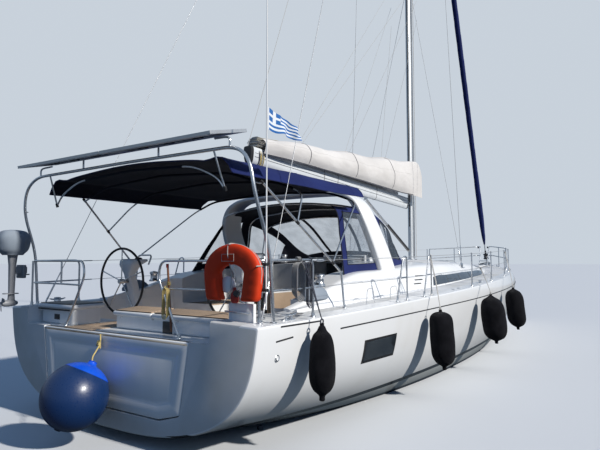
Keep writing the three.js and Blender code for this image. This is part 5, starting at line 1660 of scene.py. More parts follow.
lip_at = Vector((-0.012, 0.17, 1.17))
ball.pipe([eye_at - BALL_AXIS * 0.03, eye_at + Vector((0.01, 0.03, 0.05)), knot_at], 0.0085, 3, 8, 0.03)
knot = [knot_at + Vector(step) for step in ((0, 0, -0.045), (-0.012, 0, 0), (0, 0, 0.05))]
ball.pipe(knot, [0.012, 0.021, 0.011], 3, 10)
ball.pipe([knot_at, knot_at + Vector((-0.01, -0.02, 0.06)), lip_at], 0.0085, 3, 8, 0.02)
tail = [knot_at + Vector(step) for step in ((0, 0, 0), (-0.012, 0.02, 0.05), (-0.014, 0.045, -0.02))]
ball.pipe(tail, 0.008, 3, 8, 0.02)


def stretched(point):
    """Draws a point of the ball out along its axis, and leaves the rope as it is."""
    away = Vector(point) - BALL
    if away.length > BALL_RADIUS + 0.05:
        return point
    return tuple(Vector(point) + BALL_AXIS * (away.dot(BALL_AXIS) * (BALL_STRETCH - 1)))


ball.points = [stretched(p) for p in ball.points]
piece(
    "ball_shell", ball, "ball", [ball_vinyl, painted_sunlit_cap, black_plastic, yellow_rope],
    ["ball_fender"], 30,
)

# %% [markdown]
# ## Lifebuoy
# A horseshoe lifebuoy is foam in a coated cover. It is thicker than it is wide at its edges, with flat cut
# ends. A white cord runs round its outer edge, and thread marks a stitched patch on its front.
# %% Lifebuoy
BUOY = Vector((0.125, -1.76, 1.905))
BUOY_HALF_WIDE, BUOY_RISE, BUOY_LEG, BUOY_FOOT = 0.268, 0.195, 0.255, 0.225
BUOY_DEEP, BUOY_ACROSS = 0.058, 0.104
arc = [(0, BUOY_HALF_WIDE * math.cos(a), BUOY_RISE * math.sin(a)) for a in np.linspace(0, math.pi, 25)]
legs = [
    (0, BUOY_FOOT + (BUOY_HALF_WIDE - BUOY_FOOT) * t**0.6, -BUOY_LEG * (1 - t))
    for t in np.linspace(0, 0.88, 9)
]
buoy_line = [*legs, *arc, *[(0, -y, z) for _, y, z in legs[::-1]]]
buoy = Shape()
buoy_rings = []
last_place = len(buoy_line) - 1
for i, (p, way) in enumerate(zip(buoy_line, headings(buoy_line))):
    across = Vector((0, way.z, -way.y * min(i, last_place - i, 4) / 4)).normalized()
    pull = 1 - 0.05 * abs(math.sin(i * 0.9)) * (i not in (0, last_place))
    buoy_rings.append(
        soft_box_ring(BUOY + Vector(p), (BUOY_DEEP * pull, 0, 0), across * BUOY_ACROSS, 3.2, 28)
    )
first, last = buoy_rings[0], buoy_rings[-1]


def closing(ring, share, off):
    """A leg's last ring, drawn in to a share of its size and moved down."""
    middle = sum(ring, Vector()) / len(ring)
    return [middle + (p - middle) * share - Vector((0, 0, off)) for p in ring]


starts = [closing(first, 0.72, 0.014), closing(first, 0.9, 0.01)]
ends = [closing(last, 0.9, 0.01), closing(last, 0.72, 0.014)]
buoy.skin([*starts, *buoy_rings, *ends], 0)
outer = [BUOY + Vector((0, y * 1.385, z * 1.53 if z > 0 else z)) for _, y, z in buoy_line[4:-4]]
buoy.pipe(outer, 0.006, 1, 8)
for share in (0.2, 0.5, 0.8):
    p = outer[int(share * (len(outer) - 1))]
    way = (p - BUOY).normalized()
    turns = np.linspace(0, math.pi, 8)
    loop = [p + Vector((0.064 * math.cos(a), 0, 0)) + way * (0.012 * math.sin(a) - 0.008) for a in turns]
    buoy.pipe(loop, 0.007, 1, 6)
front = BUOY.x - BUOY_DEEP - 0.0008
PATCH = [(-1.82, 2.03), (-1.66, 2.03), (-1.66, 2.1), (-1.82, 2.1)]
for one, two in zip(PATCH, PATCH[1:] + PATCH[:1]):
    buoy.pipe([(front, *one), (front, *two)], 0.0022, 1, 5)
cord = [(front - 0.003, -1.745, 2.19), (front - 0.004, -1.742, 2.09), (front + 0.02, -1.745, 2.02)]
buoy.pipe([*cord, (0.12, -1.75, 1.9), (0.115, -1.74, 1.76)], 0.005, 1, 6, 0.02)
piece("lifebuoy_foam", buoy, "root", [foam_cover, white_rope], ["lifebuoy"], 50)

buoy_kit = Shape()
REEL = [(0.0, 0.0), (0.075, 0.002), (0.085, 0.018), (0.085, 0.05), (0.07, 0.062), (0.0, 0.064)]
LAMP = [
    (0.0, -0.075), (0.03, -0.07), (0.045, -0.03), (0.04, 0.02), (0.02, 0.05), (0.015, 0.085), (0.0, 0.088),
]
LENS = [(0.0, 0.0), (0.03, 0.0), (0.036, 0.02), (0.03, 0.055), (0.0, 0.06)]
buoy_kit.turned(REEL, (0.2, -1.66, 1.79), 0, 28, (-1, 0.1, 0.1))
buoy_kit.turned(LAMP, (0.17, -1.75, 1.68), 1, 22)
buoy_kit.turned(LENS, (0.16, -1.79, 1.7), 2, 16, (-0.8, -0.4, 0.2))
buoy_kit.block((0.2, -1.957, 1.36), (0.262, -1.64, 1.605), 3, 0.01)
for y in (-1.9, -1.7):
    strap = [(0.2, y, 1.37), (0.185, y + 0.03, 1.32), (0.2, y + 0.08, 1.29), (0.24, y + 0.1, 1.31)]
    buoy_kit.pipe(flowing(strap, 14), 0.011, 2, 6, squash=0.3)
for z in (1.52, 2.03):
    buoy_kit.pipe([(0.19, -1.93, z - 0.01), (0.19, -1.6, z)], 0.009, 4, 6)
kit_finishes = [white_plastic, red_plastic, black_plastic, white_plastic, steel]
piece("lifebuoy_kit", buoy_kit, "root", kit_finishes)

# %% [markdown]
# ## Outboard
# The small outboard hangs on the port pushpit under a cloth cover, its leg clear of the water.
# %% Outboard
OUTBOARD_Y = 1.93
motor = Shape()
# Columns: height, half-width, half-length of the cover.
COVER = [
    (2.112, 0.1, 0.128),
    (2.13, 0.112, 0.142),
    (2.19, 0.152, 0.192),
    (2.33, 0.165, 0.213),
    (2.41, 0.138, 0.178),
    (2.44, 0.1, 0.13),
    (2.452, 0.03, 0.05),
]
# Columns: height, half-length, half-width of the leg.
MOTOR_LEG = [
    (2.16, 0.075, 0.055), (2.1, 0.06, 0.05), (1.98, 0.045, 0.042), (1.6, 0.038, 0.03), (1.49, 0.05, 0.022),
]
cover_rings = []
for z, wide, long in flowing(COVER, 22):
    middle = Vector((-0.15, OUTBOARD_Y, z))
    ring = level_ring(middle, long, wide, 2.6, 32)
    cover_rings.append([p + (p - middle) * 0.07 * noise.noise(p * 9) for p in ring])
motor.skin(cover_rings, 0)
motor.skin([level_ring((-0.15, OUTBOARD_Y, z), long, wide, 3, 20) for z, long, wide in MOTOR_LEG], 1)
motor.skin([level_ring((-0.16, OUTBOARD_Y, z), 0.1, 0.058, 3, 20) for z in (1.591, 1.603)], 1)
torpedo = [
    (0.0, 0.0), (0.026, 0.01), (0.042, 0.05), (0.046, 0.11), (0.038, 0.19), (0.02, 0.225), (0.0, 0.23),
]
motor.turned(torpedo, (-0.29, OUTBOARD_Y, 1.47), 1, 20, (1, 0, 0))
# Columns: distance out, forward and round, of a blade's outline.
BLADE = [(0.02, 0, -0.012), (0.085, 0.012, -0.035), (0.11, 0, 0), (0.085, -0.012, 0.035), (0.02, 0, 0.012)]
hub_at, forward = Vector((-0.285, OUTBOARD_Y, 1.47)), Vector((1, 0, 0))
for a in circle(3):
    out = Vector((0, math.cos(a + 0.4), math.sin(a + 0.4)))
    blade = [hub_at + out * r + forward * dx + out.cross(forward) * w for r, dx, w in BLADE]
    motor.slab(blade, 0.005, 1, 0.002, 0)
motor.block((-0.12, OUTBOARD_Y - 0.058, 1.86), (0.03, OUTBOARD_Y + 0.058, 1.955), 1, 0.012)
motor.block((-0.05, OUTBOARD_Y - 0.09, 1.8), (0.0, OUTBOARD_Y + 0.09, 1.98), 1, 0.012)
for y in (OUTBOARD_Y - 0.06, OUTBOARD_Y + 0.06):
    motor.pipe([(0.0, y, 1.85), (0.055, y, 1.85)], 0.009, 2, 8)
piece("outboard_built", motor, "root", [cowl_cloth, grey_plastic, steel], ["outboard"], 40)

# %% [markdown]
# ## Steel tube
# Rails and canopy frames are stainless tube, bent cold on a former, so every corner is an even curve.
# Where tubes meet they are welded or held by a fitting, and each foot stands on a round flange.
# %% Bimini frame
# Half the thickness of rail tube, of hoops and stanchions, and of the cloth sleeve round a hoop.
TUBE, THIN_TUBE, SLEEVE = 0.014, 0.012, 0.0165
STRUT_FOOT, STRUT_BEND, STRUT_TOP = Vector(
    (1.93, 2.01, 1.44)
), Vector((1.95, 1.96, 1.89)), Vector((0.72, 1.65, 2.92))


def flange(shape, foot, radius=0.034):
    """The round foot of a rail, with its collar."""
    profile = [(0.0, 0.0), (radius, 0.0), (radius, 0.006), (radius * 0.86, 0.012), (0.021, 0.0144)]
    shape.turned([*profile, (0.019, 0.045), (0.0, 0.046)], foot, 0, 18)


def jaw(shape, place, way):
    """A sleeve clamped round a tube, where another tube ends on it."""
    way = Vector(way).normalized()
    shape.pipe([Vector(place) - way * 0.026, Vector(place) + way * 0.026], 0.019, 1, 12)


def bent(shape, half, radius, mark, sides, bend):
    """A tube from port to starboard, bent to an even curve at each corner."""
    shape.pipe(both_ways(half), radius, mark, sides, bend, steps=7)


frame_tubes = Shape()
for x, share in ((0.72, 1.0), (1.56, 0.58), (2.94, 0.12)):
    foot = STRUT_BEND.lerp(STRUT_TOP, share)
    half = [tuple(foot), (x, 1.64, 2.895), (x, 1.18, 3.06), (x, 0, 3.13)]
    bent(frame_tubes, half, THIN_TUBE, 0, 10, 0.16)
    # The sleeve over each hoop's upper part is near-black cloth: painted shade under the canopy.
    bent(frame_tubes, [(x, 1.5, 2.945), *half[2:]], SLEEVE, 2, 10, 0.16)
    for side in (-1, 1):
        jaw(frame_tubes, *facing([foot, STRUT_TOP - STRUT_BEND], side))
for side in (-1, 1):
    frame_tubes.pipe(facing([STRUT_FOOT, STRUT_BEND, STRUT_TOP], side), TUBE, 0, 12, 0.06)
    flange(frame_tubes, (1.93, side * 2.01, deck(1.93, 2.01 / 2.29) - 0.004))
piece(
    "bimini_tubes", frame_tubes, "root", [steel, black_plastic, black_binding_and_painted_shade], ["bimini_frame"],
    40,
)

# %% Solar arch
arch_tubes = Shape()
AFT_HOOP, ARCH_BAR = HOOPS[0], 0.095
half = [(0.33, 2.12, 1.39), (0.27, 2.11, 2.15), (0.07, 2.08, 2.7), (0.06, 2.03, 3.02)]
bent(arch_tubes, [*half, (ARCH_BAR, 1.83, 3.19), (ARCH_BAR, 0, 3.2)], 0.019, 0, 14, 0.2)
half = [(AFT_HOOP, 1.545, 2.79), (AFT_HOOP, 1.43, 2.93), (AFT_HOOP, 1.06, 3.085), (AFT_HOOP, 0, 3.13)]
bent(arch_tubes, half, THIN_TUBE, 0, 10, 0.16)
# The sleeve over the aft hoop's upper part is near-black cloth: painted shade under the canopy.
bent(arch_tubes, [(AFT_HOOP, 0.9, 3.0918), (AFT_HOOP, 0, 3.13)], SLEEVE, 2, 10, 0.16)
for side in (-1, 1):
    arm = [(ARCH_BAR, 1.73, 3.2), (ARCH_BAR, 1.735, 3.28), (0.1, 1.69, 3.302), (0.12, 1.5, 3.312)]
    arch_tubes.pipe(facing(arm, side), 0.0115, 0, 10, 0.05)
    arch_tubes.pipe(facing([(0.06, 0.7, 3.205), (0.06, 0.7, 3.306)], side), THIN_TUBE, 0, 10)
    arch_tubes.pipe(facing([(ARCH_BAR, 1.505, 3.192), (AFT_HOOP, 1.545, 2.79)], side), 0.011, 0, 10)
    flange(arch_tubes, (0.33, side * 2.115, sheer(0.33) + 0.001), 0.042)
    jaw(arch_tubes, (AFT_HOOP, side * 1.545, 2.795), (0.35, 0, -1))
    for z in (2.6, 2.72):
        arch_tubes.pipe([(0.1, side * 2.082, z), (0.128, side * 2.083, z)], 0.006, 1, 6)
piece(
    "solar_arch_tubes", arch_tubes, "root", [steel, black_plastic, black_binding_and_painted_shade],
    ["solar_arch"], 40,
)

# %% [markdown]
# The pushpit wraps the stern on each side, and gates open amidships. Forward of them, stanchions carry two
# wires to the pulpit. Every stanchion stands in a socket, welded to a plate and bolted through the deck.
# %% Pushpits, guard rails and pulpit
# Heights above the deck's edge, half-thicknesses, and how far in from the edge the stern rail stands.
RAIL_TOP, RAIL_LOW, WIRE_DROP = 0.625, 0.32, 0.012
STANCHION, LOW_TUBE = 0.0125, TUBE * 0.86
STERN_INSET = 0.1
# Places along the hull of the pushpit's fore end and of the stanchions.
PUSHPIT_FORE, STANCHIONS = 1.0, (6.34, 7.94, 9.88, 11.7, 13.2)


def rail_point(x, height, inset=0.07):
    return x, half_beam(x) - inset, sheer(x) + height


def stern_point(x, height):
    return rail_point(x, height, STERN_INSET)


def socket(shape, x, side):
    """The plate and socket that hold a stanchion, with a welded eye."""
    _, y, z = rail_point(x, 0)
    y = side * y
    shape.block((x - 0.045, y - 0.03, z - 0.002), (x + 0.045, y + 0.03, z + 0.009), 0, 0.004)
    shape.turned(
        [(0.0, 0.0), (0.024, 0.004), (0.0185, 0.014), (0.0175, 0.085), (0.0, 0.086)], (x, y, z), 0, 14,
    )
    shape.pipe(hoop((x + 0.028, y, z + 0.03), (0.014, 0, 0), (0, 0, 0.014), 11), 0.0035, 0, 6)


for name, side in SIDES:
    rails = Shape()
    stern_z, low_z = SHEER_AFT + RAIL_TOP, SHEER_AFT + RAIL_LOW
    top = [stern_point(PUSHPIT_FORE, 0), stern_point(PUSHPIT_FORE, RAIL_TOP), stern_point(0.7, RAIL_TOP)]
    top += [(0.2, 2.04, stern_z), (0.2, 1.34, stern_z), (0.105, 0.72, stern_z)]
    rails.pipe(facing([*top, (0.105, 0.68, 1.85), (0.095, 1.04, 1.205)], side), TUBE, 0, 12, 0.09)
    middle = [stern_point(PUSHPIT_FORE, RAIL_LOW), stern_point(0.7, RAIL_LOW)]
    middle += [(0.2, 2.04, low_z), (0.2, 1.34, low_z), (0.105, 0.745, low_z)]
    rails.pipe(facing(middle, side), LOW_TUBE, 0, 10, 0.09)
    rails.pipe(facing([(0.2, 2.04, 1.4), (0.2, 2.04, stern_z)], side), TUBE, 0, 12)
    rails.pipe(facing([(0.2, 1.34, low_z), (0.2, 1.34, stern_z)], side), LOW_TUBE, 0, 10)
    flange(rails, (0.2, side * 2.04, sheer(0.2) + 0.004))
    flange(rails, facing([stern_point(PUSHPIT_FORE, 0.004)], side)[0])
    flange(rails, (0.095, side * 1.035, 1.206), 0.03)
    for height in (RAIL_LOW, RAIL_TOP - WIRE_DROP):
        x, y, z = stern_point(PUSHPIT_FORE, height)
        rails.pipe([(x + 0.01, side * y, z), (x + 0.03, side * y, z)], 0.006, 0, 8)
    piece("pushpit_rail_" + name, rails, "root", [steel], ["pushpit_" + name], 40)

    guards = Shape()
    for x in STANCHIONS:
        foot, head = facing([rail_point(x, 0.02), rail_point(x, RAIL_TOP)], side)
        guards.pipe([foot, head], STANCHION, 0, 12)
        guards.turned([(STANCHION, -0.006), (0.0145, 0.0), (STANCHION, 0.007), (0.0, 0.01)], head, 1, 12)
        socket(guards, x, side)
        for height in (RAIL_TOP - WIRE_DROP, RAIL_LOW):
            px, y, z = rail_point(x, height)
            guards.pipe([(px, side * y - 0.017, z), (px, side * y + 0.017, z)], 0.008, 0, 8)
    for leg, upright in ((2.965, 3.285), (3.9, 4.2)):
        bow = [rail_point(leg, 0), rail_point(leg + 0.21, RAIL_TOP)]
        bow += [rail_point(upright, RAIL_TOP), rail_point(upright, 0)]
        guards.pipe(facing(bow, side), STANCHION, 0, 12, 0.07)
        guards.pipe(facing([rail_point(leg + 0.11, 0.33), rail_point(upright, 0.33)], side), 0.009, 0, 8)
        socket(guards, leg, side)
        socket(guards, upright, side)
    for height in (RAIL_TOP - WIRE_DROP, RAIL_LOW):
        route = [
            stern_point(PUSHPIT_FORE + 0.03, height), *[rail_point(x, height) for x in (3.1, *STANCHIONS)]
        ]
        guards.pipe(facing(route, side), 0.0038, 1, 6)
        for near, on in ((route[0], route[1]), (route[3], route[4])):
            way = (Vector(on) - Vector(near)).normalized()
            a, b = Vector(near) + way * 0.04, Vector(near) + way * 0.2
            guards.pipe(facing([a, a.lerp(b, 0.4), a.lerp(b, 0.6), b], side), 0.0075, 0, 8)
    piece(
        "guardrail_line_" + name, guards, "root", [steel, wire_steel], ["guardrail_" + name],
        40,
    )

pulpit = Shape()
nose_z = sheer(15.15) + 0.04
nose_top = nose_z + RAIL_TOP
for side in (-1, 1):
    for height in (RAIL_TOP, RAIL_LOW):
        line = [rail_point(13.31, height), rail_point(14.38, height + 0.015, 0.064)]
        line += [(15.35, 0.26, nose_z + height), (15.44, 0.15, nose_z + height)]
        pulpit.pipe(facing(line, side), TUBE, 0, 12, 0.12)
    # Columns: from transom, inset from the deck's edge, how far the post rises above the rail.
    for x, inset, over in ((13.31, 0.07, 0), (14.38, 0.064, 0.015)):
        post = [rail_point(x, height, inset) for height in (0, RAIL_TOP + over)]
        pulpit.pipe(facing(post, side), TUBE, 0, 12)
        flange(pulpit, facing([rail_point(x, 0.004, inset)], side)[0])
    pulpit.pipe(facing([(15.2, 0.136, 1.87), (15.425, 0.152, nose_top)], side), TUBE, 0, 12)
    pulpit.block(
        (15.19, side * 0.16 - 0.02, nose_top - 0.06), (15.25, side * 0.16 + 0.02, nose_top), 1, 0.01,
    )
pulpit.pipe([(15.252, 0.143, 2.04), (15.252, -0.143, 2.04)], TUBE, 0, 12)
piece("pulpit_rail", pulpit, "root", [steel, black_plastic], ["pulpit"], 40)

# %% [markdown]
# ## Mast and standing rigging
# The mast is one extruded tube of soft oval section. A track and a slot run up its aft face, and its top
# is tapered. Spreaders are smaller oval tubes, which hold the shrouds out and sweep them aft.
# %% Mast
MAST_X, MAST_HALF_LONG, MAST_HALF_WIDE = 8.9, 0.115, 0.07
SPREADERS = ((9.2, 1.16, 0.64), (14.9, 0.9, 0.5))


# Columns: height, share of the full section.
MAST_LEVELS = ((2.075, 1), (17.5, 1), (18.5, 0.96), (19.5, 0.88), (20.3, 0.76))
TRACK_LEVELS = ((2.9, 1), (17.5, 1), (20.2, 0.77))
TRACK = ((0.006, 0.012), (-0.004, 0.012), (-0.004, -0.012), (0.006, -0.012))
# Columns: height, half-length, half-width of the foot's collar.
MAST_FOOT = ((2.012, 0.185, 0.115), (2.045, 0.185, 0.115), (2.06, 0.165, 0.1), (2.09, 0.14, 0.088))

mast = Shape()
mast_sizes = [(z, MAST_HALF_LONG * s, MAST_HALF_WIDE * s) for z, s in MAST_LEVELS]
mast.skin([level_ring((MAST_X, 0, z), long, wide, 2.5, 40) for z, long, wide in mast_sizes], 0)
mast.skin([[(MAST_X - MAST_HALF_LONG * s + dx, dy, z) for dx, dy in TRACK] for z, s in TRACK_LEVELS], 1)
mast.skin([level_ring((MAST_X, 0, z), long, wide, 3.2, 32) for z, long, wide in MAST_FOOT], 0)
for z, reach, sweep in SPREADERS:
    for side in (-1, 1):
        rings = []
        for t, along, thick in (
            (0.0, 0.058, 0.018), (0.06, 0.058, 0.017), (0.95, 0.036, 0.012), (1.0, 0.022, 0.008),
        ):
            middle = (MAST_X - sweep * t, side * reach * t, z)
            rings.append(soft_box_ring(middle, (along, 0, 0), (0, 0, thick), 2.0, 16))
        mast.skin(rings, 0)
        mast.block(
            (MAST_X - 0.07, side * 0.068 - 0.012, z - 0.03),
            (MAST_X + 0.06, side * 0.068 + 0.012, z + 0.03), 2, 0.006,
        )
        tip = Vector((MAST_X - sweep, side * reach, z))
        mast.block(tip - Vector((0.022, 0.012, 0.02)), tip + Vector((0.022, 0.004, 0.02)), 2, 0.006)
mast.block((8.752, -0.043, 20.242), (9.088, 0.043, 20.318), 0, 0.01)
mast.pipe([(8.78, 0, 20.3), (8.78, 0, 20.918)], 0.0055, 2, 8)
mast.pipe([(9.02, 0, 20.318), (9.02, 0, 20.38), (9.0, 0, 20.5)], 0.005, 2, 6)
mast.turned(
    [(0.0, 0.0), (0.03, 0.004), (0.032, 0.05), (0.02, 0.062), (0.0, 0.064)], (8.9, 0, 20.318), 3, 16,
)
for z in (4.6, 6.9, 12.3):
    mast.block((MAST_X + 0.1, -0.014, z), (MAST_X + 0.135, 0.014, z + 0.07), 2, 0.005)
mast.pipe([(9.017, 0.02, 3.2), (9.022, 0.025, 9), (9.02, 0.02, 16.8)], 0.0055, 4, 6)
for y in (-0.03, 0.035):
    mast.pipe(
        [(MAST_X + 0.121, y, 2.12), (MAST_X + 0.125, y * 0.8, 9), (MAST_X + 0.116, y * 0.6, 19.6)], 0.0055,
        5, 6,
    )
for dx, dy, high, mark in (
    (0.06, -0.1, 17.6, 5), (-0.03, -0.092, 19.4, 6), (0.05, 0.1, 17.6, 4), (-0.15, -0.03, 20.25, 5),
):
    low = 3.72 if dx < -0.1 else 2.12
    mast.pipe([(MAST_X + dx, dy, low), (MAST_X + dx * 0.9, dy * 0.9, high)], 0.0065, mark, 6)
for k, (dx, dy) in enumerate(((-0.17, 0.08), (-0.17, -0.08), (0.0, 0.12), (0.0, -0.12), (0.17, 0.06))):
    mast.block((MAST_X + dx - 0.025, dy - 0.012, 2.06), (MAST_X + dx + 0.025, dy + 0.012, 2.09), 2, 0.006)
mast_finishes = [spar_metal, black_plastic, wire_steel, white_plastic, grey_rope, white_rope, strap_cloth]
piece("mast_tube", mast, "root", mast_finishes, ["mast"], 35)

# %% [markdown]
# Every stay is a rope of twisted wire, with a swaged end. A turnbuckle at its foot sets its tension, and a
# toggle lets it swing in line with its pull. At this scale the lay of the wire shows only as a dull sheen.
# %% Stays and turnbuckles
WIRE = 0.0045


def stay(shape, low, high, side, radius=WIRE, screw=0.34):
    """A wire between two points of the port side, with its turnbuckle at the foot."""
    low, high = Vector((low[0], side * low[1], low[2])), Vector((high[0], side * high[1], high[2]))
    way = (high - low).normalized()
    shape.pipe([low, high], radius, 0, 8)
    if screw:
        places = [low + way * d for d in (0.0, 0.05, 0.07, screw - 0.07, screw - 0.05, screw)]
        shape.pipe(places, [0.008, 0.008, 0.0125, 0.0125, 0.008, 0.008], 1, 12)
        for d in (0.11, screw - 0.11):
            shape.pipe([low + way * (d - 0.012), low + way * (d + 0.012)], 0.014, 1, 6)
        shape.pipe([low + way * screw, low + way * (screw + 0.09)], 0.0075, 1, 10)
        across = way.cross(Vector((0, 0, 1))).normalized()
        shape.pipe([low - across * 0.014, low + across * 0.014], 0.006, 1, 8)


SHROUD_FOOT = (8.3, 1.45, 1.97)
for name, side in (("starboard", -1), ("port", 1)):
    shrouds = Shape()
    tips = [(MAST_X - sweep, reach + 0.008, z) for z, reach, sweep in SPREADERS]
    stay(shrouds, SHROUD_FOOT, tips[0], side, 0.0055)
    stay(shrouds, tips[0], tips[1], side, 0.005, 0)
    stay(shrouds, tips[1], (MAST_X - 0.06, MAST_HALF_WIDE, 19.3), side, WIRE, 0)
    stay(
        shrouds, (SHROUD_FOOT[0] + 0.04, SHROUD_FOOT[1] - 0.02, SHROUD_FOOT[2]),
        (MAST_X - 0.01, MAST_HALF_WIDE, 9.05), side,
    )
    stay(shrouds, tips[0], (MAST_X - 0.01, MAST_HALF_WIDE, 14.75), side, WIRE, 0)
    shrouds.block((8.25, side * 1.45 - 0.012, 1.885), (8.38, side * 1.45 + 0.012, 1.985), 1, 0.008)
    shrouds.block((8.2, side * 1.45 - 0.04, 1.882), (8.43, side * 1.45 + 0.04, 1.894), 1, 0.004)
    piece(
        "shroud_wires_" + name, shrouds, "root", [wire_steel, steel], ["shrouds_" + name], 40,
    )
    backstay = Shape()
    stay(backstay, (0.33, 1.96, 1.4), (8.76, 0.022, 20.21), side, WIRE, 0.42)
    backstay.block((0.31, side * 1.96 - 0.009, 1.385), (0.355, side * 1.96 + 0.009, 1.43), 1, 0.004)
    piece(
        "backstay_wire_" + name, backstay, "root", [wire_steel, steel], ["backstay_" + name],
        40,
    )

# %% [markdown]
# ## Furled headsail
# The headsail is rolled on its foil with the dark strip along its leech outermost, so a long blue roll
# shows with the spiral edge of each turn. Its drum at the foot holds the furling line.
# %% Headsail
TACK, HOIST = Vector((15.64, 0, 2.01)), Vector((9.06, 0, 20.05))
stay_way = (HOIST - TACK).normalized()
stay_length = (HOIST - TACK).length
side_way = Vector((0, 1, 0))
front_way = stay_way.cross(side_way)
# Columns: share of the stay, radius of the roll.
ROLL = [
    (0.034, 0.028), (0.045, 0.055), (0.06, 0.07), (0.2, 0.078), (0.35, 0.085), (0.55, 0.078), (0.7, 0.07),
    (0.85, 0.052), (0.95, 0.034), (0.972, 0.02),
]
genoa = Shape()
roll_rings = []
ROLL_RINGS, ROLL_SIDES, ROLL_TURNS = 260, 28, 24
for t in np.linspace(0, 1, ROLL_RINGS):
    share = ROLL[0][0] + (ROLL[-1][0] - ROLL[0][0]) * t
    radius = smooth_row(ROLL, share)[1]
    ring, place = [], TACK + stay_way * (stay_length * share)
    for a in circle(ROLL_SIDES):
        lip = 0.94 + 0.07 * ((a / (2 * math.pi) + t * ROLL_TURNS) % 1)
        ring.append(place + (side_way * math.cos(a) + front_way * math.sin(a)) * radius * lip)
    roll_rings.append(ring)
genoa.skin(roll_rings, 0)
along = [TACK + stay_way * (stay_length * share) for share in (0.004, 0.984)]
genoa.pipe(along, 0.017, 1, 12)
drum = [
    (0.0, 0.0), (0.03, 0.0), (0.09, 0.004), (0.092, 0.012), (0.06, 0.02), (0.058, 0.09), (0.06, 0.15),
    (0.09, 0.158), (0.09, 0.168), (0.03, 0.18), (0.026, 0.3), (0.0, 0.31),
]
genoa.turned(drum, TACK + stay_way * 0.115, 2, 32, stay_way)
for k in range(6):
    place = TACK + stay_way * (0.145 + 0.016 * k)
    genoa.pipe(hoop(place, side_way * 0.066, front_way * 0.066, 20), 0.007, 3, 6)
genoa.turned(
    [(0.0, 0.0), (0.03, 0.0), (0.04, 0.03), (0.04, 0.09), (0.03, 0.12), (0.0, 0.12)],
    TACK + stay_way * (stay_length * 0.974), 2, 20, stay_way,
)
piece(
    "headsail_roll", genoa, "headsail", [canvas, spar_metal, black_plastic, grey_rope],
    ["furled_genoa"], 32,
)

# %% [markdown]
# ## Boom, sail bag and vang
# The boom is an extrusion with end caps, ropes and blocks. The mainsail lies flaked on it in a zipped bag
# that hangs on lazy jacks: its upper part stands up full, and its lower part falls in slack folds.
# %% Boom
BOOM_TOP_AFT, BOOM_TOP_FORE, GOOSENECK_X, BOOM_END_X = 3.831, 3.6, 8.72, 2.43


def boom_top(x):
    return BOOM_TOP_AFT + (BOOM_TOP_FORE - BOOM_TOP_AFT) * (x - BOOM_END_X) / (GOOSENECK_X - BOOM_END_X)


BOOM_HALF = [
    (0.0, 0.0), (0.045, 0.0), (0.066, -0.006), (0.076, -0.022), (0.081, -0.06), (0.079, -0.12),
    (0.069, -0.2), (0.055, -0.245), (0.034, -0.268), (0.0, -0.275),
]


def boom_ring(x, share=1.0):
    half = [(y * share, -0.138 + (z + 0.138) * share) for y, z in BOOM_HALF]
    return [(x, y, boom_top(x) + z) for y, z in [*half, *[(-y, z) for y, z in half[-2:0:-1]]]]


boom = Shape()
boom.skin([boom_ring(x) for x in (2.5, 3.4, 4.4, 5.4, 6.4, 7.4, 8.52)], 0)
boom.skin([boom_ring(x, s) for x, s in ((2.435, 0.9), (2.44, 0.98), (2.51, 1.0))], 1)
boom.skin([boom_ring(x, s) for x, s in ((8.5, 1.0), (8.56, 1.0), (8.6, 0.85))], 1)
boom.pipe([(8.56, 0, boom_top(8.6) - 0.12), (8.765, 0, boom_top(8.6) - 0.12)], 0.024, 2, 14)
boom.block((8.66, -0.02, boom_top(8.6) - 0.17), (8.75, 0.02, boom_top(8.6) - 0.07), 2, 0.008)
for side in (-1, 1):
    for dz in (-0.1, -0.16):
        groove = [(x, side * (0.0795 + dz * 0.06 + 0.008), boom_top(x) + dz) for x in (2.53, 8.48)]
        boom.pipe(groove, 0.0025, 1, 5)
    boom.block(
        (2.47, side * 0.05 - 0.012, boom_top(2.5) - 0.2), (2.55, side * 0.05 + 0.012, boom_top(2.5) - 0.05),
        2, 0.006,
    )
for x in (4.6, 5.1, 6.8):
    strap = [
        (x, s * y * 1.03, boom_top(x) + z * 1.01 - 0.001) for s,
        row in ((1, BOOM_HALF[2:]), (-1, BOOM_HALF[2:-1][::-1])) for y, z in row
    ]
    boom.pipe(strap, 0.009, 3, 6, squash=0.35)
SHEET_X = 5.55
sheave = [(0.0, -0.014), (0.034, -0.013), (0.036, 0.0), (0.034, 0.013), (0.0, 0.014)]
for x, y in ((SHEET_X, -0.01), (SHEET_X + 0.03, 0.01)):
    boom.turned(sheave, (x, y, boom_top(SHEET_X) - 0.345), 1, 18, (0, 1, 0))
boom.pipe([(SHEET_X, 0, boom_top(SHEET_X) - 0.27), (SHEET_X, 0, boom_top(SHEET_X) - 0.33)], 0.008, 2, 8)
piece(
    "boom_tube", boom, "boom_rig", [boom_paint, black_plastic, steel, strap_cloth], ["boom"],
    35,
)

# %% Sail bag
# Columns: from transom, half-width low and high, height above the boom's top.
BAG_STATIONS = [
    (2.7, 0.15, 0.06, 0.2),
    (3.1, 0.2, 0.09, 0.26),
    (4.5, 0.23, 0.1, 0.42),
    (6.2, 0.26, 0.11, 0.62),
    (7.8, 0.29, 0.13, 0.83),
    (8.5, 0.318, 0.17, 0.93),
    (8.835, 0.318, 0.17, 0.93),
]
LAZY_JACKS = (3.9, 5.6, 7.3)
CHEEK_START, CHEEK_HALF = 8.28, 0.321


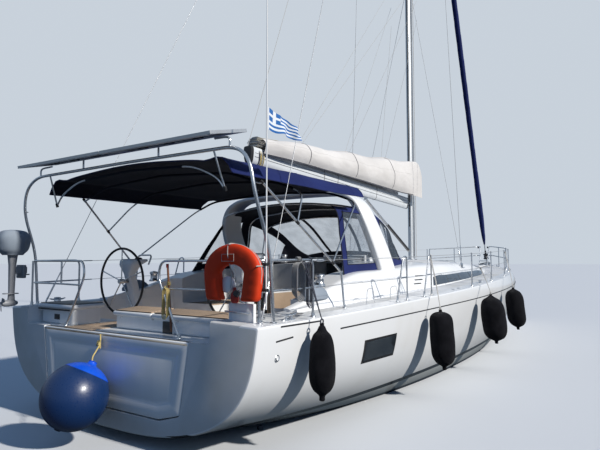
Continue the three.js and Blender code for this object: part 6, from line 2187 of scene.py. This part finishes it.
def bag_point(x, t, side):
    """From the boom's top at t = 0, out and up to the zip at t = 1, with folds on the smooth form."""
    _, low, high, rise = smooth_row(BAG_STATIONS, x)
    hang = np.interp(x, (2.7, 4, 6, 8), (0.1, 0.06, 0.02, 0))
    section = [
        (0, 0.72 * low, -hang), (1, 1.04 * low, 0.2 * rise - 0.3 * hang), (2, 1.08 * low, 0.5 * rise),
    ]
    section += [(3, high + 0.3 * (low - high), 0.87 * rise), (4, 0, rise)]
    _, y, z = smooth_row(section, 4 * t)
    place = Vector((x, y * side, boom_top(x) + 0.006 + z))
    lump = noise.noise(Vector((x * 1.7, side * 3.1, t * 2.4))) * 0.5 + 0.5
    crease = abs(noise.noise(Vector((x * 3.4 + t * 2.2, side * 5, t * 5.0))))
    sag = min(abs(x - jack) for jack in LAZY_JACKS)
    pull = 0.028 * lump + 0.05 * (0.5 - crease) * math.sin(math.pi * t) * (crease < 0.5)
    fold = 0.012 * math.sin(x * 9 + 6 * t + 2.4 * noise.noise(place * 1.3)) * math.sin(math.pi * t)
    droop = 0.05 * min(sag / 0.8, 1) * t**2
    shrink = 1 - (0.05 + pull * 0.9) * math.sin(math.pi * min(t, 0.98))
    out = place.y * shrink - side * fold * 0.3 * (y > 0.02)
    if x > CHEEK_START - 0.5:
        share = min((x - CHEEK_START + 0.5) / 0.67, 1)
        out += (side * CHEEK_HALF - out) * share * share * (3 - 2 * share) * min(1, (1.02 - t) * 6)
    return Vector((x, out, place.z - droop - fold * 0.6))


def cheek_limit(x):
    """How far up the bag's side reaches beside the mast, where the bag has no top."""
    return 0.86 - 0.3 * max((x - 8.45) / 0.39, 0) ** 1.6


bag_ts = list(np.linspace(0, 1, 30))
bag_xs = filled([2.71, *LAZY_JACKS, CHEEK_START], 0.05)
across = [(t, 1) for t in bag_ts] + [(t, -1) for t in bag_ts[-2::-1]]
bag_shape = Shape()
bag_rings = [[bag_point(x, t, side) for t, side in across] for x in bag_xs]
bag_shape.skin(bag_rings, 0, loop=False, ends=False)
for side in (-1, 1):
    cheek_xs = filled([CHEEK_START, 8.45, 8.83], 0.04)
    cheek = [
        [bag_point(x, t * (cheek_limit(x) if x > CHEEK_START else 1), side) for t in bag_ts]
        for x in cheek_xs
    ]
    bag_shape.skin(cheek, 0, loop=False, ends=False)
bag = piece_mesh("sail_bag_cloth", bag_shape, [sail_cloth])
thickened(bag, 0.006, 0)
dressed(bag, "boom_rig", ["sail_bag"], 70)

bag_trim = Shape()
for jack in LAZY_JACKS:
    for side in (-1, 1):
        line = [
            bag_point(jack, t, side) + Vector((0, side * 0.004, 0.003)) for t in np.linspace(0.05, 0.97, 22)
        ]
        bag_trim.pipe(line, 0.012, 0, 6, squash=0.3)
zip_line = [bag_point(x, 1, 1) + Vector((0, 0, 0.003)) for x in bag_xs]
bag_trim.pipe(zip_line, 0.012, 1, 6, squash=0.5)
for side in (-1, 1):
    hem = [bag_point(x, 0.02, side) + Vector((0, side * 0.004, 0)) for x in bag_xs]
    bag_trim.pipe(hem, 0.008, 2, 6)
    seam = [bag_point(x, 0.55, side) + Vector((0, side * 0.003, 0)) for x in bag_xs]
    bag_trim.pipe(seam, 0.004, 1, 5)
piece("sail_bag_straps", bag_trim, "boom_rig", [strap_cloth, sail_cloth, dark_rope])
sail = Shape()
FOLDS = 7
for k in range(FOLDS):
    share = (k + 0.5) / FOLDS
    rings = []
    for x in np.linspace(2.58, 3.6, 12):
        _, low, high, rise = smooth_row(BAG_STATIONS, max(x, 2.7))
        full = np.interp(
            share, (0, 0.2, 0.5, 0.87), (0.72 * low, 1.04 * low, 1.08 * low, 0.7 * high + 0.3 * low),
        )
        wide = full * (0.78 + 0.07 * math.sin(3 * k + 4 * x))
        z = boom_top(x) + 0.02 + 0.8 * rise * share + 0.008 * math.sin(5 * x + k)
        rings.append(
            soft_box_ring(
                (x + 0.03 * math.sin(2.4 * k), 0.012 * math.sin(2 * k), z), (0, wide, 0),
                (0, 0, 0.4 * rise / FOLDS), 2.2, 20,
            )
        )
    sail.skin(rings, 0)
piece("sail_folds", sail, "boom_rig", [sail_fold], crease=50)

# %% Vang and boom ropes
vang = Shape()
vang_low, vang_high = Vector((8.735, 0, 2.29)), Vector((6.42, 0, boom_top(6.42) - 0.307))
vang.pipe([vang_low, vang_high], 0.019, 0, 14)
vang_way = vang_high - vang_low
vang.pipe([vang_low + vang_way * 0.02, vang_low + vang_way * 0.533], 0.031, 1, 16)
vang.block((6.365, -0.015, vang_high.z - 0.02), (6.475, 0.015, vang_high.z + 0.034), 2, 0.006)
vang.pipe([vang_low + Vector((0, -0.02, 0)), vang_low + Vector((0, 0.02, 0))], 0.014, 2, 12)
for dy in (-0.012, 0.012):
    vang.pipe([vang_low + Vector((-0.02, dy, -0.035)), vang_high + Vector((0.02, dy, -0.05))], 0.005, 3, 6)
piece("vang_strut", vang, "boom_rig", [steel, black_plastic, steel, grey_rope], ["vang"], 35)

ropes = Shape()
end = Vector((2.44, 0, boom_top(2.44)))
ropes.pipe([end + Vector((0, 0, -0.02)), (8.78, 0.0, 20.2)], 0.0045, 0, 6)
for side in (-1, 1):
    for jack, top_z in zip(LAZY_JACKS, (9.1, 8.6, 8.1)):
        head = bag_point(jack, 0.92, side)
        ropes.pipe([head, (8.6, side * 0.35, top_z)], 0.0032, 0, 5)
for mark, radius, dx in ((1, 0.008, 0.0), (2, 0.007, 0.018), (0, 0.007, 0.034), (2, 0.007, 0.05)):
    x = 2.62 + dx * 2.2
    wrap = [
        (x + 0.02 * math.sin(a * 0.5), 0.092 * math.sin(a), boom_top(x) - 0.137 + 0.152 * math.cos(a))
        for a in np.linspace(0, 2 * math.pi, 26)
    ]
    ropes.pipe(wrap, radius, mark, 6)
ropes.pipe(
    [(2.66, -0.09, 3.7), (2.655, -0.094, 3.58), (2.66, -0.082, 3.5), (2.665, -0.03, 3.47)], 0.007, 2, 6,
    0.03,
)
piece("boom_ropes", ropes, "boom_rig", [white_rope, dark_rope, yellow_rope])

# %% [markdown]
# ## Staff and flag
# The staff stands on the starboard pushpit. Its flag is light cloth that droops from one edge, with
# stripes and a cross in the corner, and folds run down from where it is tied.
# %% Staff and flag
STAFF_X, STAFF_Y = 0.165, -2.152
staff = Shape()
staff.pipe(
    [(STAFF_X, STAFF_Y, 1.562), (STAFF_X, STAFF_Y, 3.2), (STAFF_X, STAFF_Y, 4.948)],
    [0.0085, 0.0068, 0.0048], 0, 10,
)
for z in (1.75, 2.0):
    staff.block(
        (STAFF_X - 0.02, STAFF_Y - 0.012, z - 0.015), (STAFF_X + 0.03, STAFF_Y + 0.09, z + 0.015), 1, 0.006,
    )
staff.pipe(
    [(STAFF_X + 0.012, STAFF_Y, 1.8), (STAFF_X + 0.01, STAFF_Y, 3.3), (STAFF_X + 0.006, STAFF_Y, 4.9)],
    0.0025, 2, 5,
)
piece("staff_rod", staff, "root", [white_plastic, black_plastic, white_rope], ["flag_staff"])
FLAG_AFT, FLAG_FORE, FLAG_HIGH = 0.022, 0.56, 3.61
FLAG_WHITE, FLAG_BLUE = (0.72, 0.76, 0.8, 1), (0.012, 0.12, 0.38, 1)


def flag_finish():
    """Nine stripes, and a cross in the upper corner at the staff."""
    made, tree, shader = finish("flag_cloth", (0.6, 0.7, 0.8), 0.85, sheen_weight=0.1)
    axes = node(tree, "SeparateXYZ", {0: node(tree, "UVMap").outputs[0]}).outputs
    stripe = maths(tree, "FRACT", maths(tree, "MULTIPLY", axes["Y"], 4.5))
    blue = spread(tree, stripe, 0.49, 0.51, 1.0, 0.0)
    corner = maths(
        tree, "MULTIPLY", spread(tree, axes["X"], 0.37, 0.375, 1.0, 0.0),
        spread(tree, axes["Y"], 0.44, 0.45),
    )
    arm = maths(
        tree, "MAXIMUM", band_mask(tree, axes["X"], 0.185, 0.036), band_mask(tree, axes["Y"], 0.722, 0.055),
    )
    field = mixed(tree, blue, FLAG_WHITE, FLAG_BLUE)
    cross = mixed(tree, arm, FLAG_BLUE, FLAG_WHITE)
    pattern = mixed(tree, corner, field, cross)
    hoist = spread(tree, axes["X"], 0.028, 0.03, 1.0, 0.0)
    cloth = use(tree, weave, threads=420.0)
    feed(tree, shader, base_color=mixed(tree, hoist, pattern, FLAG_WHITE))
    bump(tree, shader, cloth["Height"], 0.2, 0.001)
    return made


def band_mask(tree, value, middle, half):
    away = maths(tree, "ABSOLUTE", maths(tree, "SUBTRACT", value, middle))
    return spread(tree, away, half, half + 0.008, 1.0, 0.0)


def flag_point(u, v):
    """The cloth hangs from its hoist and folds towards its fly."""
    x = STAFF_X + FLAG_AFT + (FLAG_FORE - FLAG_AFT) * u
    wave = 0.03 * u * math.sin(11 * u + 2.2 * v) + 0.012 * u * math.sin(23 * u - 3 * v)
    top = FLAG_HIGH - 0.045 - 0.056 * u**0.8 - 0.07 * u - 0.01 * math.sin(9 * u) + 0.002 * math.sin(16 * u)
    return x, STAFF_Y + wave, top - 0.228 * (1 - 0.47 * u) * (1 - v)


FLAG_STEPS_X, FLAG_STEPS_Z = 44, 20
flag_us, flag_vs = np.linspace(0, 1, FLAG_STEPS_X + 1), np.linspace(0, 1, FLAG_STEPS_Z + 1)
flag_shape = cloth_grid(list(flag_us), list(flag_vs), flag_point, lambda u, v: 0)
flag = piece_mesh("flag_sheet", flag_shape, [flag_finish()])
flag_map = flag.data.uv_layers.new(name="cloth")
on_cloth = {}
for i, p in enumerate(flag_shape.points):
    column, row = divmod(i, FLAG_STEPS_Z + 1)
    on_cloth[tuple(np.round(Vector(p), 4))] = (column / FLAG_STEPS_X, row / FLAG_STEPS_Z)


def cloth_place(vertex):
    """Where a vertex lies on the flat cloth, as shares of its length and height."""
    key = tuple(np.round(Vector((vertex.x - TRANSOM, vertex.y, vertex.z)), 4))
    if key in on_cloth:
        return on_cloth[key]
    return on_cloth[min(on_cloth, key=lambda other: (Vector(other) - Vector(key)).length)]


for corner in flag.data.loops:
    flag_map.data[corner.index].uv = cloth_place(flag.data.vertices[corner.vertex_index].co)
thickened(flag, 0.0015, 0)
dressed(flag, "root", ["flag"], 70)


# %% [markdown]
# ## Bow gear
# The stem fitting is welded plate with a roller between its cheeks. The anchor hangs there by its shank,
# with its fluke below, where it can fall clear. A lid in the foredeck covers the chain.
# %% Stem fitting and anchor
stem = Shape()
CHEEK = [
    (14.9, 0, 1.89), (15.93, 0, 1.915), (15.955, 0, 1.93), (15.97, 0, 1.97), (15.94, 0, 1.99),
    (15.77, 0, 2.0), (15.3, 0, 1.965), (14.9, 0, 1.94),
]
for side in (-1, 1):
    stem.slab([(x, side * 0.07 - 0.005, z) for x, _, z in CHEEK], 0.01, 0, 0.002, 1)
    stem.turned(
        [(0.0, 0.0), (0.016, 0.0), (0.016, 0.006), (0.0, 0.007)], (15.88, side * 0.076, 1.95), 0, 6,
        (0, side, 0),
    )
stem.turned(
    [
        (0.0, -0.062), (0.034, -0.06), (0.022, -0.02), (0.02, 0.0), (0.022, 0.02), (0.034, 0.06),
        (0.0, 0.062),
    ],
    (15.88, 0, 1.95), 1, 24, (0, 1, 0),
)
stem.block((14.92, -0.075, 1.9), (15.82, 0.075, 1.912), 0, 0.003)
stem.block((15.585, -0.075, 1.91), (15.695, 0.075, 1.948), 0, 0.006)
stem.pipe([TACK - stay_way * 0.07, TACK + stay_way * 0.085], 0.013, 0, 12)
piece("stem_plates", stem, "root", [steel, black_plastic], ["stem_fitting"], 30)

anchor = Shape()
shank = flowing(
    [(15.75, 0, 2.003), (15.84, 0, 2.0), (15.95, 0, 1.95), (16.02, 0, 1.87), (16.035, 0, 1.7)], 16,
)
shank_rings = []
for i, (p, ahead) in enumerate(zip(shank, headings(shank))):
    across = Vector((ahead.z, 0, -ahead.x)).normalized()
    shank_rings.append(soft_box_ring(p, across * (0.022 + 0.012 * i / 15), (0, 0.011, 0), 4, 14))
anchor.skin(shank_rings, 0)
fluke_rings = []
for t in np.linspace(0, 1, 14):
    x, z = 15.83 + 0.26 * t, 1.585 + 0.29 * t**1.15
    half = 0.17 * math.sin(math.pi * min(0.06 + t * 0.75, 1)) ** 0.8
    dish = 0.05 * half / 0.17
    over = [(x - dish * (1 - k**2), half * k, z + dish * (1 - k**2) * 0.4) for k in np.linspace(-1, 1, 11)]
    under = [(px + 0.012, y, pz - 0.012) for px, y, pz in over[::-1]]
    fluke_rings.append([*over, *under])
anchor.skin(fluke_rings, 0)
anchor.pipe([(15.76, -0.04, 2.003), (15.76, 0.04, 2.003)], 0.009, 0, 10)
for k in range(9):
    across = (0, 0.018, 0) if k % 2 else (0, 0, 0.018)
    anchor.pipe(hoop((15.72 - 0.055 * k, 0, 1.962), (0.034, 0, 0), across, 13), 0.0055, 0, 6)
piece("anchor_forging", anchor, "root", [wire_steel], ["anchor"], 40)

# %% Anchor locker lid
LID_AFT, LID_FORE, LID_HALF, LID_MIDDLE, LID_CORNER = 13.64, 14.46, 0.34, 14.05, 0.05
lid = Shape()
lid_outline = []
for cx, cy, start in ((LID_FORE, 1, 0), (LID_AFT, 1, 90), (LID_AFT, -1, 180), (LID_FORE, -1, 270)):
    for a in np.linspace(start, start + 90, 7):
        turn = math.radians(a)
        px = cx - LID_CORNER * (1 if cx == LID_FORE else -1) + LID_CORNER * math.cos(turn)
        lid_outline.append((px, cy * (LID_HALF - LID_CORNER) + LID_CORNER * math.sin(turn)))


def lid_ring(share, up):
    """The lid's outline drawn in by a share towards its middle, at a height above the deck's edge."""
    return [(x + (LID_MIDDLE - x) * share, y * (1 - share), sheer(x) + up) for x, y in lid_outline]


lid_steps = ((0.0, 0.033), (0.0, 0.048), (0.006, 0.054), (0.02, 0.0555))
lid.skin([lid_ring(inset * 2.4, up) for inset, up in lid_steps], 0)
grip_steps = ((0.03, 0.0555), (0.034, 0.0575), (0.045, 0.058))
lid.skin([lid_ring(inset * 3, up) for inset, up in grip_steps], 1)
for y in (-0.2, 0.2):
    lid.pipe(
        [
            (LID_AFT - 0.004, y - 0.03, sheer(LID_AFT) + 0.056),
            (LID_AFT - 0.004, y + 0.03, sheer(LID_AFT) + 0.056),
        ],
        0.006, 2, 8,
    )
lid.turned(
    [(0.0, 0.0), (0.022, 0.0), (0.022, 0.004), (0.016, 0.006), (0.014, 0.003), (0.0, 0.003)],
    (14.36, 0, sheer(14.36) + 0.056), 2, 18,
)
piece(
    "locker_lid_moulding", lid, "locker_lid", [gelcoat, nonskid, steel], ["anchor_locker_lid"],
    30,
)

# %% [markdown]
# ## Below the water
# The fin keel, the rudders, the saildrive and its propeller keep their solids, because their forms are
# already complete. They only get paint and smooth shading, which leaves true edges sharp.
# %% Underwater gear
UNDERWATER = {
    "keel": keel_paint,
    "saildrive_leg": antifouling,
    "rudder_starboard": antifouling,
    "rudder_port": antifouling,
    "propeller": bronze,
}
for name, paint in UNDERWATER.items():
    made = bpy.data.objects[name]
    made.data.materials.clear()
    made.data.materials.append(paint)
    made.data.polygons.foreach_set("material_index", [0] * len(made.data.polygons))
    made.data.shade_smooth()
    made.data.set_sharp_from_angle(angle=math.radians(32))
print("painted", list(UNDERWATER))

# %% [markdown]
# ## Deck fittings
# Cleats, fairleads and blocks are small, but a deck without them looks unfinished. Each is cast or turned
# metal, set on a base plate where the hull's edge meets the deck.
# %% Cleats, fairleads and tracks
CLEAT_INSET, CLEAT_HALF = 0.13, 0.13
HORN = (0.006, 0.009, 0.011, 0.012, 0.0125, 0.013, 0.013)


def cleat(shape, x, side):
    """A two-horned cleat in line with the hull's edge."""
    beam, up = half_beam(x), Vector((0, 0, 1))
    fore, aft = (Vector((x + dx, half_beam(x + dx), 0)) for dx in (0.2, -0.2))
    ahead = (fore - aft).normalized()
    ahead = Vector((ahead.x, side * ahead.y, 0))
    foot = Vector((x, side * (beam - CLEAT_INSET), deck(x, 1 - CLEAT_INSET / beam)))
    base = []
    for h, k in ((-0.004, 0.86), (0.006, 0.86), (0.01, 0.8)):
        base.append(
            soft_box_ring(foot + up * h, ahead * CLEAT_HALF * k, ahead.cross(up) * 0.027 * k, 2.2, 24)
        )
    shape.skin(base, 0)
    for t in (-0.34, 0.34):
        leg = foot + ahead * CLEAT_HALF * t
        shape.pipe([leg, leg + up * 0.045], [0.014, 0.01], 0, 10)
    rise = ((-1, 0.064), (-0.55, 0.052), (0, 0.049), (0.55, 0.052), (1, 0.064))
    line = flowing([foot + ahead * CLEAT_HALF * t + up * h for t, h in rise], 15)
    shape.pipe(line, [*HORN, 0.013, *HORN[::-1]], 0, 10)


fittings = Shape()
for side in (-1, 1):
    for x in (0.62, 7.15, 12.9):
        cleat(fittings, x, side)
    for x in (12.45, 14.7):
        y, z = side * (half_beam(x) - 0.03), sheer(x)
        for dx in (-0.05, 0.05):
            fittings.pipe(
                [(x + dx, y, z), (x + dx, y, z + 0.035), (x + dx * 0.4, y, z + 0.045)], 0.009, 0, 8,
            )
        fittings.block((x - 0.09, y - 0.018, z - 0.004), (x + 0.09, y + 0.018, z + 0.008), 0, 0.004)
    for x in (5.35, 5.65):
        place = (x, side * (half_beam(x) - 0.12), deck(x, 1 - 0.12 / half_beam(x)))
        fittings.turned(
            [(0.0, 0.0), (0.03, 0.0), (0.031, 0.006), (0.018, 0.012), (0.0, 0.014)], place, 0, 18,
        )
for side in (-1, 1):
    for aft, fore in ((2.45, 2.7), (3.18, 3.46)):
        loop = [
            (x, side * 2.05, z) for x,
            z in ((aft, 1.46), (aft + 0.03, 1.66), (fore - 0.05, 1.67), (fore, 1.46))
        ]
        fittings.pipe(loop, 0.0045, 0, 8, 0.05)
for side in (-1, 1):
    post = [
        (0.0, 0.0), (0.052, 0.0), (0.052, 0.012), (0.034, 0.024), (0.03, 0.055), (0.044, 0.072),
        (0.044, 0.088), (0.0, 0.094),
    ]
    fittings.turned(post, (0.465, side * 1.846, 1.43), 0, 28)
piece("deck_cleats", fittings, "root", [steel, black_plastic], crease=45)


# %% [markdown]
# ## Rope hung up
# A sailor hangs spare rope from a rail: a few turns round it, then long loops side by side, and a short
# tail. Each rope here is one line of points, as a real rope is one length, so its length can be measured.
# %% Coils and a pole
ROPE_HALF = 0.005


def loop_line(half_wide, drop):
    """One long loop with round ends, from its top and back, as distances sideways and down."""
    turn = [math.pi / 2 + math.pi * k / 12 for k in range(24)]
    top = [(half_wide * math.cos(a), half_wide * (math.sin(a) - 1)) for a in turn[:7]]
    rise = half_wide - drop
    left = [(-half_wide, -half_wide + (rise + half_wide) * t) for t in (0.2, 0.4, 0.6, 0.8)]
    foot = [(half_wide * math.cos(a), rise + half_wide * math.sin(a)) for a in turn[6:19]]
    right = [(-u, z) for u, z in left[::-1]]
    return [*top, *left, *foot, *right, *[(-u, z) for u, z in top[:0:-1]]]


def eased(points):
    """The same line with its corners drawn smooth."""
    for _ in range(3):
        inner = [(a + b * 2 + c) / 4 for a, b, c in zip(points, points[1:], points[2:])]
        points = [points[0], *inner, points[-1]]
    return points


def free_rope(name, line, rope):
    made = piece(name, Shape().pipe(line, ROPE_HALF, 0, 8), "root", [rope])


def hung_coil(name, hold, axis, grip, turns, top, along, stack, half_wide, drop, loops, rope):
    """Turns round a rail or pole, loops that hang beside it, and a tail between them."""
    hold, axis, top = Vector(hold), Vector(axis).normalized(), Vector(top)
    along, stack = Vector(along).normalized(), Vector(stack).normalized()
    out = (stack - axis * stack.dot(axis)).normalized()
    up, pitch = out.cross(axis), 2.6 * ROPE_HALF
    line = []
    for k in range(14 * turns + 1):
        a = 2 * math.pi * k / 14
        line.append(
            hold + axis * pitch * (k / 14 - turns / 2) + (out * math.cos(a) + up * math.sin(a)) * grip
        )
    one = loop_line(half_wide, drop)
    first = top + stack * pitch * loops / 2
    line += [line[-1].lerp(first, t) + stack * 0.02 * math.sin(math.pi * t) for t in (0.25, 0.5, 0.75)]
    for k in range(loops):
        for n, (u, z) in enumerate(one):
            place = top + along * u + stack * pitch * (loops / 2 - k - n / len(one))
            line.append(place + Vector((0, 0, z * (1 - 0.03 * k))))
    end = line[-1] - stack * pitch
    line += [end + Vector((0, 0, -0.02 - 0.03 * k)) for k in range(5)]
    free_rope(name, eased(line), rope)


RAIL_GRIP = 0.021
hung_coil(
    "rail_coil", (0.74, -2.135, 2.057), (1, 0, 0), RAIL_GRIP, 5, (0.74, -2.135, 2.02), (1, 0, 0),
    (0, -1, 0), 0.075, 0.42, 6, grey_rope,
)
hung_coil(
    "rail_coil_small", (0.95, -2.135, 2.057), (1, 0, 0), RAIL_GRIP, 2, (0.95, -2.135, 2.02), (1, 0, 0),
    (0, -1, 0), 0.04, 0.5, 3, dark_rope,
)
hung_coil(
    "pole_hank", (0.13, -0.8225, 1.78), (0, -0.1, -1), RAIL_GRIP, 3, (0.085, -0.83, 1.74), (0, 1, 0),
    (-1, 0, 0), 0.04, 0.34, 4, yellow_rope,
)
spiral = []
for k in range(4 * 20 + 1):
    a, reach = 2 * math.pi * k / 20, 0.095 - 2.6 * ROPE_HALF * k / 20
    spiral.append(Vector((0.9 - reach * math.cos(a), -2.0 - reach * math.sin(a) * 0.8, 1.459)))
lead = [
    Vector((0.66, -2.1, 1.466)).lerp(spiral[0] + Vector((-0.02, -0.05, 0)), t)
    for t in (0, 0.25, 0.5, 0.75, 1)
]
free_rope("deck_coil", eased([*lead, *spiral]), grey_rope)
pole = Shape().pipe([(0.13, -0.8, 2.0), (0.13, -0.875, 1.26)], 0.0125, 0, 10)
pole.pipe([(0.13, -0.797, 2.0), (0.13, -0.8, 1.96)], 0.016, 1, 10)
piece("boat_pole", pole, "root", [varnish, red_plastic])

# %% [markdown]
# ## Covers on the coamings
# A quilted cover protects each coaming winch. It is a low dome with soft corners, drawn in at its foot.
# %% Coaming covers
COVER_X, COVER_Y, COVER_LOW, COVER_TOP = 1.72, 1.7, 1.56, 1.738
for name, side in SIDES:
    cover = Shape()
    rings = []
    for share in (0.0, 0.12, 0.3, 0.5, 0.68, 0.82, 0.92, 0.98, 1.0):
        out = max(math.sqrt(1 - share**2), 0.05) * (0.95 + 0.05 * min(share * 6, 1))
        height = COVER_LOW + (COVER_TOP - COVER_LOW) * share
        rings.append(level_ring((COVER_X, side * COVER_Y, height), 0.25 * out, 0.12 * out, 2.6, 36))
    cover.skin(rings, 0)
    piping = level_ring((COVER_X, side * COVER_Y, COVER_LOW + 0.045), 0.243, 0.117, 2.6, 36)
    cover.pipe(piping, 0.004, 0, 6)
    quilt = piece(f"coaming_cover_{name}", cover, "root", [cowl_cloth], crease=60)
